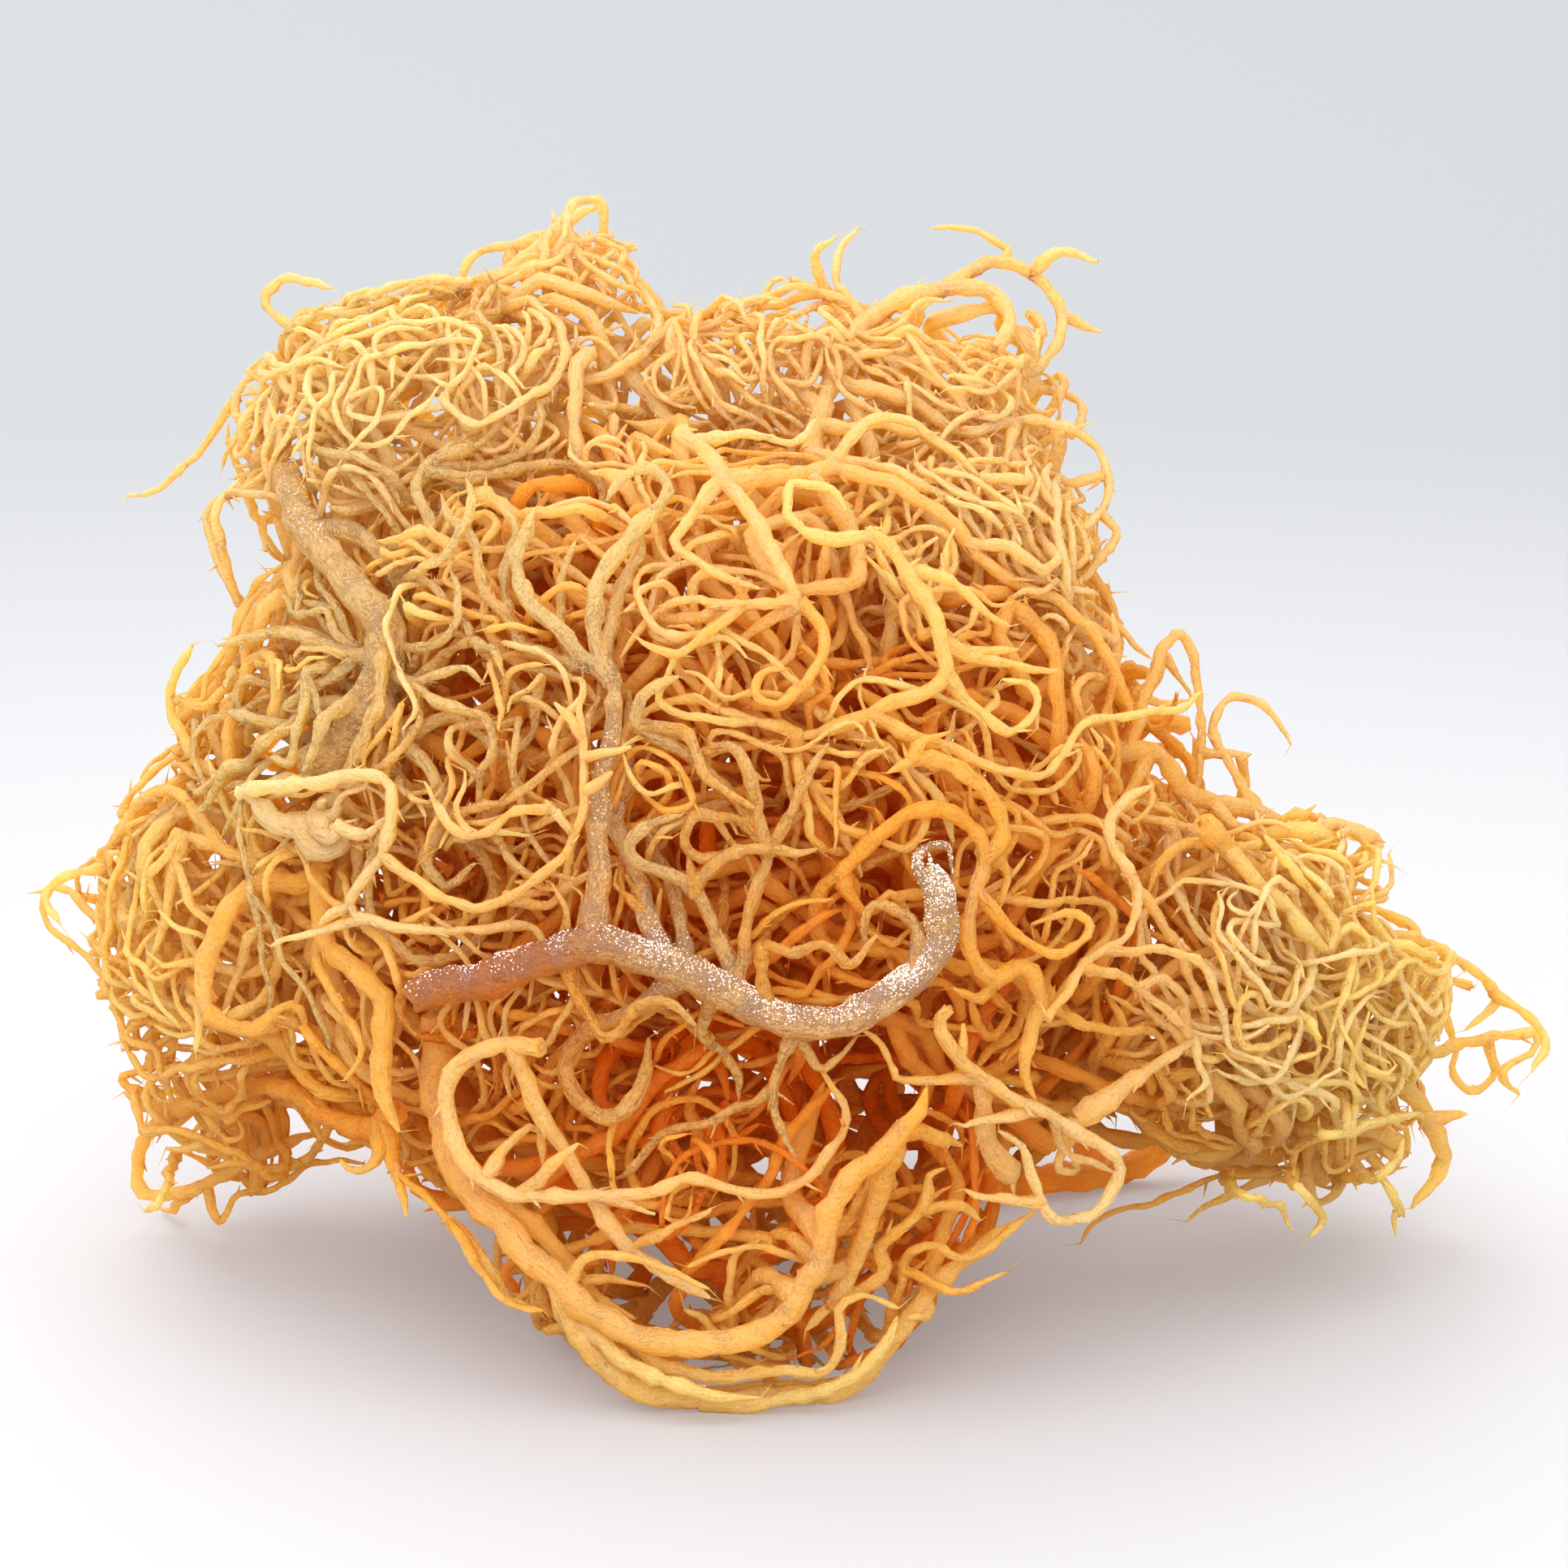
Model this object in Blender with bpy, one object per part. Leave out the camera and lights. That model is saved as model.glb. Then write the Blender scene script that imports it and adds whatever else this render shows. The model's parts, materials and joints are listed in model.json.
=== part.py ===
# Golden sea moss: one dry clump of forking seaweed, each thallus a separate tangled body.
import math
import random

import bmesh
import bpy

# Routes are read in a front view in mm, from this far off, looking down by this much at this height.
VIEW_DISTANCE = 480.0
VIEW_DOWN = math.radians(12.5)
VIEW_HEIGHT = 42.0

# The clump's front bulges towards the view: its depth in mm behind the clump's middle plane.
FRONT_DEPTH = -36.0
FRONT_ACROSS = -4.0
FRONT_UP = -4.0
FRONT_RISE = 40.0
FRONT_HALF_WIDTH = 62.0
FRONT_HALF_TOP = 60.0
FRONT_HALF_BOTTOM = 110.0

# Strand sizes in mm. Strands stay this far clear of each other, and press this far into the surface.
CLEARANCE = 0.36
THINNEST = 0.42
FLOOR_SINK = 0.3

# Sections start from this direction, which no strand runs along.
MIDDLE_SIDE = (0.31, 0.52, 0.79)

# Least root radius of each section, its side count, and how far its corners stand out.
SECTIONS = ((1.25, 5, 1.08), (0.85, 4, 1.15), (0.0, 3, 1.28))

# A route becomes the fewest straight runs that keep within this error of its curve.
CURVE_STEP = 0.5
CHORD_ERROR = 0.32
LONGEST_CHORD = 6.5

# Where routes cross, the later one is moved back in small pushes until it clears.
PUSH = 0.5
PUSH_ROUNDS = 90
PUSH_SHARES = ((-1, 0.4), (0, 1.0), (1, 1.0), (2, 0.4))
ROOT_REACH = 2.5
ROOT_FADE = 12.0
FORK_SHARE = 1.2
FORK_EXTRA = 1.0
LOOP_SHARE = 2.5

# How side branches grow: lengths in mm, turns in radians.
SEED = 7
STEP = 5.2
SHORTEST = 32.0
LONGEST = 78.0
TAPER = 0.45
SPROUT_TRIES = 7
SPROUT_LEAN = 0.35
SPROUT_LOOK = 9.0
SPROUT_FROM = 0.15
SPROUT_TO = 0.85
SLIMMEST_SHARE = 0.6
PARENT_SHARE = 0.9
CROWD_REACH = 6.0
LEAST_BEND = 0.02
MOST_BEND = 0.16
BEND_CHANGE = 0.04
BEND_LIMIT = 0.2
TWIST = 0.5
DETOURS = ((0.0, 1), (0.35, 5), (0.7, 6), (1.05, 6))
MOST_TRIES = 4000
FAILED_TRY = 2.0

MM = 0.001
TINY = 1e-9
CELL = 7.0
SURFACE_SIZE = 0.4

# Each thallus lists its strands: radius at root and tip, layers behind the front at root and tip,
# and the route across and up. A later strand starts on the nearest earlier one of its own thallus.
THALLI = {
    "dusty_stem": [
        (1.45, 1.2, 0, 0, [(-30.3, -17.2), (-25, -16.1), (-20, -14.5), (-15.5, -13.3), (-11, -14.2),
                           (-6, -16.3), (-1, -19), (4, -19.6), (9, -17.3), (12.6, -13.5), (12.9, -10),
                           (12.2, -6.8)]),
        (0.75, 0.75, 0, 0, [(-3.6, -18), (-4.2, -15), (-5.6, -12.8), (-6.8, -10), (-7.4, -8.5),
                            (-9.6, -7.7),
                            (-11.8, -6.6), (-12.5, -5), (-11.2, -3.1), (-8.6, -2.5)]),
        (0.95, 0.75, 1, 3, [(-15.3, -13.3), (-15.3, -7), (-15, -1), (-14.1, 5.5), (-14.9, 9.2),
                            (-19.7, 13.3), (-22, 17.2), (-21.8, 20), (-20.2, 22.8)]),
        (0.9, 0.6, 2, 3, [(-14.2, 8), (-15.8, 13.8), (-13.9, 18.8), (-10.4, 22.4), (-9.5, 24.6),
                          (-11.5, 26), (-13.8, 25), (-14.6, 22.9)]),
        (0.8, 0.5, 3, 5, [(-15.8, 9.8), (-20.2, 10.8), (-23, 14.2), (-23, 18), (-22.2, 21), (-24, 23.4)]),
        (0.85, 0.7, 2, 4, [(-10, -14.4), (-11.6, -9), (-13.3, -4.5), (-13, 0.8), (-13, 7.7)]),
        (0.8, 0.7, 2, 3, [(-8, -15.4), (-8.6, -10.1), (-11, -5), (-8.6, -2.8), (-3.5, -1.3)]),
        (0.75, 0.9, 1, 0, [(-4, -1.5), (-6.3, 1.4), (-9.6, 3.2), (-11.7, 5), (-11.4, 7.6), (-8.6, 8.8)]),
        (0.85, 0.6, 1, 2, [(-3.9, -17.2), (-3, -11.2), (-0.9, -5.4), (1.3, -1.1), (3.6, 3.3)]),
        (0.6, 0.5, 0, 1, [(12.6, -9), (10.9, -7), (11.4, -5.2), (13.2, -5.3), (13.6, -7.4)]),
        (0.5, 0.45, 1, 1, [(0.5, -19.4), (2.7, -23.2), (4.5, -22.5), (6.2, -20.9)]),
        (0.6, 0.45, 1, 2, [(1, -19.4), (-0.4, -23.8), (-0.7, -26.6), (1, -30.6)]),
        (0.9, 0.7, 3, 5, [(-8, -15.6), (-12.9, -18.9), (-16.9, -20.8), (-17.6, -24.6), (-14.6, -27.3),
                          (-11.9, -25), (-11, -21)]),
        (0.8, 0.6, 3, 6, [(-0.6, -25), (-4.5, -27.3), (-8.5, -28), (-11.4, -30.6), (-14, -32.4)]),
        (0.5, 0.45, 2, 3, [(-28.6, -17), (-31.4, -17), (-31, -19.4), (-29.6, -21)]),
        (0.6, 0.5, 4, 6, [(-5, -16.8), (-6.6, -20.6), (-4.2, -22.6), (-3.7, -26)]),
    ],
    "bright_frond": [
        (0.8, 0.55, -1, -1, [(-44.8, -0.6), (-38.2, 0.1), (-34.2, 1), (-32.2, -0.6), (-32.2, -3.2),
                             (-33.4, -6), (-35.5, -9.6), (-34.4, -11), (-29.4, -12.2), (-21.3, -11.7),
                             (-18.8, -14.9)]),
        (0.75, 0.5, -1, -1, [(-33.2, -5.6), (-31.2, -7.1), (-27.3, -9.6), (-22.9, -9.6), (-18.2, -6),
                             (-16.4, -1.4), (-16.8, 2.6), (-16.6, 8.2)]),
        (0.6, 0.6, -1, -1, [(-35.4, -9.7), (-38.2, -11.4)]),
        (1.0, 1.6, -1, 1, [(-44.2, -0.7), (-42.2, -2.8), (-39.4, -3.6), (-37, -3.2)]),
        (0.5, 0.45, -1, -1, [(-17.2, -4), (-19.6, -1.4)]),
        (0.5, 0.45, -1, -1, [(-16.3, -0.8), (-14.2, 1)]),
        (0.5, 0.45, -1, -1, [(-16.8, 2.4), (-12.6, 2.8)]),
        (0.5, 0.45, -1, -1, [(-16.8, 3.8), (-18.8, 6.6)]),
        (0.5, 0.45, -1, 0, [(-34.6, -10.9), (-38.6, -12.2), (-42.2, -13.4)]),
        (0.5, 0.45, 0, 0, [(-22.9, -9.6), (-19.4, -10), (-16.9, -6.6)]),
    ],
    "hooked_strand": [
        (0.9, 0.5, -1, 2, [(-19.7, -21.4), (-23.4, -21.4), (-26.8, -23.2), (-27.7, -26), (-26.6, -30),
                           (-24.4, -32.8), (-20.4, -33.8), (-12.5, -33.8), (-8.3, -32.3), (-4.5, -33.3),
                           (0.1, -33.1), (3.2, -31.1), (4.8, -28.1), (4.2, -25.2), (2.8, -23.2)]),
        (1.3, 0.8, 1, 3, [(-22.6, -21.4), (-20.4, -26), (-17.9, -30), (-15.6, -34), (-13, -37.6),
                          (-9.4, -40.3), (-6, -42.4)]),
        (0.7, 0.6, -1, -1, [(-21.6, -33.6), (-19.6, -31.9), (-17, -29.8)]),
        (0.5, 0.45, 0, 0, [(-15.4, -33.9), (-10.6, -35.2)]),
        (0.5, 0.45, 1, 1, [(-12.4, -38), (-8.8, -36.6), (-6, -34.6)]),
        (0.55, 0.5, 3, 4, [(-24.6, -32.4), (-22.6, -29.2), (-20.4, -28.6), (-19.6, -32)]),
    ],
    "foot_loop": [
        (1.25, 1.0, 1, -1, [(-28.5, -18.9), (-28.5, -26.1), (-26.6, -32.2), (-22.2, -37.4), (-17, -42.6),
                            (-12, -45.4), (-7, -46.2), (-2.6, -45.3), (0.8, -43), (2.9, -39), (4, -34.6),
                            (7.4, -30.6), (10.6, -28), (11.9, -25)]),
        (1.1, 0.8, 0, 8, [(-19.3, -41), (-16.4, -46.2), (-12, -49.4), (-7, -51.4), (-2, -51.9),
                          (3, -51), (7.6, -47.4), (11.2, -42.6), (15.9, -38.4), (20, -35.5)]),
        (0.8, 0.5, 0, 1, [(-15.4, -44.8), (-9, -48), (-3.6, -48.4), (1.2, -48), (3.4, -48.4), (4.6, -46),
                          (4.4, -43.8), (6.2, -42.2), (9.6, -43)]),
        (0.9, 0.7, 3, 4, [(-25.2, -33.8), (-21, -35.6), (-18, -39), (-15.6, -42.2), (-12, -43.8)]),
        (0.8, 0.6, 3, 8, [(-16.2, -47), (-11, -51), (-4, -50.2), (1, -49.8), (5.4, -49), (8.6, -45)]),
        (1.0, 0.8, 1, 2, [(9.4, -29.4), (8, -33), (6.4, -37), (4.8, -41), (1.6, -44.6)]),
        (0.85, 0.6, 2, 2, [(3.6, -43), (8.3, -40.6), (8, -38), (10.8, -35.4), (11.5, -32.6),
                           (13.2, -31.4)]),
        (0.75, 0.55, 3, 4, [(8.9, -44.6), (9.8, -39.6), (11.2, -37.9), (13.2, -37.9),
                            (15.4, -38.9), (18.2, -37), (20.8, -35)]),
        (0.75, 0.55, 4, 8, [(1.6, -42), (-1.5, -40.4), (-3.4, -42.2), (-6.4, -43.6)]),
        (0.7, 0.5, 5, 8, [(3, -39), (-0.2, -37), (-2.5, -38.2), (-4, -40.4), (-5.2, -43)]),
        (0.5, 0.45, 2, 2, [(9.8, -40.2), (11.8, -40.6), (14.2, -41.7), (18.4, -40)]),
        (0.6, 0.45, -1, 0, [(-18, -41.4), (-16, -38.8), (-13.6, -38.8), (-9.8, -40), (-6.4, -41.3)]),
        (0.6, 0.5, 1, 2, [(-17.4, -42), (-15.8, -40.8), (-11, -41)]),
        (0.9, 0.7, 6, 12, [(11, -42), (12.8, -37.4), (14.2, -33.6), (13, -29)]),
        (1.2, 0.9, 5, 10, [(3.2, -37.4), (0.8, -33.8), (1.6, -29), (3.4, -24.6)]),
    ],
    "right_sprig": [
        (0.8, 0.6, -1, 0, [(13.8, -18.4), (12.8, -20.2), (14, -22), (16.2, -24.1), (20.6, -26.8),
                           (24.1, -28.8), (27, -30), (27.6, -32.4), (25.4, -35.2), (22, -35.8),
                           (20.7, -33.4), (19.8, -30.4), (17.8, -28.6)]),
        (1.0, 1.25, 0, 1, [(15.9, -23.9), (16.6, -27), (17.2, -30), (18.8, -32.5)]),
        (0.5, 0.45, -1, -1, [(14.4, -22.4), (14.6, -19.6)]),
        (0.55, 0.45, 0, 0, [(20.8, -26.9), (18.6, -27.4), (16, -28), (14, -27.7)]),
        (0.5, 0.45, 1, 1, [(22, -27.7), (23.4, -30.4), (27, -31.8)]),
        (0.5, 0.45, 0, 1, [(20.6, -34.8), (17.4, -34.4), (14.6, -33.2)]),
        (0.5, 0.45, 0, 2, [(15.8, -24), (12.2, -24.2), (9.5, -24.2), (8.6, -21.8), (6.6, -20.4)]),
    ],
    "fork_frond": [
        (0.6, 0.7, -1, 4, [(21.6, -19.4), (23, -17.4), (24.4, -15.4), (26.7, -13.5), (28.5, -12),
                           (29.3, -8.4), (28.2, -6.2), (26.7, -3.9), (27.6, -2), (29.8, -0.4)]),
        (0.6, 0.45, -1, 1, [(26.4, -13.7), (30.6, -13.8), (33.8, -14.4), (35.6, -16.8), (36.3, -20.4)]),
        (0.85, 0.5, -1, 1, [(24.8, -15), (27.4, -15.6), (31.4, -18.4), (33.7, -20.9), (36.8, -21),
                            (39.8, -20)]),
        (0.6, 0.45, -1, 0, [(33.5, -20.8), (33.9, -22.8), (34.6, -24.8), (33.2, -25.8)]),
        (0.55, 0.45, 0, 1, [(36.3, -21.1), (38.9, -22.2), (39.7, -24.4), (37.4, -24.2), (35.6, -23.4)]),
        (1.0, 1.5, 0, 3, [(33.4, -21.1), (29.8, -23.5), (26.5, -25.9), (24, -27.6)]),
        (0.7, 0.5, 3, 7, [(28.8, -7), (30.2, -9.8), (31.6, -12.6), (34, -15), (37, -13.8)]),
        (0.6, 0.5, 2, 4, [(29.3, -16.6), (30.8, -16), (33, -18), (32.2, -19.4)]),
    ],
    "arc_frond": [
        (0.8, 0.9, 1, 1, [(7.5, -4.8), (9.4, -2.9), (11.7, -2.1), (14.6, -2.8), (16.3, -5), (16.1, -8.4),
                          (15.2, -12), (15.8, -14.7), (17, -16.2), (16, -17.6), (13.8, -16.8)]),
        (0.6, 0.5, 0, 0, [(15.7, -8.9), (17.9, -11.2), (21, -13.5), (23.8, -13.5), (25.2, -12),
                          (23.8, -10.5), (20.3, -11.5)]),
        (0.6, 0.5, 1, 1, [(16.4, -5.3), (18.4, -7.2), (17.6, -10.2)]),
        (0.8, 0.85, 0, 0, [(16.4, -6.2), (17.8, -4.8), (17.6, -2.2), (15.4, 0.7), (12.8, 1.9),
                           (10.3, 1.9),
                           (8.3, 1)]),
        (1.2, 0.9, 4, 6, [(8, -4.6), (4.6, -6.8), (2.6, -9.4), (3.4, -13), (7, -13.4)]),
        (0.55, 0.45, 3, 3, [(4.4, -7), (6.6, -10.4), (8.6, -8.8), (10.2, -10.4), (11, -13.4)]),
        (0.9, 0.8, 1, 2, [(17, -16.3), (19.6, -15), (20.9, -17.2), (20.4, -19.8), (19.8, -22.2),
                          (20.8, -25.6)]),
        (0.7, 0.5, 4, 7, [(20.8, -17.2), (24.8, -19.8), (28.3, -20.2), (30.6, -21), (31.2, -23.8)]),
        (0.5, 0.45, 0, 0, [(10.4, 1.9), (11.6, 3.6), (13.6, 4.3)]),
    ],
    "elbow_frond": [
        (0.85, 0.75, 0, 1, [(6.8, 20.8), (8.9, 19.5), (10.3, 17.2), (12.4, 13.3), (13.2, 9.8),
                            (12.4, 7.9),
                            (10.6, 7.5), (8.6, 6.2), (4.8, 4.7), (0.2, 3.9)]),
        (0.6, 0.5, 0, 0, [(13, 8.8), (15.2, 7), (17.6, 4.8), (19.8, 4.7), (20.9, 6.4), (19.9, 8.2),
                          (18, 8.6)]),
        (0.6, 0.5, 1, 2, [(12.8, 11.8), (14.8, 10.6), (18.4, 9.8), (22.4, 9.3)]),
        (0.75, 0.45, 0, 4, [(7, 5.7), (10.4, 4.5), (14.5, 2.6), (18, 1.2), (21.4, 0.9), (23.2, 3),
                            (24.8, 5.3),
                            (28, 5.6), (31.8, 5.8), (34.2, 7.4)]),
        (0.5, 0.45, 0, 0, [(0.9, 4), (1.3, 1.8), (3.2, -0.5), (5, -0.3), (6.4, 2), (8, 2.7)]),
        (0.5, 0.45, 0, 0, [(1.2, 4), (-2.8, 5), (-7.2, 7.3)]),
        (0.7, 0.5, 2, 3, [(7.4, 20.4), (3.9, 20.3), (1.4, 21), (0, 22.6), (0.8, 24.6), (3.6, 24.4),
                          (5.2, 22.4)]),
        (0.6, 0.5, 2, 4, [(10.2, 17.6), (13, 16.8), (15.8, 14.2), (18.8, 13)]),
    ],
    "centre_frond": [
        (0.9, 0.8, 1, 0, [(-8.6, 29), (-5.8, 26.6), (-3.1, 22.8), (-0.9, 19), (1.2, 14.4)]),
        (0.65, 0.5, 0, 0, [(1, 14.6), (-1.8, 13.3), (-4.2, 11.3), (-6, 9), (-7, 7.2)]),
        (0.65, 0.5, 0, 0, [(1, 14.8), (3, 13.1), (3.4, 11.2), (1.9, 8.4), (-0.4, 6.6), (-2.6, 7.6),
                           (-1.7, 9.4), (0.7, 9.6)]),
        (0.65, 0.5, 1, 1, [(-4.8, 25.3), (-7.9, 22.2), (-8.7, 19.5), (-5.8, 17.4), (-2.2, 16)]),
        (0.6, 0.45, 1, 1, [(0.8, 15.2), (-3, 14.6), (-7.6, 15.3), (-11, 13.7), (-13.4, 10.4)]),
        (0.55, 0.45, 1, 1, [(-3, 14.6), (-6.2, 12), (-9.2, 10.8), (-12, 12.2)]),
        (0.9, 0.6, 2, 12, [(-4.6, 25.2), (-1.4, 24.8), (2.6, 25.8), (7.4, 25.3), (11.4, 23.3),
                           (15.8, 19.3),
                           (19, 16.4), (24.6, 13.3), (27.2, 9.4), (28.6, 5.6)]),
        (0.6, 0.45, 3, 6, [(-7.6, 28), (-3.6, 29), (0.4, 28.2), (3, 30.2)]),
        (0.7, 0.5, 4, 8, [(3.6, 25.6), (5.6, 28.8), (9.4, 29.8), (13.4, 27.6), (16.6, 24.8)]),
    ],
    "left_dusty_stem": [
        (1.2, 1.9, 8, 2, [(-40.8, 25.8), (-40.3, 23.1), (-38.6, 20), (-34.6, 15.3), (-32.7, 12.4),
                          (-33.3, 8.4), (-34.4, 5.6), (-36.6, 2.6), (-39, 0.6)]),
        (0.9, 0.7, 4, 3, [(-38.8, 20.4), (-35, 20.6), (-31.6, 16.2), (-31.4, 13.6), (-33, 11.4)]),
        (0.8, 0.6, 3, 5, [(-34.2, 6.6), (-38.2, 6.8), (-40.6, 4.4)]),
        (0.8, 0.6, 3, 6, [(-33.4, 10.4), (-37.5, 11.4), (-41.4, 12.4), (-46.4, 11.4)]),
        (0.8, 0.6, 2, 2, [(-33.6, 8), (-31.3, 3.8), (-29, 0.8), (-28.3, -2.6), (-29.2, -6), (-27.6, -8.6),
                          (-25.4, -6.4)]),
        (0.7, 0.5, 3, 4, [(-31.2, 3.8), (-27, 5.6), (-23.2, 2.5), (-20.6, 4.6), (-20.4, 8.6)]),
        (0.7, 0.5, 3, 4, [(-28.4, -2.4), (-25.4, -3.4), (-22, -0.4), (-20.8, 3)]),
        (0.7, 0.5, 2, 3, [(-33, 11.6), (-29.4, 11.2), (-26.8, 13.8), (-27.4, 17.6)]),
        (0.6, 0.5, 1, 2, [(-33.2, 9.4), (-30.2, 8.2), (-27, 9.6), (-24.6, 8)]),
        (0.9, 0.6, 5, 7, [(-31.8, 16.8), (-29.2, 20.6), (-30.4, 24.8), (-27.2, 28)]),
    ],
    "left_wing": [
        (1.0, 1.0, 3, 4, [(-37.6, -6.2), (-39.4, -8), (-43.5, -8.3), (-46.4, -11.8), (-47.5, -15.8),
                          (-46.9, -19.4)]),
        (1.1, 1.0, 2, 3, [(-37.8, -7.4), (-37.6, -12.8), (-35.2, -15.4), (-32.9, -18.4), (-33.1, -24),
                          (-31.4, -28.4)]),
        (0.8, 0.6, 3, 10, [(-40.6, -8.2), (-43.2, -6.3), (-46.2, -5.4), (-49.8, -4.4), (-50.4, -8),
                           (-50.6, -11.4)]),
        (0.6, 0.5, 2, 3, [(-38, -12.4), (-38.4, -15), (-36, -19), (-34.9, -22), (-36.1, -24.4)]),
        (0.8, 0.6, 6, 20, [(-46, -5.4), (-51, -0.4), (-55.2, -5.2), (-55.6, -10.2), (-53.6, -15.4),
                           (-50, -17.4)]),
        (0.55, 0.45, 14, 20, [(-54.8, -13.2), (-56.4, -10.8), (-60.2, -8.2), (-60.7, -11.4),
                              (-57.4, -13.7),
                              (-55.2, -17), (-52.4, -19.6)]),
        (0.45, 0.45, 14, 16, [(-54.4, -5), (-57.6, -6.9), (-57.6, -9.6), (-55.6, -12)]),
        (0.6, 0.45, 14, 20, [(-51.6, -1), (-54.4, -2.4), (-52.2, 0.8), (-49.4, 2.6)]),
        (0.8, 0.5, 10, 22, [(-47.2, -17.6), (-50, -15.4), (-51.6, -20.4), (-50.8, -25)]),
        (0.7, 0.5, 7, 12, [(-45.2, -10), (-41.6, -9), (-40.8, -11.8), (-43.8, -13.8)]),
        (0.7, 0.5, 6, 14, [(-43, -6.4), (-44.2, -2), (-47.8, 1.6), (-49.6, 5.4), (-48, 8.4)]),
        (0.8, 0.6, 5, 8, [(-47, -18.6), (-43.8, -20), (-40.4, -18.2), (-38.6, -21)]),
    ],
    "lower_left": [
        (1.1, 0.8, 6, 28, [(-31.8, -26.8), (-35, -28.4), (-41, -25), (-45.6, -25.4), (-50.6, -26.6),
                           (-54.4, -25.4)]),
        (0.9, 0.7, 28, 34, [(-49.6, -26.6), (-52.8, -29.2), (-52.8, -33), (-49.4, -33.7), (-45.7, -31.6),
                            (-41.6, -30.2), (-37.8, -28.4)]),
        (0.7, 0.45, 4, 2, [(-32.8, -27.2), (-32, -31.6), (-28.6, -34.6), (-25.8, -38.4), (-23.4, -42),
                           (-19.6, -43.3)]),
        (0.45, 0.42, 36, 34, [(-47.6, -32.8), (-46.6, -36.2), (-45.2, -34), (-42.6, -33.6), (-38.8, -31),
                              (-34.6, -31)]),
        (0.6, 0.45, 26, 26, [(-51.6, -26.6), (-54.2, -24), (-50.2, -22.4)]),
        (0.6, 0.45, 22, 26, [(-46, -25.5), (-48, -22), (-52.4, -21), (-54.4, -21.6)]),
        (0.7, 0.5, 32, 36, [(-48.8, -33.6), (-51.2, -35.6)]),
        (0.8, 0.6, 14, 20, [(-37.6, -27), (-38.4, -22.6), (-42.4, -21.6), (-45.4, -23.6)]),
        (0.7, 0.5, 5, 3, [(-32, -31.4), (-30.8, -35.6)]),
        (0.8, 0.6, 28, 32, [(-42, -30.2), (-43.4, -27.6), (-47.6, -28.8), (-50, -30.4)]),
    ],
    "right_wing": [
        (1.1, 0.9, 5, 20, [(34.6, -3.4), (37.6, -6.6), (41, -10), (45.2, -14), (46.6, -18), (48.6, -22.4),
                           (51.2, -25), (53.2, -28), (54.1, -31), (51.6, -34.8)]),
        (0.8, 0.6, 6, 16, [(38.6, -7.6), (42, -6), (45.3, -10), (46.8, -13), (51, -12.6), (55.6, -14.6),
                           (58.3, -17.4), (55.9, -20)]),
        (0.7, 0.5, 8, 16, [(46, -16.2), (49.6, -15.3), (53, -16), (56.8, -16.6)]),
        (0.8, 0.5, 14, 18, [(49.2, -23), (54.5, -21.7), (59.2, -20.6), (61.6, -20.4), (60.8, -22.4),
                            (59, -24), (60.4, -25.6)]),
        (0.6, 0.5, 16, 20, [(57.8, -21), (58.2, -23.6), (56.6, -25.2), (55.1, -23.8), (55.4, -21.2)]),
        (0.8, 0.7, 12, 12, [(53, -27.6), (56.2, -26.9)]),
        (0.7, 0.5, 4, 5, [(41.4, -10.4), (42.2, -13.6), (43.8, -16.4), (45.4, -16.9)]),
        (0.8, 0.6, 12, 24, [(48, -21), (43.6, -20.6), (42.6, -25), (43, -28.6), (47.2, -28.6),
                            (51, -27)]),
        (0.7, 0.5, 22, 28, [(43.2, -28.6), (42.8, -32), (43.9, -34.4), (45.6, -33), (46.2, -29.4)]),
        (0.8, 0.5, 22, 24, [(46.8, -28.8), (49, -31.8), (51, -30), (50.8, -27)]),
        (0.7, 0.5, 10, 18, [(47.6, -20.6), (50.8, -19.4), (53.6, -17.8), (55, -20.8)]),
        (0.7, 0.5, 30, 38, [(43, -30.6), (40.4, -32.2), (36.4, -33.6), (33, -36)]),
        (0.45, 0.42, 36, 38, [(41, -32), (36.6, -32), (30.2, -34.2), (26.4, -35.4), (24.5, -37.8)]),
        (0.7, 0.6, 3, 5, [(35.6, -4.4), (39.8, -8.8), (40.2, -13), (41.6, -15.6), (39.8, -19)]),
        (0.8, 0.6, 5, 9, [(38, -6.8), (34.6, -4.9), (31.6, -5.8), (29.9, -9.2)]),
    ],
    "right_upper": [
        (1.0, 0.8, 14, 20, [(26.4, 2.6), (30.6, 2.3), (33, -0.6), (37.4, -1.8), (41.6, -3.7),
                            (46.4, -3.6),
                            (48.6, -4.8), (46, -7.6)]),
        (0.75, 0.6, 16, 20, [(28.2, 2.6), (29.6, 7.4), (31.2, 11), (32.8, 12.2), (33.8, 8), (34.2, 2),
                             (33.8, -1)]),
        (0.6, 0.45, 20, 20, [(38.8, -2.2), (36.8, 1.2), (35.2, 4.6), (36, 6.7), (38.4, 7), (40.4, 5.6),
                             (41.6, 3.2)]),
        (0.6, 0.55, 18, 18, [(34, 2.4), (38.3, 2.4)]),
        (0.6, 0.5, 18, 18, [(30, 9), (31.4, 10.4), (33.4, 7)]),
        (0.8, 0.6, 10, 10, [(27.4, 2.6), (24.6, 6.8), (27.4, 9.6), (26.8, 14)]),
        (0.7, 0.5, 8, 11, [(29.6, 2.4), (28.4, -1.6), (31.6, -3.2), (34.6, -3.6)]),
    ],
    "crown_left": [
        (1.3, 0.8, 10, 20, [(-36, 18), (-36.2, 23.8), (-36.4, 29), (-35.8, 34), (-32, 38), (-28.4, 40),
                            (-22, 42.4), (-18, 46), (-15, 47.6)]),
        (0.8, 0.6, 14, 14, [(-36.4, 31), (-39.6, 35.4), (-39, 38.8), (-34.8, 38.6)]),
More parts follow.
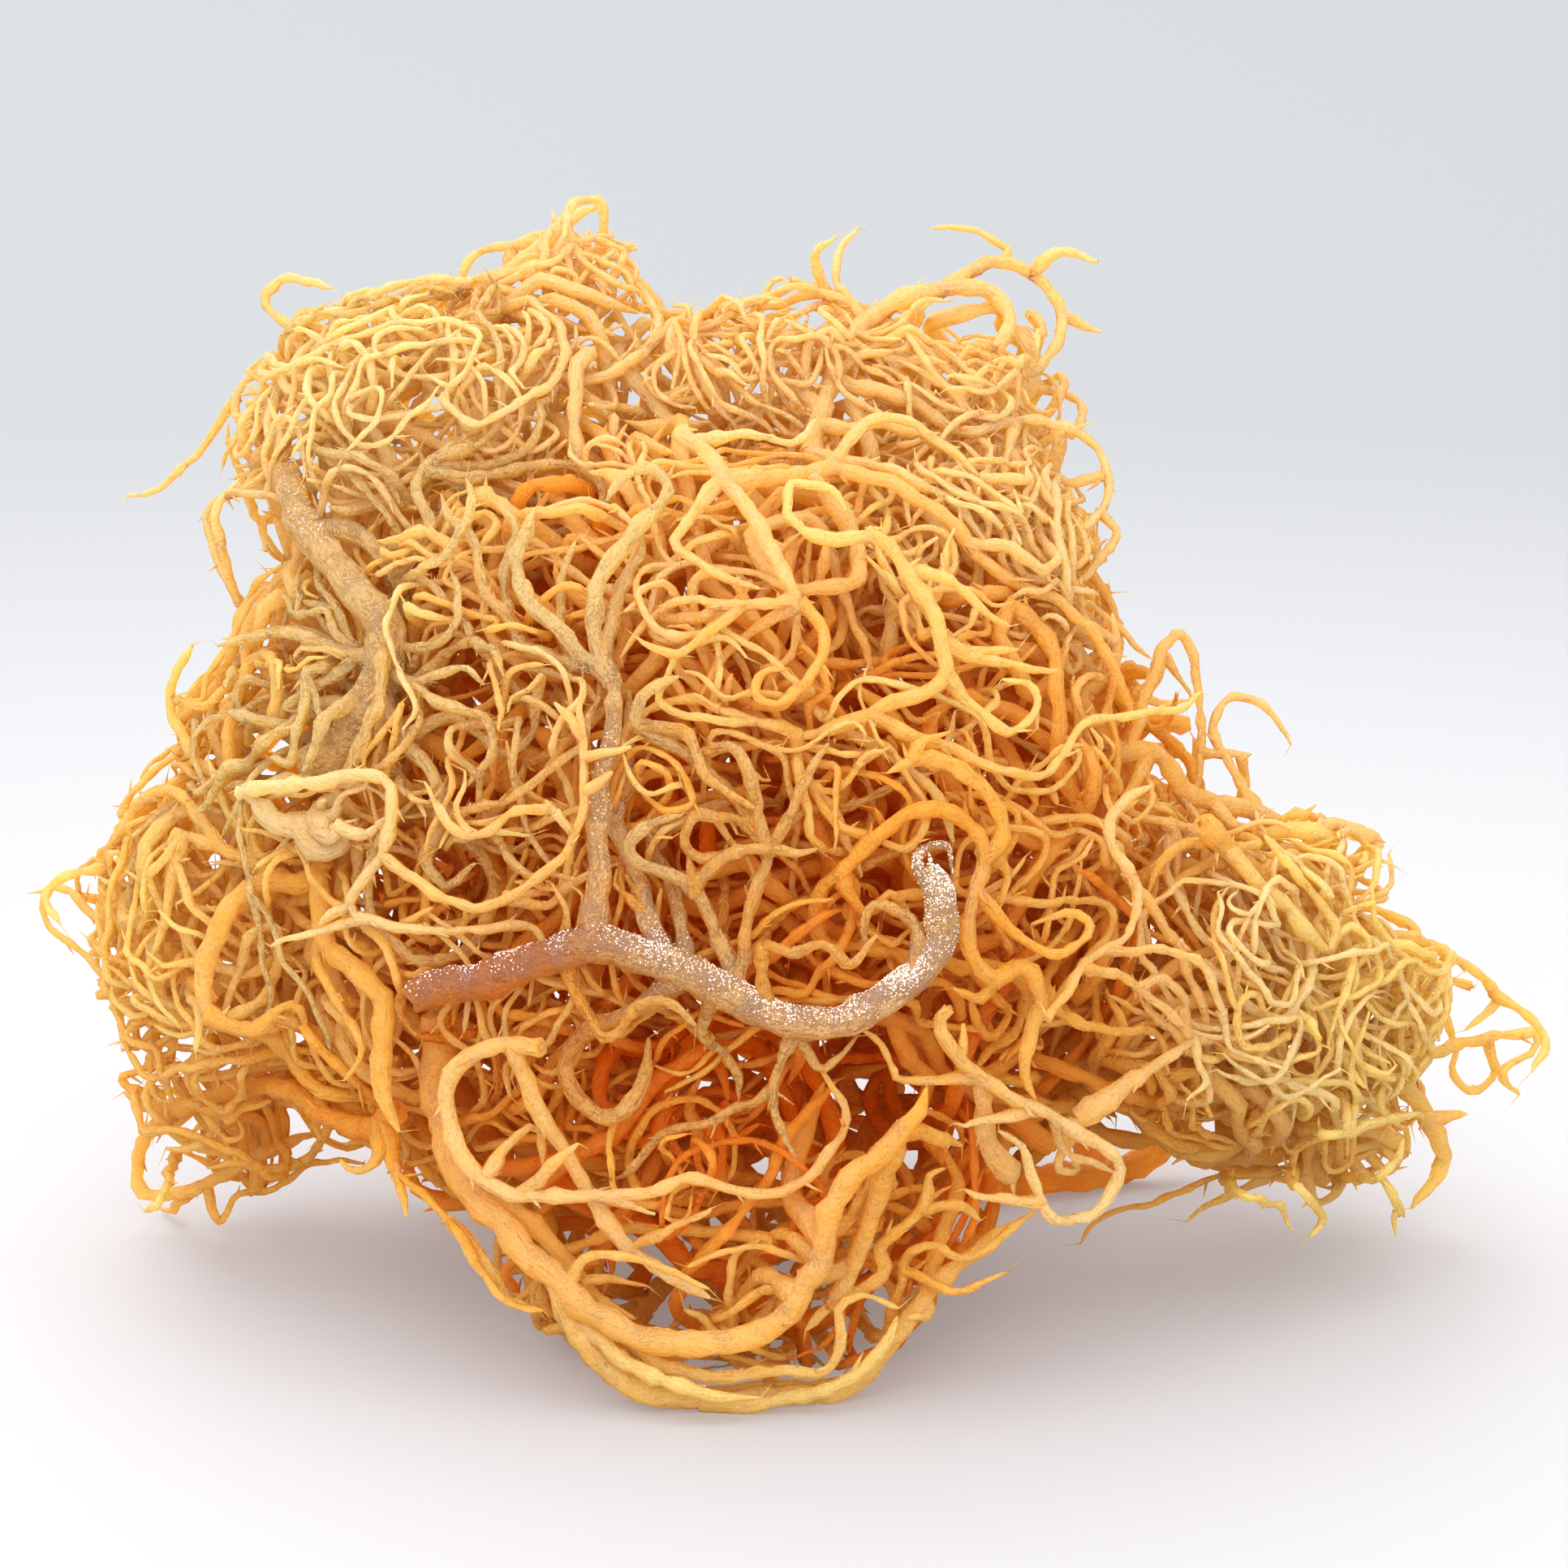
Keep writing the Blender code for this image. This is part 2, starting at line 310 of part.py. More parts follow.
        (0.8, 0.5, 12, 18, [(-36.6, 31.4), (-41, 34.6), (-44.5, 32.8), (-44.4, 29.4), (-40.6, 28)]),
        (0.5, 0.42, 18, 18, [(-43.6, 31.4), (-47, 28.2), (-51.4, 24.4), (-54, 23.7)]),
        (0.7, 0.5, 14, 18, [(-38.4, 24.6), (-44.5, 24.1), (-47.6, 22.2), (-46.2, 18), (-44.4, 14)]),
        (0.9, 0.6, 10, 16, [(-36.3, 27), (-32, 29.6), (-27.4, 27.4), (-25, 31.4), (-27.8, 35)]),
        (0.8, 0.6, 14, 20, [(-31, 38.4), (-27.2, 36.6), (-22.4, 38.4), (-17.6, 37), (-14, 40.4),
                            (-16.2, 43.6)]),
        (0.8, 0.6, 10, 18, [(-28, 27.6), (-22.6, 29), (-19.4, 33), (-14, 33.6), (-10.4, 37.6),
                            (-12.4, 41.6)]),
        (0.5, 0.42, 18, 18, [(-12, 35.6), (-8.4, 38.2), (-5, 38.8), (-3.4, 37.8)]),
        (0.8, 0.5, 16, 20, [(-24, 41.6), (-25.6, 37), (-30, 34.2), (-33.2, 36)]),
        (0.7, 0.5, 18, 22, [(-19, 45), (-22.4, 44.6), (-26, 43), (-26.8, 40)]),
    ],
    "crown_right": [
        (1.0, 0.7, 14, 18, [(2, 27), (3.4, 31.6), (5.6, 36.6), (9, 39.7), (15.2, 40.9), (18.6, 38.9),
                            (17.6, 35.9), (13.8, 34.8), (9.6, 37.6)]),
        (0.8, 0.5, 16, 18, [(12.6, 40.4), (16.4, 42.8), (20, 42.3), (23, 38.6), (21.6, 34.8), (16.6, 32),
                            (11.6, 32.4)]),
        (0.5, 0.42, 18, 18, [(15, 42), (18.4, 43.6), (15.4, 45.4), (12, 45.8)]),
        (0.5, 0.42, 17, 17, [(22.6, 38.4), (26.2, 37.2)]),
        (0.5, 0.42, 17, 17, [(6.8, 38), (4.4, 41), (4.4, 43.2), (6, 45.7)]),
        (0.8, 0.5, 12, 14, [(4.2, 33), (10, 31.6), (15, 29), (20.2, 30.2), (24.8, 28.4), (26.8, 24.2),
                            (24.4, 21), (19.4, 20.7)]),
        (0.6, 0.5, 12, 14, [(26, 22.4), (27.3, 19.8), (23.6, 16.2)]),
        (0.7, 0.5, 11, 12, [(19, 29.9), (18.2, 25.6), (19.3, 23.4), (18.6, 20)]),
        (0.7, 0.5, 12, 16, [(3, 30.6), (-0.6, 33.6), (-0.8, 37), (3.6, 40)]),
        (0.8, 0.6, 14, 16, [(5, 35.4), (10.8, 34.8), (14.4, 30.4), (12.4, 27)]),
    ],
    "heart_left": [
        (1.1, 0.9, 15, 22, [(-24, -30), (-28, -20), (-24, -8), (-30, 4), (-24, 16), (-14, 26)]),
        (1.1, 0.8, 12, 18, [(-27.6, -19), (-36, -22), (-42, -14), (-38, -4), (-30, -2)]),
        (1.1, 0.8, 12, 20, [(-24.4, -9), (-16, -10), (-8, -4), (-10, 6), (-18, 8)]),
    ],
    "heart_right": [
        (1.0, 0.9, 17, 23, [(22, -30), (14, -22), (18, -10), (8, 0), (14, 12), (6, 24)]),
        (0.9, 0.7, 13, 17, [(15.4, -20), (24, -24), (32, -26), (38, -22), (40, -12), (34, -6)]),
        (1.1, 0.8, 12, 18, [(12, 8), (20, 6), (26, -2), (24, -12)]),
    ],
    "heart_foot": [
        (1.0, 0.8, 13, 16, [(-20, -32), (-12, -36), (-6, -40), (2, -36), (4, -28), (-2, -20),
                            (-10, -22)]),
        (1.0, 0.8, 12, 20, [(-6, -40), (2, -44), (10, -38), (16, -30), (12, -22)]),
    ],
    "back_left": [
        (1.4, 0.9, 60, 50, [(-12, -37), (-25, -31), (-40, -18), (-44, 0), (-34, 14), (-30, 28)]),
        (1.2, 0.8, 66, 60, [(-30, -26), (-24, -12), (-30, 2), (-20, 14), (-8, 10)]),
    ],
    "back_right": [
        (1.4, 0.9, 60, 48, [(13, -37.4), (26, -33.6), (37, -22), (38, -8), (26, 4), (22, 18), (12, 26)]),
        (1.2, 0.8, 68, 62, [(24, -28), (18, -14), (24, -2), (12, 6), (2, 0)]),
    ],
    "back_top": [
        (1.3, 0.8, 58, 46, [(6, -8), (-4, 4), (-12, 16), (-8, 26), (-20, 32), (-28, 28)]),
        (1.1, 0.8, 60, 44, [(-5, 5), (6, 14), (14, 22), (8, 32)]),
    ],
}

# Regions that side branches may fill: centre and half sizes across, up and in depth, in mm.
LOBES = {
    "core": (-8, -4, 4, 43, 36, 39),
    "top_left": (-27, 27, 8, 19, 15, 22),
    "tuft": (-17, 38, 9, 8, 8, 10),
    "top_right": (12, 30, 9, 13, 11, 18),
    "right_upper": (14, 14, 4, 14, 17, 26),
    "left_wing": (-45, -12, 10, 12, 17, 22),
    "right_wing": (36, -16, 7, 19, 15, 26),
    "foot": (-4, -33, -12, 22, 17, 20),
    "lower_left": (-42, -27, 16, 12, 7, 12),
    "lower_right": (42, -26, 16, 11, 8, 12),
    "back": (-4, 2, 26, 38, 30, 18),
}

# Side branches of each thallus: grown length and thickest radius in mm, and the lobes they may fill.
GROWTH = {
    "foot_loop": (90, 0.8, ("foot",)),
    "arc_frond": (60, 0.8, ("core",)),
    "elbow_frond": (60, 0.8, ("right_upper", "core")),
    "centre_frond": (90, 0.8, ("core", "right_upper", "top_left")),
    "left_dusty_stem": (130, 0.8, ("core", "top_left")),
    "left_wing": (170, 0.84, ("left_wing", "core")),
    "lower_left": (80, 0.84, ("lower_left", "left_wing")),
    "right_wing": (190, 0.84, ("right_wing", "lower_right")),
    "right_upper": (60, 0.8, ("right_wing", "right_upper")),
    "crown_left": (230, 0.84, ("top_left", "tuft")),
    "crown_right": (170, 0.84, ("top_right", "right_upper")),
    "heart_left": (250, 1.0, ("core", "left_wing")),
    "heart_right": (250, 1.0, ("core", "right_wing", "right_upper")),
    "heart_foot": (100, 1.0, ("foot", "core")),
    "back_left": (400, 1.1, ("back", "left_wing", "lower_left", "core")),
    "back_right": (400, 1.1, ("back", "right_wing", "lower_right", "core")),
    "back_top": (320, 1.1, ("back", "top_left", "top_right")),
}

# Colour and roughness of each thallus, from the deep-coloured heart out to the pale tips.
DEEP = (0.62, 0.27, 0.06, 1.0)
GOLDEN = (0.78, 0.42, 0.11, 1.0)
PALE = (0.85, 0.55, 0.2, 1.0)
DUSTY = (0.76, 0.48, 0.25, 1.0)
FLESH = {
    DEEP: ("heart_left", "heart_right", "heart_foot"),
    GOLDEN: ("foot_loop", "arc_frond", "elbow_frond", "left_wing", "lower_left", "right_wing",
             "back_left", "back_right"),
    PALE: ("bright_frond", "hooked_strand", "right_sprig", "fork_frond", "centre_frond", "right_upper",
           "crown_left", "crown_right", "back_top"),
    DUSTY: ("dusty_stem", "left_dusty_stem"),
}
FLESH_ROUGHNESS = 0.5
DUST_ROUGHNESS = 0.6


def minus(a, b):
    return (a[0] - b[0], a[1] - b[1], a[2] - b[2])


def dot(a, b):
    return a[0] * b[0] + a[1] * b[1] + a[2] * b[2]


def cross(a, b):
    return (a[1] * b[2] - a[2] * b[1], a[2] * b[0] - a[0] * b[2], a[0] * b[1] - a[1] * b[0])


def along(a, b, share):
    return (a[0] + (b[0] - a[0]) * share, a[1] + (b[1] - a[1]) * share, a[2] + (b[2] - a[2]) * share)


def further(a, course, distance):
    return (a[0] + course[0] * distance, a[1] + course[1] * distance, a[2] + course[2] * distance)


def length(a):
    return math.sqrt(dot(a, a))


def unit(a):
    size = max(length(a), TINY)
    return (a[0] / size, a[1] / size, a[2] / size)


def squared_to(a, course):
    # The part of a that is square to the course, at length one.
    return unit(further(a, course, -dot(a, course)))


def turned(a, axis, angle):
    lift = dot(axis, a) * (1 - math.cos(angle))
    side = cross(axis, a)
    return tuple(a[k] * math.cos(angle) + side[k] * math.sin(angle) + axis[k] * lift for k in range(3))


def rounded(a):
    return (round(a[0], 3), round(a[1], 3), round(a[2], 3))


def clamp(value):
    return min(1.0, max(0.0, value))


def between(a, b, c, d):
    # Least distance between the segments ab and cd.
    u = minus(b, a)
    v = minus(d, c)
    w = minus(a, c)
    uu = max(dot(u, u), TINY)
    vv = max(dot(v, v), TINY)
    vw = dot(v, w)
    uw = dot(u, w)
    uv = dot(u, v)
    spread = uu * vv - uv * uv
    s = clamp((uv * vw - uw * vv) / spread) if spread > TINY else 0.0
    t = (uv * s + vw) / vv
    if t < 0.0:
        t = 0.0
        s = clamp(-uw / uu)
    elif t > 1.0:
        t = 1.0
        s = clamp((uv - uw) / uu)
    return length(minus(along(a, b, s), along(c, d, t)))


def front_depth(across, up):
    half_height = FRONT_HALF_TOP if up > FRONT_UP else FRONT_HALF_BOTTOM
    side = (across - FRONT_ACROSS) / FRONT_HALF_WIDTH
    height = (up - FRONT_UP) / half_height
    return FRONT_DEPTH + FRONT_RISE * (side * side + height * height)


def place(view):
    # From across, up and depth in the front view to the clump's own space.
    across, up, depth = view
    scale = (VIEW_DISTANCE + depth) / VIEW_DISTANCE
    rise = up * scale
    y = rise * math.sin(VIEW_DOWN) + depth * math.cos(VIEW_DOWN)
    z = VIEW_HEIGHT + rise * math.cos(VIEW_DOWN) - depth * math.sin(VIEW_DOWN)
    return rounded((across * scale, y, z))


def seen(point):
    # The other way round: from the clump's own space to across, up and depth.
    x, y, z = point
    depth = y * math.cos(VIEW_DOWN) - (z - VIEW_HEIGHT) * math.sin(VIEW_DOWN)
    rise = y * math.sin(VIEW_DOWN) + (z - VIEW_HEIGHT) * math.cos(VIEW_DOWN)
    scale = (VIEW_DISTANCE + depth) / VIEW_DISTANCE
    return (x / scale, rise / scale, depth)


def set_down(point, thick):
    # Nothing sinks further into the surface than its flat spot needs.
    return (point[0], point[1], max(point[2], round(thick - FLOOR_SINK, 3)))


def smooth(points):
    # A Catmull-Rom curve through the points.
    before = along(points[1], points[0], 2.0)
    after = along(points[-2], points[-1], 2.0)
    ends = [before, *points, after]
    curve = [points[0]]
    for i in range(len(points) - 1):
        p0, p1, p2, p3 = ends[i:i + 4]
        count = max(2, int(length(minus(p2, p1)) / CURVE_STEP))
        for j in range(1, count + 1):
            t = j / count
            curve.append(tuple(
                0.5 * (2 * p1[k] + (p2[k] - p0[k]) * t
                       + (2 * p0[k] - 5 * p1[k] + 4 * p2[k] - p3[k]) * t * t
                       + (3 * p1[k] - p0[k] - 3 * p2[k] + p3[k]) * t * t * t)
                for k in range(3)))
    return curve


def thinned(curve):
    # The fewest of the curve's points that keep its form.
    kept = [curve[0]]
    start = 0
    for end in range(1, len(curve) - 1):
        run = minus(curve[end + 1], curve[start])
        chord = unit(run)
        error = max(length(cross(minus(spot, curve[start]), chord)) for spot in curve[start + 1:end + 1])
        if error > CHORD_ERROR or length(run) > LONGEST_CHORD:
            kept.append(curve[end])
            start = end
    kept.append(curve[-1])
    return kept


class Strand:
    # One unforked run of a thallus: its centreline, its radius at each point and its section.
    def __init__(self, thallus, points, radii, views=()):
        self.thallus = thallus
        self.points = points
        self.radii = radii
        self.views = views
        self.sides, self.reach = section(radii[0])

    def thick(self, i):
        return self.reach * max(self.radii[i], self.radii[i + 1])

    def radius_at(self, i, share):
        return self.radii[i] + (self.radii[i + 1] - self.radii[i]) * share


def section(root_radius):
    for least, sides, reach in SECTIONS:
        if root_radius >= least:
            return sides, reach


def fork_zone(parent_radius, radius):
    return FORK_SHARE * (parent_radius + radius) + FORK_EXTRA


class Tangle:
    # All the strands laid so far, with their runs sorted into cubes of space.
    def __init__(self):
        self.strands = []
        self.cells = {}

    def cells_round(self, a, b, reach):
        lows = [math.floor((min(a[k], b[k]) - reach) / CELL) for k in range(3)]
        highs = [math.floor((max(a[k], b[k]) + reach) / CELL) for k in range(3)]
        for i in range(lows[0], highs[0] + 1):
            for j in range(lows[1], highs[1] + 1):
                for k in range(lows[2], highs[2] + 1):
                    yield (i, j, k)

    def add(self, strand):
        self.strands.append(strand)
        for i, (a, b) in enumerate(zip(strand.points, strand.points[1:])):
            run = (a, b, strand.thick(i), strand.thallus)
            for cell in self.cells_round(a, b, run[2]):
                self.cells.setdefault(cell, []).append(run)

    def runs_near(self, a, b, reach):
        found = {}
        for cell in self.cells_round(a, b, reach):
            for run in self.cells.get(cell, ()):
                found[id(run)] = run
        return found.values()

    def blocked(self, a, b, thick, thallus, root, fork):
        # A strand may touch only its own thallus, and only round its root.
        at_root = root is not None and min(length(minus(a, root)), length(minus(b, root))) < fork
        for c, d, other, owner in self.runs_near(a, b, thick + CLEARANCE):
            if owner == thallus and at_root:
                continue
            if between(a, b, c, d) < thick + other + CLEARANCE:
                return True
        return False

    def crowd(self, point):
        return len(self.runs_near(point, point, CROWD_REACH))


def meets_itself(points, radii, reach, i):
    # Whether run i touches an earlier stretch of its own strand.
    thick = reach * max(radii[i], radii[i + 1])
    distance = 0.0
    for j in range(i - 1, -1, -1):
        both = thick + reach * max(radii[j], radii[j + 1])
        gap = between(points[i], points[i + 1], points[j], points[j + 1])
        if distance > LOOP_SHARE * both and gap < both + CLEARANCE:
            return True
        distance += length(minus(points[j + 1], points[j]))
    return False


def nearest_root(tangle, thallus, across, up):
    # The place on the thallus's strands that the front view shows nearest, and the radius there.
    best = None
    for strand in tangle.strands:
        if strand.thallus != thallus:
            continue
        for i, (a, b) in enumerate(zip(strand.views, strand.views[1:])):
            run = (b[0] - a[0], b[1] - a[1])
            size = max(run[0] * run[0] + run[1] * run[1], TINY)
            share = clamp(((across - a[0]) * run[0] + (up - a[1]) * run[1]) / size)
            spot = along(a, b, share)
            gap = math.hypot(spot[0] - across, spot[1] - up)
            if best is None or gap < best[0]:
                best = (gap, spot, strand.radius_at(i, share))
    return best


def joined_to(views, root):
    # Leads a route out of its root, whose own depth fades along it.
    gap, spot, radius = root
    shift = spot[2] - views[0][2]
    views = [spot] + (views if gap > ROOT_REACH else views[1:])
    distance = 0.0
    for i in range(1, len(views)):
        distance += length(minus(views[i], views[i - 1]))
        fade = max(0.0, 1.0 - distance / ROOT_FADE)
        views[i] = (views[i][0], views[i][1], views[i][2] + shift * fade)
    return views


def cleared(tangle, thallus, views, radii, root, fork, direction):
    # Moves a route back, or forward, out of what it crosses. The points so far and what still meets.
    reach = section(radii[0])[1]
    trial = [list(view) for view in views]
    runs = range(len(views) - 1)
    for _ in range(PUSH_ROUNDS):
        points = [set_down(place(view), radius * reach) for view, radius in zip(trial, radii)]
        meeting = [i for i in runs if meets_itself(points, radii, reach, i) or tangle.blocked(
            points[i], points[i + 1], reach * max(radii[i], radii[i + 1]), thallus, root, fork)]
        if not meeting:
            break
        for i in meeting:
            for offset, share in PUSH_SHARES:
                spot = i + offset
                if spot < len(trial) and (spot > 0 or (spot == 0 and root is None)):
                    trial[spot][2] += PUSH * share * direction
    return trial, points, meeting


def lay(tangle, thallus, route):
    first, last, near_layer, far_layer, spots = route
    views = []
    for i, (across, up) in enumerate(spots):
        layer = near_layer + (far_layer - near_layer) * i / (len(spots) - 1)
        views.append((across, up, front_depth(across, up) + layer))
    found = nearest_root(tangle, thallus, *spots[0])
    root = None
    fork = 0.0
    if found:
        views = joined_to(views, found)
        root = place(found[1])
        first = min(first, found[2])
        fork = fork_zone(found[2], first)
    views = thinned(smooth(views))
    steps = len(views) - 1
    radii = [max(THINNEST, first + (last - first) * i / steps) for i in range(steps + 1)]
    for direction in (1, -1):
        trial, points, meeting = cleared(tangle, thallus, views, radii, root, fork, direction)
        if not meeting:
            break
    if meeting:
        # What still can't pass ends short.
        kept = meeting[0] + 1
        if kept < 2:
            return
        trial = trial[:kept]
        points = points[:kept]
        radii = radii[:kept]
    tangle.add(Strand(thallus, points, radii, trial))


def inside(point, lobes):
    view = seen(point)
    for name in lobes:
        lobe = LOBES[name]
        if sum(((view[k] - lobe[k]) / lobe[k + 3]) ** 2 for k in range(3)) <= 1.0:
            return True
    return False


def random_course(draw):
    lift = draw.uniform(-1, 1)
    angle = draw.uniform(0, 2 * math.pi)
    flat = math.sqrt(1 - lift * lift)
    return (flat * math.cos(angle), flat * math.sin(angle), lift)


def sprout(tangle, thallus, lobes, draw):
    # The least crowded of a few places on the thallus, the course out of it and the radius there.
    own = [strand for strand in tangle.strands if strand.thallus == thallus]
    best = None
    for _ in range(SPROUT_TRIES):
        strand = own[draw.randrange(len(own))]
        i = draw.randrange(len(strand.points) - 1)
        share = draw.uniform(SPROUT_FROM, SPROUT_TO)
        root = rounded(along(strand.points[i], strand.points[i + 1], share))
        lean = unit(minus(strand.points[i + 1], strand.points[i]))
        course = unit(further(random_course(draw), lean, SPROUT_LEAN))
        ahead = further(root, course, SPROUT_LOOK)
        crowd = tangle.crowd(ahead)
        if inside(ahead, lobes) and (best is None or crowd < best[0]):
            best = (crowd, root, course, strand.radius_at(i, share))
    return best


def next_point(tangle, thallus, lobes, draw, points, radii, course, step, root, fork):
    # The next point of a branch, straight ahead or past what is in the way. None where nothing is free.
    reach = section(radii[0])[1]
    thick = reach * max(radii[-1], radii[-2])
    spin = draw.uniform(0, 2 * math.pi)
    side = squared_to(MIDDLE_SIDE, course)
    for tilt, turns in DETOURS:
        for j in range(turns):
            axis = turned(side, course, spin + 2 * math.pi * j / turns)
            end = rounded(further(points[-1], turned(course, axis, tilt), step))
            end = set_down(end, radii[-1] * reach)
            free = inside(end, lobes) and not tangle.blocked(points[-1], end, thick, thallus, root, fork)
            if free and not meets_itself(points + [end], radii, reach, len(points) - 1):
                return end
    return None


def grow(tangle, thallus, thickest, lobes, draw):
    # Adds one curling, tapering side branch and gives its length, or nothing if it has no room.
    size = draw.uniform(SHORTEST, LONGEST)
    radius = draw.uniform(SLIMMEST_SHARE, 1.0) * thickest
    found = sprout(tangle, thallus, lobes, draw)
    if found is None:
        return 0.0
    crowd, root, course, parent_radius = found
    first = max(THINNEST, min(radius, PARENT_SHARE * parent_radius))
    fork = fork_zone(parent_radius, first)
    points = [root]
    radii = [first]
    axis = squared_to(random_course(draw), course)
    bend = draw.uniform(LEAST_BEND, MOST_BEND) * draw.choice((1, -1))
    step = STEP + parent_radius
    distance = 0.0
    while distance < size:
        bend = max(-BEND_LIMIT, min(BEND_LIMIT, bend + draw.uniform(-BEND_CHANGE, BEND_CHANGE)))
        axis = turned(squared_to(axis, course), course, draw.uniform(-TWIST, TWIST))
        course = turned(course, axis, bend * STEP)
        radii.append(max(THINNEST, first * (1 - TAPER * min(1.0, (distance + STEP) / size))))
        end = next_point(tangle, thallus, lobes, draw, points, radii, course, step, root, fork)
        if end is None:
            radii.pop()
            break
        course = unit(minus(end, points[-1]))
        points.append(end)
        distance += step
        step = STEP
    if len(points) < 3:
        return 0.0
    tangle.add(Strand(thallus, points, radii))
    return distance


def grown_clump():
    tangle = Tangle()
    for thallus, routes in THALLI.items():
        for route in routes:
            lay(tangle, thallus, route)
    draw = random.Random(SEED)
    left = {thallus: GROWTH[thallus][0] for thallus in GROWTH}
    tries = 0
    while max(left.values()) > 0 and tries < MOST_TRIES:
        for thallus, (size, thickest, lobes) in GROWTH.items():
            if left[thallus] > 0:
                tries += 1
                left[thallus] -= grow(tangle, thallus, thickest, lobes, draw) or FAILED_TRY
    return tangle


def clump_middle(tangle):
    # The middle of the clump's box across and in depth, where the part has its origin.
    middle = []
    for k in (0, 1):
        sizes = [(point[k], strand.reach * radius) for strand in tangle.strands
                 for point, radius in zip(strand.points, strand.radii)]
        middle.append((min(at - out for at, out in sizes) + max(at + out for at, out in sizes)) / 2)
    return middle


def clear_scene():
    for item in list(bpy.data.objects):
        bpy.data.objects.remove(item, do_unlink=True)


def ring_corners(strand, i, course, side, middle):
    # The corners of one ring of a strand's tube, in metres from the part's origin.
    point = strand.points[i]
    lift = cross(course, side)
    reach = strand.reach * strand.radii[i]
    corners = []
    for j in range(strand.sides):
        angle = 2 * math.pi * j / strand.sides
        spot = further(further(point, side, reach * math.cos(angle)), lift, reach * math.sin(angle))
        corners.append(((spot[0] - middle[0]) * MM, (spot[1] - middle[1]) * MM, spot[2] * MM))
    return corners


def tube(name, strand, middle):
    # A closed faceted tube. Each ring is square to the strand and turned as little as may be.
    courses = [unit(minus(b, a)) for a, b in zip(strand.points, strand.points[1:])]
    courses = [courses[0], *courses, courses[-1]]
    side = MIDDLE_SIDE
    mesh = bmesh.new()
    rings = []
    for i in range(len(strand.points)):
        course = unit(further(courses[i], courses[i + 1], 1.0))
        side = squared_to(side, course)
        rings.append([mesh.verts.new(corner) for corner in ring_corners(strand, i, course, side, middle)])
    for low, high in zip(rings, rings[1:]):
        for j in range(strand.sides):
            mesh.faces.new((low[j - 1], low[j], high[j], high[j - 1]))
    mesh.faces.new(reversed(rings[0]))
    mesh.faces.new(rings[-1])
    bmesh.ops.recalc_face_normals(mesh, faces=mesh.faces)
    data = bpy.data.meshes.new(name)
    mesh.to_mesh(data)
    mesh.free()
    return bpy.data.objects.new(name, data)


def removed(item):
    mesh = item.data
    bpy.data.objects.remove(item, do_unlink=True)
    bpy.data.meshes.remove(mesh)


def applied(item):
    # Puts what the object's modifiers make of its mesh in the mesh's place.
    graph = bpy.context.evaluated_depsgraph_get()
    finished = bpy.data.meshes.new_from_object(item.evaluated_get(graph))
    item.modifiers.clear()
    rough = item.data
    item.data = finished
    bpy.data.meshes.remove(rough)


def fused(name, strands, middle):
    # All the strands of a thallus as one body.
    trunk = tube(name, strands[0], middle)
    bpy.context.collection.objects.link(trunk)
    branches = bpy.data.collections.new(name + "_branches")
    bpy.context.scene.collection.children.link(branches)
    for i, strand in enumerate(strands[1:]):
        branches.objects.link(tube("%s_branch_%d" % (name, i), strand, middle))
    union = trunk.modifiers.new("union", "BOOLEAN")
    union.operation = "UNION"
    union.solver = "MANIFOLD"
    union.operand_type = "COLLECTION"
    union.collection = branches
    applied(trunk)
    for branch in list(branches.objects):
        removed(branch)
    bpy.data.collections.remove(branches)
    return trunk


def set_on_surface(thallus):
    # Cuts flat the undersides that press on the surface.
    if min(vertex.co.z for vertex in thallus.data.vertices) >= 0:
        return
    bpy.ops.mesh.primitive_cube_add(size=SURFACE_SIZE, location=(0, 0, -SURFACE_SIZE / 2))
    surface = bpy.context.active_object
    cut = thallus.modifiers.new("rest", "BOOLEAN")
    cut.operation = "DIFFERENCE"
    cut.solver = "MANIFOLD"
    cut.object = surface
    applied(thallus)
    removed(surface)


def flesh(name):
    colour = next(colour for colour, names in FLESH.items() if name in names)
    material = bpy.data.materials.new(name + "_flesh")
    material.use_nodes = True
    shader = material.node_tree.nodes["Principled BSDF"]
    shader.inputs["Base Color"].default_value = colour
    shader.inputs["Roughness"].default_value = DUST_ROUGHNESS if colour == DUSTY else FLESH_ROUGHNESS
    shader.inputs["Metallic"].default_value = 0.0
    return material


def build():
    clear_scene()
    tangle = grown_clump()
    middle = clump_middle(tangle)
    for name in THALLI:
        thallus = fused(name, [strand for strand in tangle.strands if strand.thallus == name], middle)
        set_on_surface(thallus)
        thallus.data.materials.clear()
        thallus.data.materials.append(flesh(name))


build()
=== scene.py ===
# Golden sea moss: a dry tangled clump on a pale studio floor.
# Its main strands follow the solids' own, and finer twigs, nubs and salt fill in what the solids leave out.
import json
import math
import random

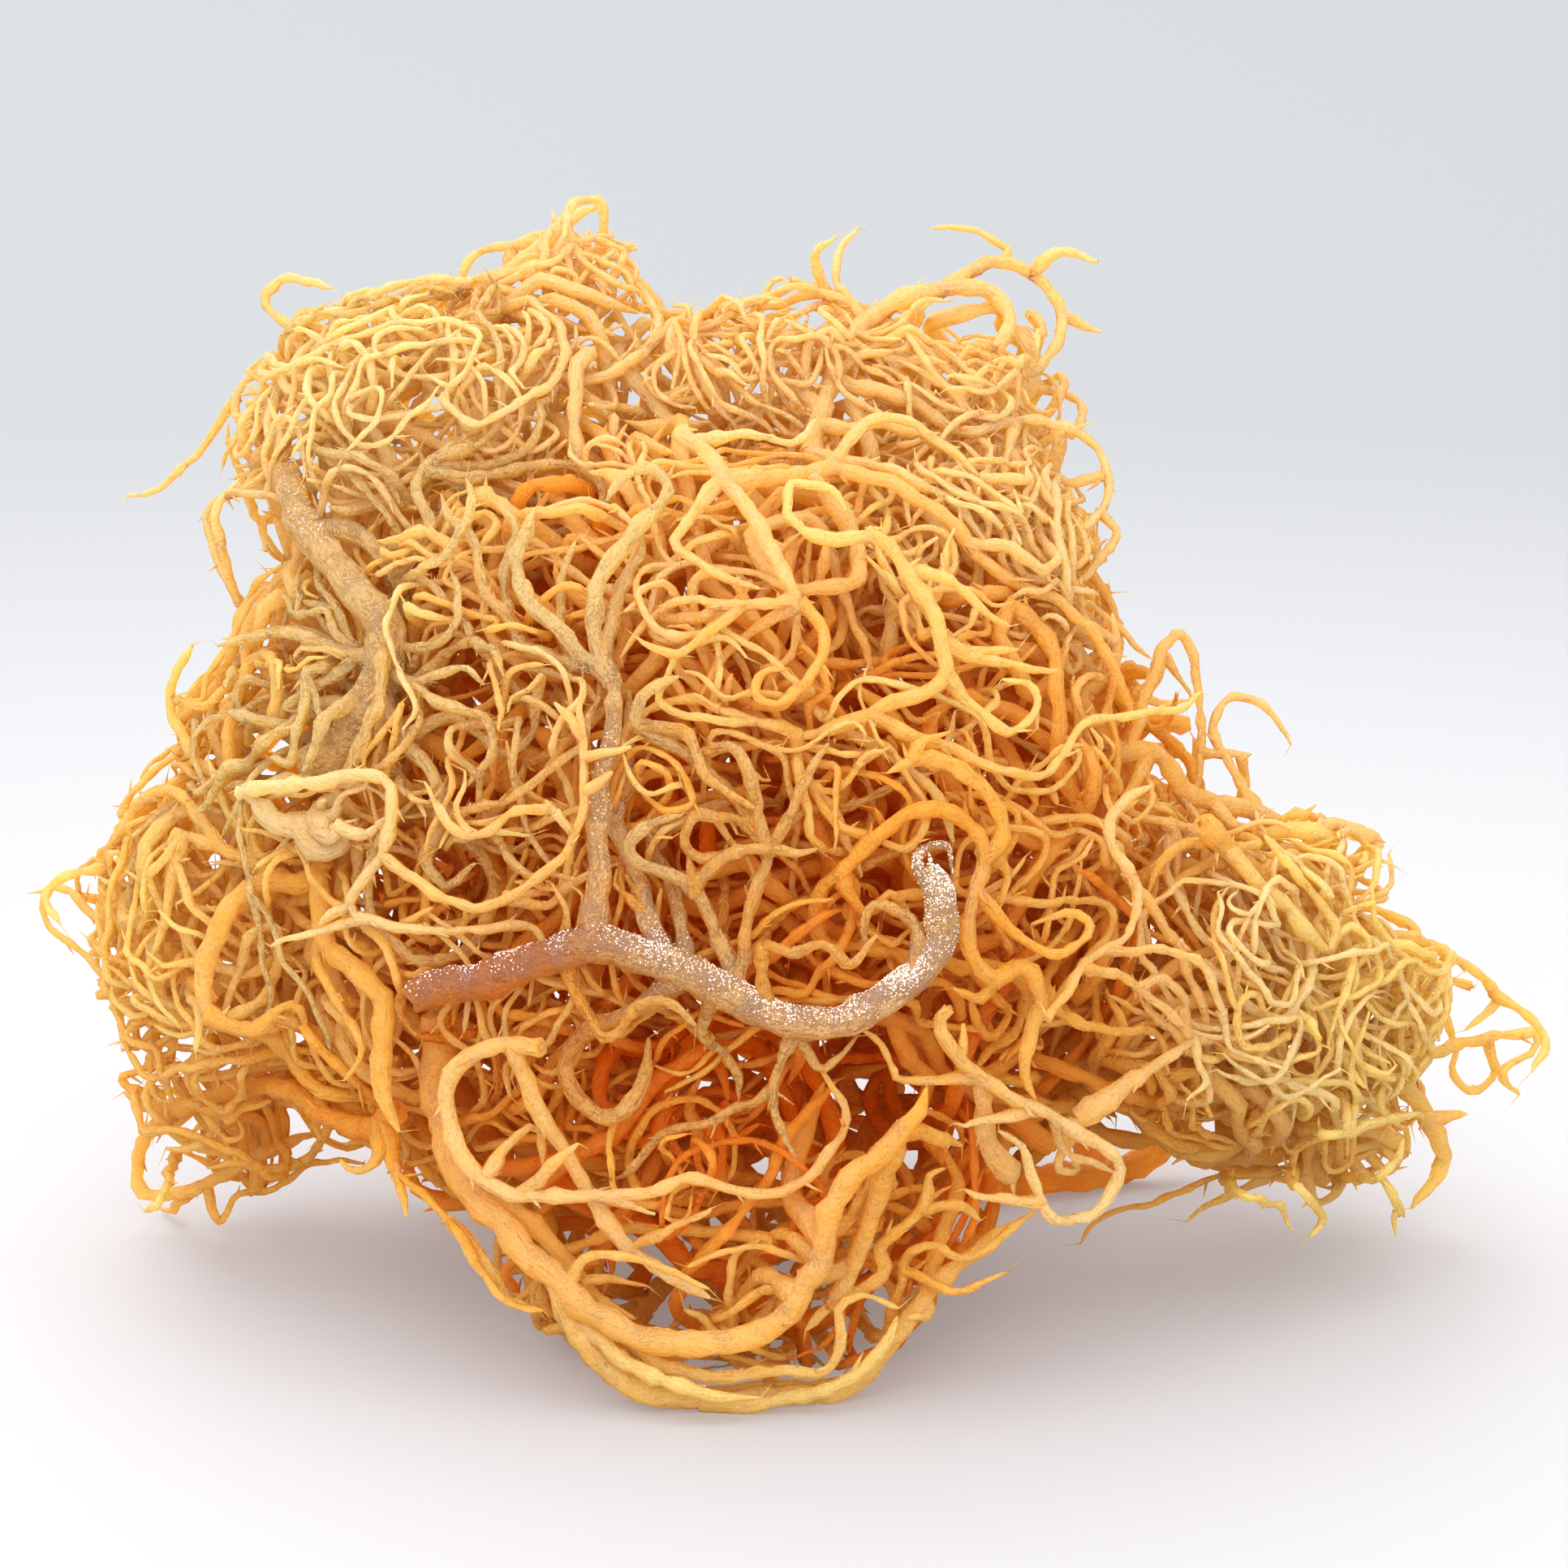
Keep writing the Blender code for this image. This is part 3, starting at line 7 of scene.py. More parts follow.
import bpy
import mathutils
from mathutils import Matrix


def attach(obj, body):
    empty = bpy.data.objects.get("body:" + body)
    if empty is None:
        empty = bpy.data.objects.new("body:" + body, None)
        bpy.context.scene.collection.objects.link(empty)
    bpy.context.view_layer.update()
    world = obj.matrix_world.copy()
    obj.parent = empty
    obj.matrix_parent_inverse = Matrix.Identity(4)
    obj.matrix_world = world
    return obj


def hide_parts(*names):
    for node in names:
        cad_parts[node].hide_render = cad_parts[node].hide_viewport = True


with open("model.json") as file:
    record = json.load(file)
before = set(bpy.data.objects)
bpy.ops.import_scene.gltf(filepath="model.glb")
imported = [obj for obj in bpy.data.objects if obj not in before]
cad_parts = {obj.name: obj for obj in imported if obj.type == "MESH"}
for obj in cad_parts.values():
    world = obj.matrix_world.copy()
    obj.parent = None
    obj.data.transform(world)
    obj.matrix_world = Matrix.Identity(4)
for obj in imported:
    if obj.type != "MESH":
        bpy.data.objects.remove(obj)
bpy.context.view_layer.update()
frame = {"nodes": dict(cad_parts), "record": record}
print("frame loaded:", len(frame["nodes"]), "thalli")

mm = 0.001
tiny = 1e-9

# The photo's view: routes are read across and up in mm, seen from this far off and above.
photoView = {"distance": 480.0, "down": math.radians(12.5), "height": 42.0, "frameWidth": 128.8}

# The clump's front bulges towards the view: its depth in mm behind the clump's middle plane. Its edge
# is ragged at a scale per mm, and its outline isn't drawn in nearer to the middle than a least distance.
front = {
    "depth": -36.0, "across": -4.0, "up": -4.0, "rise": 40.0,
    "halfWidth": 62.0, "halfTop": 60.0, "halfBottom": 110.0,
    "raggedScale": 0.17, "leastMiddle": 20.0, "noHollow": -10.0,
}

# Strand sizes in mm, as the solids have them, and how far a strand of each root radius stands out.
# A branch starts on this share of its parent's run, and is this thick beside its parent.
strandRule = {
    "clearance": 0.36, "thinnest": 0.42, "floorSink": 0.3, "sideways": (0.31, 0.52, 0.79),
    "reaches": ((1.25, 1.08), (0.85, 1.15), (0.0, 1.28)),
    "sproutFrom": 0.15, "sproutTo": 0.85, "slimmestShare": 0.6, "parentShare": 0.9,
}

# How a route becomes straight runs, and how it is moved back where routes cross.
routeRule = {
    "curveStep": 0.5, "chordError": 0.32, "longestChord": 6.5,
    "push": 0.5, "pushRounds": 90, "pushShares": ((-1, 0.4), (0, 1.0), (1, 1.0), (2, 0.4)),
    "rootReach": 2.5, "rootFade": 12.0, "forkShare": 1.2, "forkExtra": 1.0, "loopShare": 2.5,
}

# How the solids' side branches grow: lengths in mm, turns in radians.
branchHabit = {
    "seed": 7, "cell": 7.0, "clearance": 0.36, "layers": None, "reach": None, "kind": "branch",
    "thinnest": 0.42, "step": 5.2, "shortest": 32.0, "longest": 78.0, "taper": 0.45, "drift": 0.0,
    "sproutTries": 7, "sproutLean": 0.35, "sproutLook": 9.0, "crowdReach": 6.0,
    "leastBend": 0.02, "mostBend": 0.16, "bendChange": 0.04, "bendLimit": 0.2, "twist": 0.5,
    "detours": ((0.0, 1), (0.35, 5), (0.7, 6), (1.05, 6)), "mostTries": 4000, "failedTry": 2.0,
}

# How the twigs grow in the room that is left: first stout ones deep inside, then slim ones close
# behind the clump's front, then all through it, and last short spurs. Layers are how far behind the
# front they may be, in mm.
twigHabit = {
    "seed": 21, "cell": 4.0, "clearance": 0.06, "reach": 1.0, "kind": "twig",
    "layers": (-0.5, 17.0), "overhang": 0.4, "ragged": 7.0, "thinnest": 0.28, "thickest": 0.66,
    "step": 2.0, "shortest": 16.0, "longest": 44.0, "taper": 0.4, "drift": 0.14,
    "sproutTries": 14, "sproutLean": 1.2, "sproutLook": 5.0, "crowdReach": 2.5,
    "leastBend": 0.02, "mostBend": 0.24, "bendChange": 0.1, "bendLimit": 0.3, "twist": 0.4,
    "detours": ((0.0, 1), (0.4, 4), (0.8, 6), (1.2, 6)), "mostTries": 9000, "failedTry": 4.0,
}
coreHabit = {
    **twigHabit, "seed": 20, "kind": "core", "layers": (7.0, 85.0), "overhang": -2.5, "thickest": 1.3,
    "thinnest": 0.7, "step": 3.0, "longest": 70.0, "mostBend": 0.2, "mostTries": 4000,
}
innerHabit = {
    **twigHabit, "seed": 22, "kind": "inner", "layers": (9.0, 90.0), "overhang": 0.0, "thickest": 0.85,
    "thinnest": 0.4,
}
spurHabit = {
    **twigHabit, "seed": 23, "kind": "spur", "layers": (-1.0, 40.0), "overhang": 2.6, "ragged": 0.0,
    "thickest": 0.42, "step": 1.3, "shortest": 2.5, "longest": 8.0,
    "sproutLean": 1.6, "sproutLook": 3.0, "sproutTries": 4,
    "taper": 0.6, "leastBend": 0.0, "mostBend": 0.3, "thinnest": 0.22,
}

# Each thallus lists its strands: radius at root and tip, layers behind the front at root and tip,
# and the route across and up. A later strand starts on the nearest earlier one of its own thallus.
thalli = {
    "dusty_stem": [
        (1.45, 1.2, 0, 0, [(-30.3, -17.2), (-25, -16.1), (-20, -14.5), (-15.5, -13.3), (-11, -14.2),
            (-6, -16.3), (-1, -19), (4, -19.6), (9, -17.3), (12.6, -13.5), (12.9, -10), (12.2, -6.8)]),
        (0.75, 0.75, 0, 0, [(-3.6, -18), (-4.2, -15), (-5.6, -12.8), (-6.8, -10), (-7.4, -8.5),
            (-9.6, -7.7), (-11.8, -6.6), (-12.5, -5), (-11.2, -3.1), (-8.6, -2.5)]),
        (0.95, 0.75, 1, 3, [(-15.3, -13.3), (-15.3, -7), (-15, -1), (-14.1, 5.5),
            (-14.9, 9.2), (-19.7, 13.3), (-22, 17.2), (-21.8, 20), (-20.2, 22.8)]),
        (0.9, 0.6, 2, 3, [(-14.2, 8), (-15.8, 13.8), (-13.9, 18.8), (-10.4, 22.4),
            (-9.5, 24.6), (-11.5, 26), (-13.8, 25), (-14.6, 22.9)]),
        (0.8, 0.5, 3, 5, [(-15.8, 9.8), (-20.2, 10.8),
            (-23, 14.2), (-23, 18), (-22.2, 21), (-24, 23.4)]),
        (0.85, 0.7, 2, 4, [(-10, -14.4), (-11.6, -9), (-13.3, -4.5), (-13, 0.8), (-13, 7.7)]),
        (0.8, 0.7, 2, 3, [(-8, -15.4), (-8.6, -10.1), (-11, -5), (-8.6, -2.8), (-3.5, -1.3)]),
        (0.75, 0.9, 1, 0, [(-4, -1.5), (-6.3, 1.4), (-9.6, 3.2),
            (-11.7, 5), (-11.4, 7.6), (-8.6, 8.8)]),
        (0.85, 0.6, 1, 2, [(-3.9, -17.2), (-3, -11.2), (-0.9, -5.4), (1.3, -1.1), (3.6, 3.3)]),
        (0.6, 0.5, 0, 1, [(12.6, -9), (10.9, -7), (11.4, -5.2), (13.2, -5.3), (13.6, -7.4)]),
        (0.5, 0.45, 1, 1, [(0.5, -19.4), (2.7, -23.2), (4.5, -22.5), (6.2, -20.9)]),
        (0.6, 0.45, 1, 2, [(1, -19.4), (-0.4, -23.8), (-0.7, -26.6), (1, -30.6)]),
        (0.9, 0.7, 3, 5, [(-8, -15.6), (-12.9, -18.9), (-16.9, -20.8),
            (-17.6, -24.6), (-14.6, -27.3), (-11.9, -25), (-11, -21)]),
        (0.8, 0.6, 3, 6, [(-0.6, -25), (-4.5, -27.3), (-8.5, -28), (-11.4, -30.6), (-14, -32.4)]),
        (0.5, 0.45, 2, 3, [(-28.6, -17), (-31.4, -17), (-31, -19.4), (-29.6, -21)]),
        (0.6, 0.5, 4, 6, [(-5, -16.8), (-6.6, -20.6), (-4.2, -22.6), (-3.7, -26)]),
    ],
    "bright_frond": [
        (0.8, 0.55, -1, -1, [(-44.8, -0.6), (-38.2, 0.1), (-34.2, 1), (-32.2, -0.6), (-32.2, -3.2),
            (-33.4, -6), (-35.5, -9.6), (-34.4, -11), (-29.4, -12.2), (-21.3, -11.7), (-18.8, -14.9)]),
        (0.75, 0.5, -1, -1, [(-33.2, -5.6), (-31.2, -7.1), (-27.3, -9.6),
            (-22.9, -9.6), (-18.2, -6), (-16.4, -1.4), (-16.8, 2.6), (-16.6, 8.2)]),
        (0.6, 0.6, -1, -1, [(-35.4, -9.7), (-38.2, -11.4)]),
        (1.0, 1.6, -1, 1, [(-44.2, -0.7), (-42.2, -2.8), (-39.4, -3.6), (-37, -3.2)]),
        (0.5, 0.45, -1, -1, [(-17.2, -4), (-19.6, -1.4)]),
        (0.5, 0.45, -1, -1, [(-16.3, -0.8), (-14.2, 1)]),
        (0.5, 0.45, -1, -1, [(-16.8, 2.4), (-12.6, 2.8)]),
        (0.5, 0.45, -1, -1, [(-16.8, 3.8), (-18.8, 6.6)]),
        (0.5, 0.45, -1, 0, [(-34.6, -10.9), (-38.6, -12.2), (-42.2, -13.4)]),
        (0.5, 0.45, 0, 0, [(-22.9, -9.6), (-19.4, -10), (-16.9, -6.6)]),
    ],
    "hooked_strand": [
        (0.9, 0.5, -1, 2, [(-19.7, -21.4), (-23.4, -21.4), (-26.8, -23.2), (-27.7, -26),
            (-26.6, -30), (-24.4, -32.8), (-20.4, -33.8), (-12.5, -33.8), (-8.3, -32.3),
            (-4.5, -33.3), (0.1, -33.1), (3.2, -31.1), (4.8, -28.1), (4.2, -25.2), (2.8, -23.2)]),
        (1.3, 0.8, 1, 3, [(-22.6, -21.4), (-20.4, -26), (-17.9, -30),
            (-15.6, -34), (-13, -37.6), (-9.4, -40.3), (-6, -42.4)]),
        (0.7, 0.6, -1, -1, [(-21.6, -33.6), (-19.6, -31.9), (-17, -29.8)]),
        (0.5, 0.45, 0, 0, [(-15.4, -33.9), (-10.6, -35.2)]),
        (0.5, 0.45, 1, 1, [(-12.4, -38), (-8.8, -36.6), (-6, -34.6)]),
        (0.55, 0.5, 3, 4, [(-24.6, -32.4), (-22.6, -29.2), (-20.4, -28.6), (-19.6, -32)]),
    ],
    "foot_loop": [
        (1.25, 1.0, 1, -1, [(-28.5, -18.9), (-28.5, -26.1), (-26.6, -32.2),
            (-22.2, -37.4), (-17, -42.6), (-12, -45.4), (-7, -46.2), (-2.6, -45.3),
            (0.8, -43), (2.9, -39), (4, -34.6), (7.4, -30.6), (10.6, -28), (11.9, -25)]),
        (1.1, 0.8, 0, 8, [(-19.3, -41), (-16.4, -46.2), (-12, -49.4), (-7, -51.4),
            (-2, -51.9), (3, -51), (7.6, -47.4), (11.2, -42.6), (15.9, -38.4), (20, -35.5)]),
        (0.8, 0.5, 0, 1, [(-15.4, -44.8), (-9, -48), (-3.6, -48.4), (1.2, -48),
            (3.4, -48.4), (4.6, -46), (4.4, -43.8), (6.2, -42.2), (9.6, -43)]),
        (0.9, 0.7, 3, 4, [(-25.2, -33.8), (-21, -35.6), (-18, -39), (-15.6, -42.2), (-12, -43.8)]),
        (0.8, 0.6, 3, 8, [(-16.2, -47), (-11, -51), (-4, -50.2), (1, -49.8), (5.4, -49), (8.6, -45)]),
        (1.0, 0.8, 1, 2, [(9.4, -29.4), (8, -33), (6.4, -37), (4.8, -41), (1.6, -44.6)]),
        (0.85, 0.6, 2, 2, [(3.6, -43), (8.3, -40.6), (8, -38),
            (10.8, -35.4), (11.5, -32.6), (13.2, -31.4)]),
        (0.75, 0.55, 3, 4, [(8.9, -44.6), (9.8, -39.6), (11.2, -37.9),
            (13.2, -37.9), (15.4, -38.9), (18.2, -37), (20.8, -35)]),
        (0.75, 0.55, 4, 8, [(1.6, -42), (-1.5, -40.4), (-3.4, -42.2), (-6.4, -43.6)]),
        (0.7, 0.5, 5, 8, [(3, -39), (-0.2, -37), (-2.5, -38.2), (-4, -40.4), (-5.2, -43)]),
        (0.5, 0.45, 2, 2, [(9.8, -40.2), (11.8, -40.6), (14.2, -41.7), (18.4, -40)]),
        (0.6, 0.45, -1, 0, [(-18, -41.4), (-16, -38.8), (-13.6, -38.8), (-9.8, -40), (-6.4, -41.3)]),
        (0.6, 0.5, 1, 2, [(-17.4, -42), (-15.8, -40.8), (-11, -41)]),
        (0.9, 0.7, 6, 12, [(11, -42), (12.8, -37.4), (14.2, -33.6), (13, -29)]),
        (1.2, 0.9, 5, 10, [(3.2, -37.4), (0.8, -33.8), (1.6, -29), (3.4, -24.6)]),
    ],
    "right_sprig": [
        (0.8, 0.6, -1, 0, [(13.8, -18.4), (12.8, -20.2), (14, -22), (16.2, -24.1),
            (20.6, -26.8), (24.1, -28.8), (27, -30), (27.6, -32.4), (25.4, -35.2),
            (22, -35.8), (20.7, -33.4), (19.8, -30.4), (17.8, -28.6)]),
        (1.0, 1.25, 0, 1, [(15.9, -23.9), (16.6, -27), (17.2, -30), (18.8, -32.5)]),
        (0.5, 0.45, -1, -1, [(14.4, -22.4), (14.6, -19.6)]),
        (0.55, 0.45, 0, 0, [(20.8, -26.9), (18.6, -27.4), (16, -28), (14, -27.7)]),
        (0.5, 0.45, 1, 1, [(22, -27.7), (23.4, -30.4), (27, -31.8)]),
        (0.5, 0.45, 0, 1, [(20.6, -34.8), (17.4, -34.4), (14.6, -33.2)]),
        (0.5, 0.45, 0, 2, [(15.8, -24), (12.2, -24.2), (9.5, -24.2), (8.6, -21.8), (6.6, -20.4)]),
    ],
    "fork_frond": [
        (0.6, 0.7, -1, 4, [(21.6, -19.4), (23, -17.4), (24.4, -15.4), (26.7, -13.5),
            (28.5, -12), (29.3, -8.4), (28.2, -6.2), (26.7, -3.9), (27.6, -2), (29.8, -0.4)]),
        (0.6, 0.45, -1, 1, [(26.4, -13.7), (30.6, -13.8), (33.8, -14.4), (35.6, -16.8), (36.3, -20.4)]),
        (0.85, 0.5, -1, 1, [(24.8, -15), (27.4, -15.6),
            (31.4, -18.4), (33.7, -20.9), (36.8, -21), (39.8, -20)]),
        (0.6, 0.45, -1, 0, [(33.5, -20.8), (33.9, -22.8), (34.6, -24.8), (33.2, -25.8)]),
        (0.55, 0.45, 0, 1, [(36.3, -21.1), (38.9, -22.2), (39.7, -24.4), (37.4, -24.2), (35.6, -23.4)]),
        (1.0, 1.5, 0, 3, [(33.4, -21.1), (29.8, -23.5), (26.5, -25.9), (24, -27.6)]),
        (0.7, 0.5, 3, 7, [(28.8, -7), (30.2, -9.8), (31.6, -12.6), (34, -15), (37, -13.8)]),
        (0.6, 0.5, 2, 4, [(29.3, -16.6), (30.8, -16), (33, -18), (32.2, -19.4)]),
    ],
    "arc_frond": [
        (0.8, 0.9, 1, 1, [(7.5, -4.8), (9.4, -2.9), (11.7, -2.1), (14.6, -2.8), (16.3, -5),
            (16.1, -8.4), (15.2, -12), (15.8, -14.7), (17, -16.2), (16, -17.6), (13.8, -16.8)]),
        (0.6, 0.5, 0, 0, [(15.7, -8.9), (17.9, -11.2), (21, -13.5),
            (23.8, -13.5), (25.2, -12), (23.8, -10.5), (20.3, -11.5)]),
        (0.6, 0.5, 1, 1, [(16.4, -5.3), (18.4, -7.2), (17.6, -10.2)]),
        (0.8, 0.85, 0, 0, [(16.4, -6.2), (17.8, -4.8), (17.6, -2.2),
            (15.4, 0.7), (12.8, 1.9), (10.3, 1.9), (8.3, 1)]),
        (1.2, 0.9, 4, 6, [(8, -4.6), (4.6, -6.8), (2.6, -9.4), (3.4, -13), (7, -13.4)]),
        (0.55, 0.45, 3, 3, [(4.4, -7), (6.6, -10.4), (8.6, -8.8), (10.2, -10.4), (11, -13.4)]),
        (0.9, 0.8, 1, 2, [(17, -16.3), (19.6, -15), (20.9, -17.2),
            (20.4, -19.8), (19.8, -22.2), (20.8, -25.6)]),
        (0.7, 0.5, 4, 7, [(20.8, -17.2), (24.8, -19.8), (28.3, -20.2), (30.6, -21), (31.2, -23.8)]),
        (0.5, 0.45, 0, 0, [(10.4, 1.9), (11.6, 3.6), (13.6, 4.3)]),
    ],
    "elbow_frond": [
        (0.85, 0.75, 0, 1, [(6.8, 20.8), (8.9, 19.5), (10.3, 17.2), (12.4, 13.3),
            (13.2, 9.8), (12.4, 7.9), (10.6, 7.5), (8.6, 6.2), (4.8, 4.7), (0.2, 3.9)]),
        (0.6, 0.5, 0, 0, [(13, 8.8), (15.2, 7), (17.6, 4.8),
            (19.8, 4.7), (20.9, 6.4), (19.9, 8.2), (18, 8.6)]),
        (0.6, 0.5, 1, 2, [(12.8, 11.8), (14.8, 10.6), (18.4, 9.8), (22.4, 9.3)]),
        (0.75, 0.45, 0, 4, [(7, 5.7), (10.4, 4.5), (14.5, 2.6), (18, 1.2), (21.4, 0.9),
            (23.2, 3), (24.8, 5.3), (28, 5.6), (31.8, 5.8), (34.2, 7.4)]),
        (0.5, 0.45, 0, 0, [(0.9, 4), (1.3, 1.8), (3.2, -0.5), (5, -0.3), (6.4, 2), (8, 2.7)]),
        (0.5, 0.45, 0, 0, [(1.2, 4), (-2.8, 5), (-7.2, 7.3)]),
        (0.7, 0.5, 2, 3, [(7.4, 20.4), (3.9, 20.3), (1.4, 21),
            (0, 22.6), (0.8, 24.6), (3.6, 24.4), (5.2, 22.4)]),
        (0.6, 0.5, 2, 4, [(10.2, 17.6), (13, 16.8), (15.8, 14.2), (18.8, 13)]),
    ],
    "centre_frond": [
        (0.9, 0.8, 1, 0, [(-8.6, 29), (-5.8, 26.6), (-3.1, 22.8), (-0.9, 19), (1.2, 14.4)]),
        (0.65, 0.5, 0, 0, [(1, 14.6), (-1.8, 13.3), (-4.2, 11.3), (-6, 9), (-7, 7.2)]),
        (0.65, 0.5, 0, 0, [(1, 14.8), (3, 13.1), (3.4, 11.2), (1.9, 8.4),
            (-0.4, 6.6), (-2.6, 7.6), (-1.7, 9.4), (0.7, 9.6)]),
        (0.65, 0.5, 1, 1, [(-4.8, 25.3), (-7.9, 22.2), (-8.7, 19.5), (-5.8, 17.4), (-2.2, 16)]),
        (0.6, 0.45, 1, 1, [(0.8, 15.2), (-3, 14.6), (-7.6, 15.3), (-11, 13.7), (-13.4, 10.4)]),
        (0.55, 0.45, 1, 1, [(-3, 14.6), (-6.2, 12), (-9.2, 10.8), (-12, 12.2)]),
        (0.9, 0.6, 2, 12, [(-4.6, 25.2), (-1.4, 24.8), (2.6, 25.8), (7.4, 25.3),
            (11.4, 23.3), (15.8, 19.3), (19, 16.4), (24.6, 13.3), (27.2, 9.4), (28.6, 5.6)]),
        (0.6, 0.45, 3, 6, [(-7.6, 28), (-3.6, 29), (0.4, 28.2), (3, 30.2)]),
        (0.7, 0.5, 4, 8, [(3.6, 25.6), (5.6, 28.8), (9.4, 29.8), (13.4, 27.6), (16.6, 24.8)]),
    ],
    "left_dusty_stem": [
        (1.2, 1.9, 8, 2, [(-40.8, 25.8), (-40.3, 23.1), (-38.6, 20), (-34.6, 15.3),
            (-32.7, 12.4), (-33.3, 8.4), (-34.4, 5.6), (-36.6, 2.6), (-39, 0.6)]),
        (0.9, 0.7, 4, 3, [(-38.8, 20.4), (-35, 20.6), (-31.6, 16.2), (-31.4, 13.6), (-33, 11.4)]),
        (0.8, 0.6, 3, 5, [(-34.2, 6.6), (-38.2, 6.8), (-40.6, 4.4)]),
        (0.8, 0.6, 3, 6, [(-33.4, 10.4), (-37.5, 11.4), (-41.4, 12.4), (-46.4, 11.4)]),
        (0.8, 0.6, 2, 2, [(-33.6, 8), (-31.3, 3.8), (-29, 0.8),
            (-28.3, -2.6), (-29.2, -6), (-27.6, -8.6), (-25.4, -6.4)]),
        (0.7, 0.5, 3, 4, [(-31.2, 3.8), (-27, 5.6), (-23.2, 2.5), (-20.6, 4.6), (-20.4, 8.6)]),
        (0.7, 0.5, 3, 4, [(-28.4, -2.4), (-25.4, -3.4), (-22, -0.4), (-20.8, 3)]),
        (0.7, 0.5, 2, 3, [(-33, 11.6), (-29.4, 11.2), (-26.8, 13.8), (-27.4, 17.6)]),
        (0.6, 0.5, 1, 2, [(-33.2, 9.4), (-30.2, 8.2), (-27, 9.6), (-24.6, 8)]),
        (0.9, 0.6, 5, 7, [(-31.8, 16.8), (-29.2, 20.6), (-30.4, 24.8), (-27.2, 28)]),
    ],
    "left_wing": [
        (1.0, 1.0, 3, 4, [(-37.6, -6.2), (-39.4, -8), (-43.5, -8.3),
            (-46.4, -11.8), (-47.5, -15.8), (-46.9, -19.4)]),
        (1.1, 1.0, 2, 3, [(-37.8, -7.4), (-37.6, -12.8), (-35.2, -15.4),
            (-32.9, -18.4), (-33.1, -24), (-31.4, -28.4)]),
        (0.8, 0.6, 3, 10, [(-40.6, -8.2), (-43.2, -6.3), (-46.2, -5.4),
            (-49.8, -4.4), (-50.4, -8), (-50.6, -11.4)]),
        (0.6, 0.5, 2, 3, [(-38, -12.4), (-38.4, -15), (-36, -19), (-34.9, -22), (-36.1, -24.4)]),
        (0.8, 0.6, 6, 20, [(-46, -5.4), (-51, -0.4), (-55.2, -5.2),
            (-55.6, -10.2), (-53.6, -15.4), (-50, -17.4)]),
        (0.55, 0.45, 14, 20, [(-54.8, -13.2), (-56.4, -10.8), (-60.2, -8.2),
            (-60.7, -11.4), (-57.4, -13.7), (-55.2, -17), (-52.4, -19.6)]),
        (0.45, 0.45, 14, 16, [(-54.4, -5), (-57.6, -6.9), (-57.6, -9.6), (-55.6, -12)]),
        (0.6, 0.45, 14, 20, [(-51.6, -1), (-54.4, -2.4), (-52.2, 0.8), (-49.4, 2.6)]),
        (0.8, 0.5, 10, 22, [(-47.2, -17.6), (-50, -15.4), (-51.6, -20.4), (-50.8, -25)]),
        (0.7, 0.5, 7, 12, [(-45.2, -10), (-41.6, -9), (-40.8, -11.8), (-43.8, -13.8)]),
        (0.7, 0.5, 6, 14, [(-43, -6.4), (-44.2, -2), (-47.8, 1.6), (-49.6, 5.4), (-48, 8.4)]),
        (0.8, 0.6, 5, 8, [(-47, -18.6), (-43.8, -20), (-40.4, -18.2), (-38.6, -21)]),
    ],
    "lower_left": [
        (1.1, 0.8, 6, 28, [(-31.8, -26.8), (-35, -28.4), (-41, -25),
            (-45.6, -25.4), (-50.6, -26.6), (-54.4, -25.4)]),
        (0.9, 0.7, 28, 34, [(-49.6, -26.6), (-52.8, -29.2), (-52.8, -33),
            (-49.4, -33.7), (-45.7, -31.6), (-41.6, -30.2), (-37.8, -28.4)]),
        (0.7, 0.45, 4, 2, [(-32.8, -27.2), (-32, -31.6), (-28.6, -34.6),
            (-25.8, -38.4), (-23.4, -42), (-19.6, -43.3)]),
        (0.45, 0.42, 36, 34, [(-47.6, -32.8), (-46.6, -36.2),
            (-45.2, -34), (-42.6, -33.6), (-38.8, -31), (-34.6, -31)]),
        (0.6, 0.45, 26, 26, [(-51.6, -26.6), (-54.2, -24), (-50.2, -22.4)]),
        (0.6, 0.45, 22, 26, [(-46, -25.5), (-48, -22), (-52.4, -21), (-54.4, -21.6)]),
        (0.7, 0.5, 32, 36, [(-48.8, -33.6), (-51.2, -35.6)]),
        (0.8, 0.6, 14, 20, [(-37.6, -27), (-38.4, -22.6), (-42.4, -21.6), (-45.4, -23.6)]),
        (0.7, 0.5, 5, 3, [(-32, -31.4), (-30.8, -35.6)]),
        (0.8, 0.6, 28, 32, [(-42, -30.2), (-43.4, -27.6), (-47.6, -28.8), (-50, -30.4)]),
    ],
    "right_wing": [
        (1.1, 0.9, 5, 20, [(34.6, -3.4), (37.6, -6.6), (41, -10), (45.2, -14), (46.6, -18),
            (48.6, -22.4), (51.2, -25), (53.2, -28), (54.1, -31), (51.6, -34.8)]),
        (0.8, 0.6, 6, 16, [(38.6, -7.6), (42, -6), (45.3, -10), (46.8, -13),
            (51, -12.6), (55.6, -14.6), (58.3, -17.4), (55.9, -20)]),
        (0.7, 0.5, 8, 16, [(46, -16.2), (49.6, -15.3), (53, -16), (56.8, -16.6)]),
        (0.8, 0.5, 14, 18, [(49.2, -23), (54.5, -21.7), (59.2, -20.6),
            (61.6, -20.4), (60.8, -22.4), (59, -24), (60.4, -25.6)]),
        (0.6, 0.5, 16, 20, [(57.8, -21), (58.2, -23.6), (56.6, -25.2), (55.1, -23.8), (55.4, -21.2)]),
        (0.8, 0.7, 12, 12, [(53, -27.6), (56.2, -26.9)]),
        (0.7, 0.5, 4, 5, [(41.4, -10.4), (42.2, -13.6), (43.8, -16.4), (45.4, -16.9)]),
        (0.8, 0.6, 12, 24, [(48, -21), (43.6, -20.6),
            (42.6, -25), (43, -28.6), (47.2, -28.6), (51, -27)]),
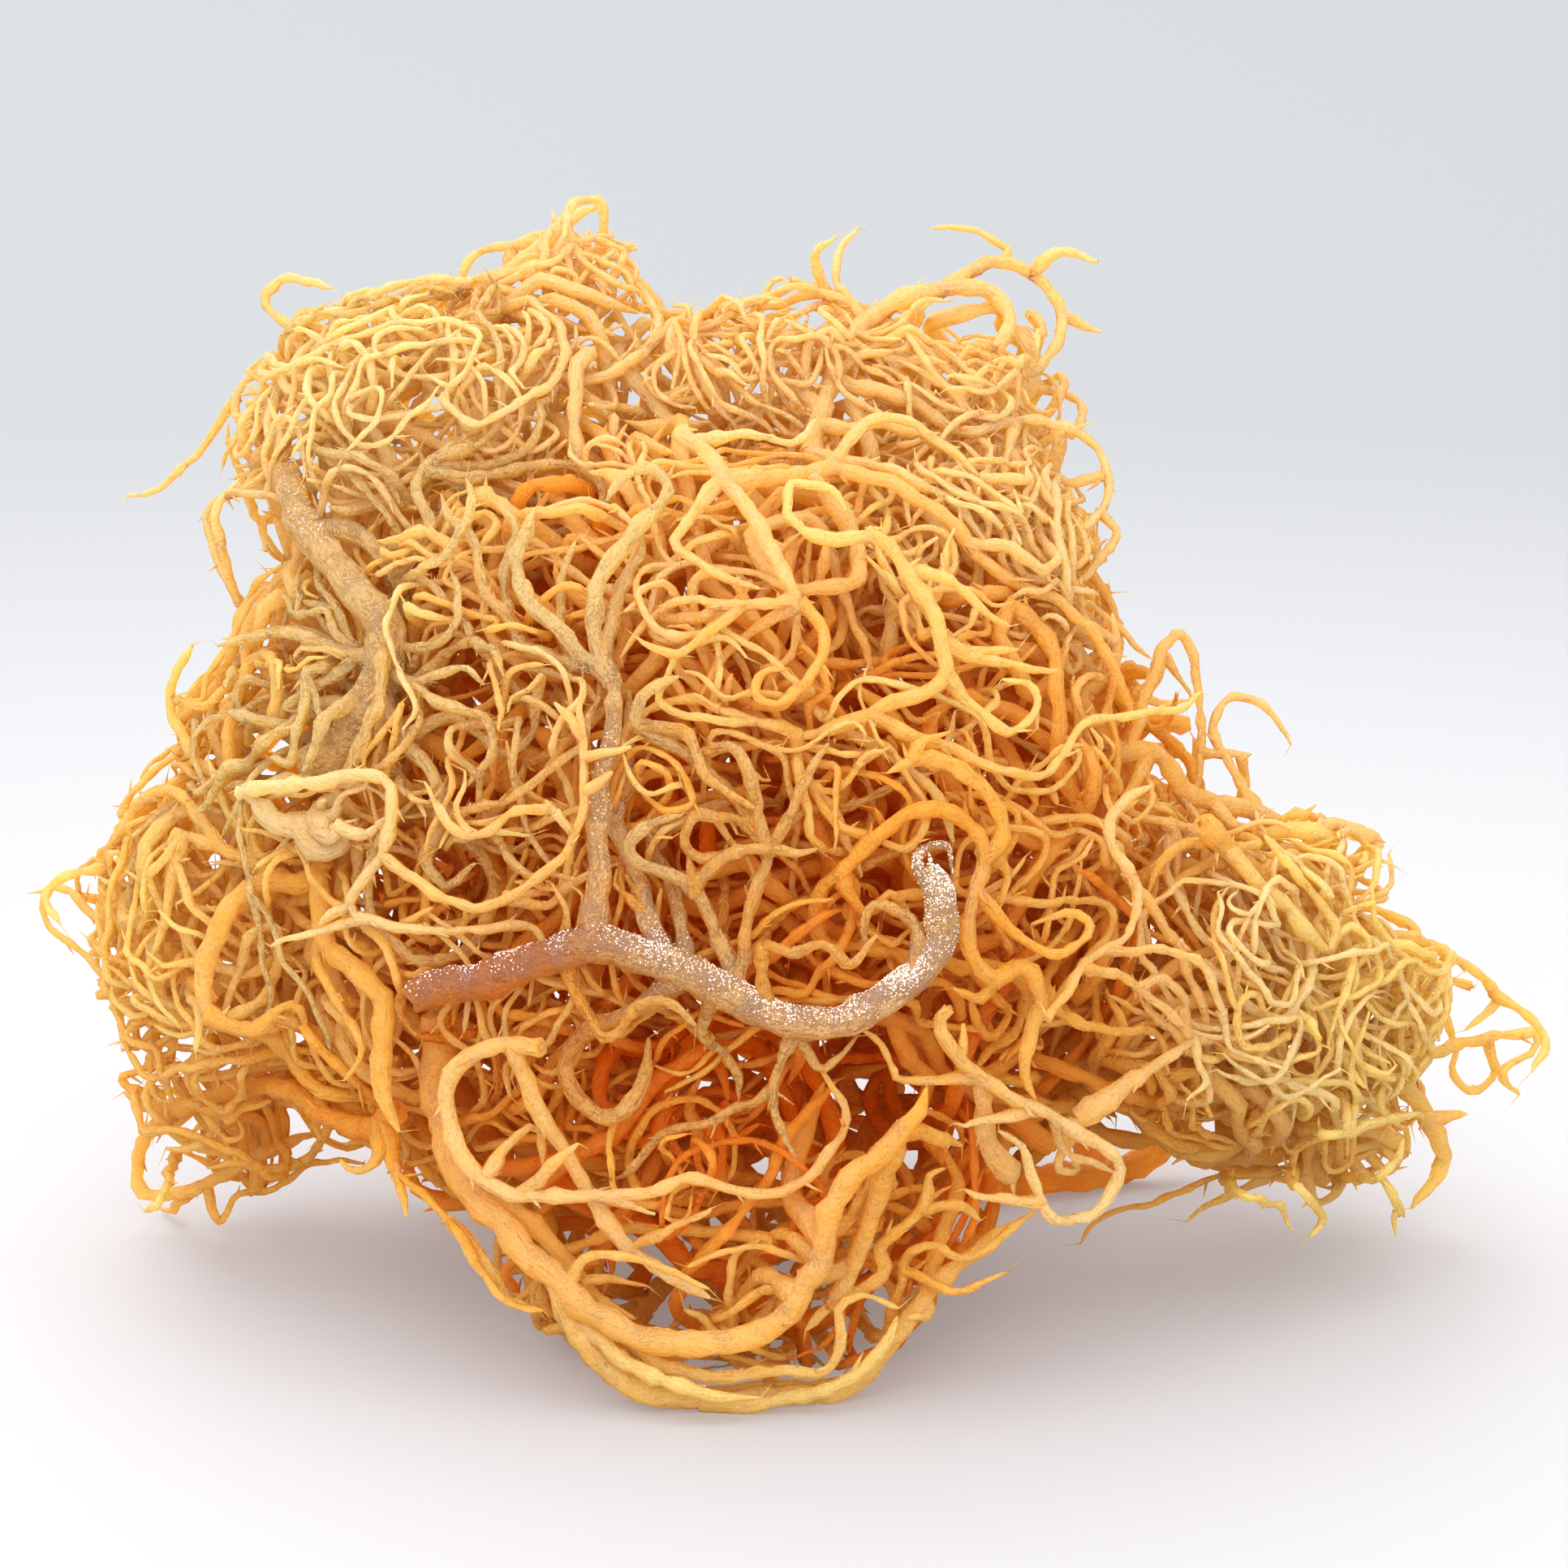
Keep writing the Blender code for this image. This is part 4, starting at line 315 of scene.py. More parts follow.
        (0.7, 0.5, 22, 28, [(43.2, -28.6), (42.8, -32), (43.9, -34.4), (45.6, -33), (46.2, -29.4)]),
        (0.8, 0.5, 22, 24, [(46.8, -28.8), (49, -31.8), (51, -30), (50.8, -27)]),
        (0.7, 0.5, 10, 18, [(47.6, -20.6), (50.8, -19.4), (53.6, -17.8), (55, -20.8)]),
        (0.7, 0.5, 30, 38, [(43, -30.6), (40.4, -32.2), (36.4, -33.6), (33, -36)]),
        (0.45, 0.42, 36, 38, [(41, -32), (36.6, -32), (30.2, -34.2), (26.4, -35.4), (24.5, -37.8)]),
        (0.7, 0.6, 3, 5, [(35.6, -4.4), (39.8, -8.8), (40.2, -13), (41.6, -15.6), (39.8, -19)]),
        (0.8, 0.6, 5, 9, [(38, -6.8), (34.6, -4.9), (31.6, -5.8), (29.9, -9.2)]),
    ],
    "right_upper": [
        (1.0, 0.8, 14, 20, [(26.4, 2.6), (30.6, 2.3), (33, -0.6), (37.4, -1.8),
            (41.6, -3.7), (46.4, -3.6), (48.6, -4.8), (46, -7.6)]),
        (0.75, 0.6, 16, 20, [(28.2, 2.6), (29.6, 7.4), (31.2, 11),
            (32.8, 12.2), (33.8, 8), (34.2, 2), (33.8, -1)]),
        (0.6, 0.45, 20, 20, [(38.8, -2.2), (36.8, 1.2), (35.2, 4.6),
            (36, 6.7), (38.4, 7), (40.4, 5.6), (41.6, 3.2)]),
        (0.6, 0.55, 18, 18, [(34, 2.4), (38.3, 2.4)]),
        (0.6, 0.5, 18, 18, [(30, 9), (31.4, 10.4), (33.4, 7)]),
        (0.8, 0.6, 10, 10, [(27.4, 2.6), (24.6, 6.8), (27.4, 9.6), (26.8, 14)]),
        (0.7, 0.5, 8, 11, [(29.6, 2.4), (28.4, -1.6), (31.6, -3.2), (34.6, -3.6)]),
    ],
    "crown_left": [
        (1.3, 0.8, 10, 20, [(-36, 18), (-36.2, 23.8), (-36.4, 29), (-35.8, 34),
            (-32, 38), (-28.4, 40), (-22, 42.4), (-18, 46), (-15, 47.6)]),
        (0.8, 0.6, 14, 14, [(-36.4, 31), (-39.6, 35.4), (-39, 38.8), (-34.8, 38.6)]),
        (0.8, 0.5, 12, 18, [(-36.6, 31.4), (-41, 34.6), (-44.5, 32.8), (-44.4, 29.4), (-40.6, 28)]),
        (0.5, 0.42, 18, 18, [(-43.6, 31.4), (-47, 28.2), (-51.4, 24.4), (-54, 23.7)]),
        (0.7, 0.5, 14, 18, [(-38.4, 24.6), (-44.5, 24.1), (-47.6, 22.2), (-46.2, 18), (-44.4, 14)]),
        (0.9, 0.6, 10, 16, [(-36.3, 27), (-32, 29.6), (-27.4, 27.4), (-25, 31.4), (-27.8, 35)]),
        (0.8, 0.6, 14, 20, [(-31, 38.4), (-27.2, 36.6),
            (-22.4, 38.4), (-17.6, 37), (-14, 40.4), (-16.2, 43.6)]),
        (0.8, 0.6, 10, 18, [(-28, 27.6), (-22.6, 29), (-19.4, 33),
            (-14, 33.6), (-10.4, 37.6), (-12.4, 41.6)]),
        (0.5, 0.42, 18, 18, [(-12, 35.6), (-8.4, 38.2), (-5, 38.8), (-3.4, 37.8)]),
        (0.8, 0.5, 16, 20, [(-24, 41.6), (-25.6, 37), (-30, 34.2), (-33.2, 36)]),
        (0.7, 0.5, 18, 22, [(-19, 45), (-22.4, 44.6), (-26, 43), (-26.8, 40)]),
    ],
    "crown_right": [
        (1.0, 0.7, 14, 18, [(2, 27), (3.4, 31.6), (5.6, 36.6), (9, 39.7),
            (15.2, 40.9), (18.6, 38.9), (17.6, 35.9), (13.8, 34.8), (9.6, 37.6)]),
        (0.8, 0.5, 16, 18, [(12.6, 40.4), (16.4, 42.8), (20, 42.3),
            (23, 38.6), (21.6, 34.8), (16.6, 32), (11.6, 32.4)]),
        (0.5, 0.42, 18, 18, [(15, 42), (18.4, 43.6), (15.4, 45.4), (12, 45.8)]),
        (0.5, 0.42, 17, 17, [(22.6, 38.4), (26.2, 37.2)]),
        (0.5, 0.42, 17, 17, [(6.8, 38), (4.4, 41), (4.4, 43.2), (6, 45.7)]),
        (0.8, 0.5, 12, 14, [(4.2, 33), (10, 31.6), (15, 29), (20.2, 30.2),
            (24.8, 28.4), (26.8, 24.2), (24.4, 21), (19.4, 20.7)]),
        (0.6, 0.5, 12, 14, [(26, 22.4), (27.3, 19.8), (23.6, 16.2)]),
        (0.7, 0.5, 11, 12, [(19, 29.9), (18.2, 25.6), (19.3, 23.4), (18.6, 20)]),
        (0.7, 0.5, 12, 16, [(3, 30.6), (-0.6, 33.6), (-0.8, 37), (3.6, 40)]),
        (0.8, 0.6, 14, 16, [(5, 35.4), (10.8, 34.8), (14.4, 30.4), (12.4, 27)]),
    ],
    "heart_left": [
        (1.1, 0.9, 15, 22, [(-24, -30), (-28, -20), (-24, -8), (-30, 4), (-24, 16), (-14, 26)]),
        (1.1, 0.8, 12, 18, [(-27.6, -19), (-36, -22), (-42, -14), (-38, -4), (-30, -2)]),
        (1.1, 0.8, 12, 20, [(-24.4, -9), (-16, -10), (-8, -4), (-10, 6), (-18, 8)]),
    ],
    "heart_right": [
        (1.0, 0.9, 17, 23, [(22, -30), (14, -22), (18, -10), (8, 0), (14, 12), (6, 24)]),
        (0.9, 0.7, 13, 17, [(15.4, -20), (24, -24), (32, -26), (38, -22), (40, -12), (34, -6)]),
        (1.1, 0.8, 12, 18, [(12, 8), (20, 6), (26, -2), (24, -12)]),
    ],
    "heart_foot": [
        (1.0, 0.8, 13, 16, [(-20, -32), (-12, -36), (-6, -40),
            (2, -36), (4, -28), (-2, -20), (-10, -22)]),
        (1.0, 0.8, 12, 20, [(-6, -40), (2, -44), (10, -38), (16, -30), (12, -22)]),
    ],
    "back_left": [
        (1.4, 0.9, 60, 50, [(-12, -37), (-25, -31), (-40, -18), (-44, 0), (-34, 14), (-30, 28)]),
        (1.2, 0.8, 66, 60, [(-30, -26), (-24, -12), (-30, 2), (-20, 14), (-8, 10)]),
    ],
    "back_right": [
        (1.4, 0.9, 60, 48, [(13, -37.4), (26, -33.6),
            (37, -22), (38, -8), (26, 4), (22, 18), (12, 26)]),
        (1.2, 0.8, 68, 62, [(24, -28), (18, -14), (24, -2), (12, 6), (2, 0)]),
    ],
    "back_top": [
        (1.3, 0.8, 58, 46, [(6, -8), (-4, 4), (-12, 16), (-8, 26), (-20, 32), (-28, 28)]),
        (1.1, 0.8, 60, 44, [(-5, 5), (6, 14), (14, 22), (8, 32)]),
    ],
}

# Slimmer strands that stand out to the eye but are too fine for the solids, in the same form.
slimRoutes = {
    "right_wing": [
        (0.9, 0.6, 0, 3, [(36.5, -4), (38, -7), (40.5, -9.5), (43, -12), (45, -14)]),
        (0.5, 0.35, 3, 2, [(44.6, -13.6), (45.2, -11.5), (43.5, -9), (41.5, -6.5), (39.5, -4.5)]),
        (0.55, 0.35, 2, 3, [(46.3, -10), (46.5, -14), (46.3, -17.5), (47, -21), (48, -25)]),
        (0.5, 0.35, 2, 3, [(44.2, -15), (44.5, -18.5), (45.5, -21.5)]),
        (0.5, 0.35, 2, 4, [(42.6, -27.5), (44.5, -28.8), (47, -28.6), (49.5, -27.5), (52.3, -27)]),
        (0.45, 0.3, 3, 4, [(46, -32.5), (48.5, -32.3), (50.3, -30.8), (51, -29)]),
        (0.45, 0.3, 3, 4, [(49, -33), (51.3, -35.6), (50.3, -35.2), (50.5, -37)]),
        (0.5, 0.35, 3, 5, [(41, -30), (42, -33), (44.4, -35.4), (43, -37.2)]),
        (0.5, 0.35, 3, 5, [(36, -31), (37.4, -33.8), (40.4, -34.6), (41.6, -36.4)]),
        (0.5, 0.35, 4, 6, [(58, -17), (60.6, -18.6), (62.6, -21), (61.6, -23.6)]),
    ],
    "right_upper": [
        (0.6, 0.4, 2, 4, [(30, -8.5), (31, -6.5), (33, -5.1), (35.5, -5)]),
    ],
    "fork_frond": [
        (0.45, 0.3, 0, 1, [(22.4, -31.4), (24, -32.2), (23.6, -30.6)]),
    ],
    "left_wing": [
        (0.5, 0.35, 3, 5, [(-49, -4), (-50, -7), (-50.8, -11.6), (-51.7, -11.2)]),
        (0.5, 0.35, 3, 4, [(-49.2, -16), (-48, -19), (-48.2, -22)]),
        (0.5, 0.35, 4, 5, [(-48, 2), (-50.4, 5.6), (-50, 9), (-48.4, 11.4)]),
        (0.5, 0.35, 4, 5, [(-55, -7), (-58.6, -7.4), (-60.8, -9.4), (-59.6, -11.4)]),
    ],
    "lower_left": [
        (0.6, 0.4, 3, 3, [(-33, -28), (-33.5, -30.5), (-35.2, -31.8), (-36.5, -30.8)]),
        (0.5, 0.3, 3, 4, [(-50, -31), (-51, -33.6), (-52.5, -35.4)]),
        (0.5, 0.3, 3, 4, [(-28, -35.6), (-26, -37.2), (-24, -39.6), (-23, -42), (-20, -43.2)]),
    ],
    "dusty_stem": [
        (0.5, 0.35, 1, 2, [(10.8, -16), (10.8, -12), (8.2, -10), (6.4, -11), (7, -13.6)]),
        (0.5, 0.35, 3, 3, [(-22.4, 11.8), (-24.4, 15.3), (-25, 18.7), (-26.9, 20.9), (-28.1, 23.7)]),
        (0.5, 0.35, 2, 2, [(-16.7, 8.7), (-18.1, 12), (-18.3, 15.9), (-17.2, 19.8)]),
        (0.6, 0.4, 1, 2, [(-14.4, 10.6), (-13.9, 15.3), (-12.2, 17.6), (-11.7, 20.4)]),
        (0.45, 0.3, 0, 0, [(-12, 4.6), (-7.8, 4.2), (-7.2, 2), (-5.6, -0.2), (-2.2, -1.9)]),
        (0.4, 0.28, -1, -1, [(-6.6, -7.6), (-5, -6.3), (-2.8, -5.2), (0, -5.8), (2.8, -5.2)]),
        (0.5, 0.3, -1, -1, [(-1.4, -18.2), (-1.7, -13.6),
            (0, -14.1), (3.3, -13), (5.6, -14.7), (7.6, -12.6)]),
        (0.45, 0.3, -1, -1, [(-18.4, -15.4), (-14.8, -20.6), (-12.4, -18.4), (-10, -18), (-7.4, -20)]),
    ],
    "foot_loop": [
        (0.9, 0.7, 1, 3, [(-18, -42.6), (-15, -46), (-10, -48.8), (-5, -49.4), (0, -48.8), (4, -47.4)]),
        (0.8, 0.6, 1, 4, [(-14.6, -48), (-8, -50.2), (-3, -50.9), (2, -50.4), (6, -48.6), (8, -45.4)]),
        (0.7, 0.5, 0, 2, [(-7, -51.2), (0, -50.6), (5, -49.2), (8, -46.4), (9.4, -43.6)]),
        (0.7, 0.5, 0, 1, [(-17.4, -44.2), (-13.6, -47), (-10, -49), (-6.4, -50.2), (-2, -50.4)]),
        (0.6, 0.5, 0, 1, [(-18.4, -44), (-15.6, -47.2), (-12.4, -48.6), (-8.6, -50.6)]),
        (0.55, 0.4, 1, 2, [(-2, -51.8), (3.4, -50.4), (7, -48.4), (9, -45.4), (10.4, -41.4)]),
        (0.6, 0.4, 0, 1, [(3.2, -37), (5.4, -35.6), (6.6, -32.8), (9, -31)]),
        (0.6, 0.4, 1, 2, [(2.4, -41), (5.6, -38.6), (6.6, -35.4), (8.6, -33.6), (9, -31.4)]),
        (0.45, 0.3, 3, 3, [(11.2, -41.5), (11.8, -43.7), (10, -43.8)]),
        (0.5, 0.35, 1, 2, [(11.6, -35), (14, -34.5), (16.3, -36)]),
        (0.6, 0.4, 0, 2, [(10.8, -29.5), (12.6, -28.8), (14.6, -29.6)]),
    ],
    "left_dusty_stem": [
        (0.45, 0.3, 1, 2, [(-31.6, 15.6), (-30, 17.6), (-27.8, 18.9), (-25.6, 22.6), (-26.1, 25.3)]),
        (0.5, 0.35, 0, 1, [(-32.6, 11.6), (-30.6, 8.7), (-28.9, 9.8),
            (-26.7, 11.4), (-23.9, 10.9), (-22.8, 8.7)]),
        (0.5, 0.35, 0, 1, [(-32.6, 8.6), (-30, 7.6), (-27.8, 6.4),
            (-25, 5.9), (-23.9, 3.1), (-26.1, -0.2)]),
        (0.45, 0.3, 0, 1, [(-33.4, 5), (-33.3, 3.1), (-31.1, -0.2), (-28.9, -2.4), (-26.1, -5.2)]),
        (0.5, 0.35, 2, 4, [(-33, 9.6), (-35.4, 10.8), (-38, 12), (-42, 12.6), (-44.6, 11)]),
        (0.5, 0.35, 2, 4, [(-34, 7), (-37, 8.8), (-41, 10.4), (-44.6, 10.4), (-46, 7.6)]),
        (0.5, 0.35, 2, 5, [(-35.6, 5), (-40, 6.6), (-43.4, 5.2), (-46.6, 5.6), (-48.6, 4)]),
    ],
    "bright_frond": [
        (0.95, 0.8, -1, 0, [(-39.6, -3.6), (-38.6, -5.2), (-36.6, -5.2), (-35.4, -3.4)]),
        (0.8, 0.8, -1, 0, [(-39, -3.4), (-37.6, -1.6), (-35.8, -2), (-35.2, -3.6)]),
        (0.7, 0.6, -2, -1, [(-38.6, -3.6), (-37, -4.4), (-36.2, -2.8)]),
        (0.45, 0.3, -1, -1, [(-18.9, -1.9), (-22.2, -2.4), (-25, -4.1), (-27.8, -3), (-29.4, -0.2)]),
    ],
    "elbow_frond": [
        (0.5, 0.35, 2, 3, [(9.4, 17), (12.2, 13.1), (15.6, 10.9), (19.4, 10.9)]),
    ],
    "heart_foot": [
        (0.7, 0.5, 8, 10, [(-8.6, -21), (-6.5, -22), (-5, -24), (-4.6, -26.3)]),
        (0.6, 0.45, 8, 10, [(-6.2, -28.8), (-4, -28.9), (-2, -27.6)]),
        (0.8, 0.6, 9, 10, [(-13.6, -21.6), (-15.4, -25),
            (-13.6, -28), (-10.6, -29), (-9.4, -25), (-8.2, -21)]),
    ],
    "crown_left": [
        (0.45, 0.3, 8, 8, [(-44, 15), (-46.4, 19), (-46.8, 22), (-44.8, 25)]),
        (0.45, 0.3, 10, 10, [(-14, 44), (-15, 47.4), (-17.6, 47.6), (-18, 45)]),
        (0.45, 0.3, 10, 10, [(-40, 36), (-42.6, 39.4), (-40.4, 41.6), (-37, 41)]),
    ],
    "crown_right": [
        (0.55, 0.4, 3, 5, [(3.3, 26.4), (8.3, 25.9), (12.8, 23.7), (16.7, 19.8)]),
        (0.5, 0.35, 4, 6, [(4.4, 28.7), (10, 29.2), (14.4, 27), (17.2, 23.7), (19.4, 19.8)]),
        (0.45, 0.3, 9, 9, [(4, 40), (2.6, 43.4), (4.2, 45)]),
        (0.45, 0.3, 9, 9, [(20, 41), (22.6, 43.6), (25.6, 43)]),
    ],
}

# Regions that side branches may fill: centre and half sizes across, up and in depth, in mm.
lobeSizes = {
    "core": (-8, -4, 4, 43, 36, 39),
    "top_left": (-27, 27, 8, 19, 15, 22),
    "tuft": (-17, 38, 9, 8, 8, 10),
    "top_right": (12, 30, 9, 13, 11, 18),
    "right_upper": (14, 14, 4, 14, 17, 26),
    "left_wing": (-45, -12, 10, 12, 17, 22),
    "right_wing": (36, -16, 7, 19, 15, 26),
    "foot": (-4, -33, -12, 22, 17, 20),
    "lower_left": (-42, -27, 16, 12, 7, 12),
    "lower_right": (42, -26, 16, 11, 8, 12),
    "back": (-4, 2, 26, 38, 30, 18),
    "saddle": (-2, 33, 4, 12, 8.5, 14),
}

# Side branches of each thallus: grown length and thickest radius in mm, and the lobes they may fill.
growth = {
    "foot_loop": (90, 0.8, ("foot",)),
    "arc_frond": (60, 0.8, ("core",)),
    "elbow_frond": (60, 0.8, ("right_upper", "core")),
    "centre_frond": (90, 0.8, ("core", "right_upper", "top_left", "saddle")),
    "left_dusty_stem": (130, 0.8, ("core", "top_left")),
    "left_wing": (170, 0.84, ("left_wing", "core")),
    "lower_left": (80, 0.84, ("lower_left", "left_wing")),
    "right_wing": (190, 0.84, ("right_wing", "lower_right")),
    "right_upper": (60, 0.8, ("right_wing", "right_upper")),
    "crown_left": (230, 0.84, ("top_left", "tuft", "saddle")),
    "crown_right": (170, 0.84, ("top_right", "right_upper", "saddle")),
    "heart_left": (250, 1.0, ("core", "left_wing")),
    "heart_right": (250, 1.0, ("core", "right_wing", "right_upper")),
    "heart_foot": (100, 1.0, ("foot", "core")),
    "back_left": (400, 1.1, ("back", "left_wing", "lower_left", "core")),
    "back_right": (400, 1.1, ("back", "right_wing", "lower_right", "core")),
    "back_top": (320, 1.1, ("back", "top_left", "top_right")),
}

# Twigs drift away from here as they grow, so a frond's twigs fan outwards.
heart = (-4.0, 2.0, 30.0)

# Twigs of each thallus: total length in mm deep inside, close behind the clump's front, all through
# it and as spurs, and the lobes they may fill.
twigGrowth = {
    "dusty_stem": (0, 120, 0, 60, ("core",)),
    "bright_frond": (0, 60, 0, 70, ("core",)),
    "hooked_strand": (0, 0, 0, 40, ("core",)),
    "right_sprig": (0, 80, 0, 50, ("right_wing",)),
    "fork_frond": (0, 120, 0, 50, ("right_wing", "lower_right")),
    "foot_loop": (100, 450, 150, 120, ("foot",)),
    "arc_frond": (0, 850, 0, 150, ("core", "right_upper")),
    "elbow_frond": (0, 850, 0, 150, ("right_upper", "core")),
    "centre_frond": (0, 1300, 0, 180, ("core", "right_upper", "top_left", "saddle")),
    "left_dusty_stem": (0, 1100, 0, 150, ("core", "top_left", "left_wing")),
    "left_wing": (700, 2000, 300, 320, ("left_wing", "core")),
    "lower_left": (400, 800, 300, 160, ("lower_left", "left_wing")),
    "right_wing": (1500, 1500, 500, 320, ("right_wing", "lower_right")),
    "right_upper": (300, 1100, 100, 200, ("right_wing", "right_upper")),
    "crown_left": (500, 2200, 1000, 340, ("top_left", "tuft", "saddle")),
    "crown_right": (500, 1900, 900, 340, ("top_right", "right_upper", "saddle")),
    "heart_left": (2800, 1200, 500, 80, ("core", "left_wing")),
    "heart_right": (2800, 1200, 500, 80, ("core", "right_wing", "right_upper")),
    "heart_foot": (600, 300, 200, 60, ("foot", "core")),
    "back_left": (1500, 0, 1500, 100, ("back", "left_wing", "lower_left", "core")),
    "back_right": (1900, 0, 1500, 100, ("back", "right_wing", "lower_right", "core")),
    "back_top": (1400, 0, 1400, 100, ("back", "top_left", "top_right")),
}

# Thalli whose twigs are finer than the rest's, and by how much.
slenderness = {
    "crown_left": 0.75, "crown_right": 0.75, "right_wing": 0.75, "right_upper": 0.75, "left_wing": 0.85,
    "lower_left": 0.85, "foot_loop": 0.85, "right_sprig": 0.8, "fork_frond": 0.8,
}

# The clump's outline in the photo's view, across and up, and the open places that twigs keep out of.
outline = [
    (-48, 22), (-45, 30), (-44, 34), (-39, 39.5), (-33, 38), (-27, 42), (-22, 43), (-18, 47), (-14, 47),
    (-12, 43), (-9, 40), (-7, 37), (-2, 38), (4, 41), (8, 40), (14, 42), (20, 43), (23, 39), (23, 36),
    (18, 32.5), (23, 30), (26, 27), (27, 21), (25, 17), (26.5, 10), (29, 6), (31, 11.5), (33, 12),
    (34, 6), (37.5, 7), (41, 4), (39.5, -2), (48, -3), (48.5, -6), (46, -9), (49, -13), (55, -14),
    (58, -18), (61.6, -21.5), (60, -25), (56, -27.5), (54, -31.5), (51, -36), (45, -34), (40, -33.5),
    (33.5, -35.5), (27, -34), (21.5, -34), (20, -37), (15, -41), (10, -46), (5, -50), (-4, -52.5),
    (-11, -51.5), (-18, -46), (-23, -41), (-28, -36), (-33, -31.5), (-38, -30), (-46, -35.5),
    (-51, -35.5), (-53, -32), (-52.5, -27.5), (-54.5, -25), (-49, -22.5), (-54, -21), (-55, -15),
    (-60.4, -9.6), (-59, -8), (-56, -6), (-54, -2), (-51, 0.5), (-48.5, 7), (-44.5, 12.5), (-46, 16),
]
openPlaces = [
    (-30, 31, 2.0, 1.8), (15.5, 37.5, 5.5, 3.0), (33, 3, 4, 5), (-17.6, -37.4, 2.0, 3.0),
    (-11, -38, 3.4, 3.0), (-10, -41.6, 5.0, 1.4),
]

# Hollows in the clump's front, kept clear of twigs so that the strands behind them lie deep and take
# painted shade as deep orange caves: middle, half width and height, and depth.
hollows = [
    (5.5, 13.5, 3.6, 5, 10), (-26.5, 8, 2.6, 3, 8), (-26, -7.5, 3.4, 2.6, 9), (5.5, -25, 4.6, 5.4, 17),
    (-7.5, -10.5, 2.2, 3, 8), (-11.5, 10, 1.8, 3.4, 7), (-14.6, 19, 1.8, 4, 7), (-22, -11.6, 4, 1.6, 8),
    (0.5, -26, 2, 3, 10), (-3, 23, 3, 2.4, 6), (9, -9.6, 2.6, 2.6, 8), (1.5, -7, 2.6, 2, 7),
    (-33, -9.4, 2, 2, 7), (20, 3.6, 3, 1.4, 6), (-37, -5, 2, 1.6, 6), (32, -10.5, 3.6, 2.6, 7),
    (23.6, -5, 1.8, 3, 6), (-14.6, -24, 2.6, 3, 8), (-3.6, -35.6, 4, 2.4, 9), (14.6, -27, 1.8, 2.6, 8),
    (-38, -22, 3, 2.4, 6), (-24, 0.4, 1.6, 2, 6), (2.6, 33.6, 2.4, 1.6, 6), (16.4, -17.6, 1.8, 2.4, 6),
    (-44.6, -17, 2, 3, 6), (-20.6, 4, 1.4, 3, 7), (15, 15.6, 2, 2.6, 6), (24, -16, 2, 2, 6),
]


def hollowDepth(across, up):
    for middleAcross, middleUp, halfWidth, halfHeight, depth in hollows:
        if ((across - middleAcross) / halfWidth) ** 2 + ((up - middleUp) / halfHeight) ** 2 < 1:
            return depth
    return front["noHollow"]


def inOutline(across, up):
    for middleAcross, middleUp, halfWidth, halfHeight in openPlaces:
        if ((across - middleAcross) / halfWidth) ** 2 + ((up - middleUp) / halfHeight) ** 2 < 1:
            return False
    within = False
    for (x0, y0), (x1, y1) in zip(outline, outline[1:] + outline[:1]):
        if (y0 > up) != (y1 > up) and across < x0 + (up - y0) * (x1 - x0) / (y1 - y0):
            within = not within
    return within


def minus(a, b):
    return (a[0] - b[0], a[1] - b[1], a[2] - b[2])


def dot(a, b):
    return a[0] * b[0] + a[1] * b[1] + a[2] * b[2]


def cross(a, b):
    return (a[1] * b[2] - a[2] * b[1], a[2] * b[0] - a[0] * b[2], a[0] * b[1] - a[1] * b[0])


def along(a, b, share):
    return (a[0] + (b[0] - a[0]) * share, a[1] + (b[1] - a[1]) * share, a[2] + (b[2] - a[2]) * share)


def further(a, course, distance):
    return (a[0] + course[0] * distance, a[1] + course[1] * distance, a[2] + course[2] * distance)


def length(a):
    return math.sqrt(dot(a, a))


def unit(a):
    size = max(length(a), tiny)
    return (a[0] / size, a[1] / size, a[2] / size)


def squaredTo(a, course):
    # The part of a that is square to the course, at length one.
    return unit(further(a, course, -dot(a, course)))


def turned(a, axis, angle):
    lift = dot(axis, a) * (1 - math.cos(angle))
    side = cross(axis, a)
    return tuple(a[k] * math.cos(angle) + side[k] * math.sin(angle) + axis[k] * lift for k in range(3))


def rounded(a):
    return (round(a[0], 3), round(a[1], 3), round(a[2], 3))


def clamp(value):
    return min(1.0, max(0.0, value))


def between(a, b, c, d):
    # Least distance between the segments ab and cd.
    u = minus(b, a)
    v = minus(d, c)
    w = minus(a, c)
    uu = max(dot(u, u), tiny)
    vv = max(dot(v, v), tiny)
    vw = dot(v, w)
    uw = dot(u, w)
    uv = dot(u, v)
    spread = uu * vv - uv * uv
    s = clamp((uv * vw - uw * vv) / spread) if spread > tiny else 0.0
    t = (uv * s + vw) / vv
    if t < 0.0:
        t = 0.0
        s = clamp(-uw / uu)
    elif t > 1.0:
        t = 1.0
        s = clamp((uv - uw) / uu)
    return length(minus(along(a, b, s), along(c, d, t)))


def frontDepth(across, up):
    halfHeight = front["halfTop"] if up > front["up"] else front["halfBottom"]
    side = (across - front["across"]) / front["halfWidth"]
    height = (up - front["up"]) / halfHeight
    return front["depth"] + front["rise"] * (side * side + height * height)


def place(reading):
    # From across, up and depth in the front view to the clump's own space.
    across, up, depth = reading
    scale = (photoView["distance"] + depth) / photoView["distance"]
    rise = up * scale
    y = rise * math.sin(photoView["down"]) + depth * math.cos(photoView["down"])
    z = photoView["height"] + rise * math.cos(photoView["down"]) - depth * math.sin(photoView["down"])
    return rounded((across * scale, y, z))


def seen(point):
    # The other way round: from the clump's own space to across, up and depth.
    x, y, z = point
    depth = y * math.cos(photoView["down"]) - (z - photoView["height"]) * math.sin(photoView["down"])
    rise = y * math.sin(photoView["down"]) + (z - photoView["height"]) * math.cos(photoView["down"])
    scale = (photoView["distance"] + depth) / photoView["distance"]
    return (x / scale, rise / scale, depth)


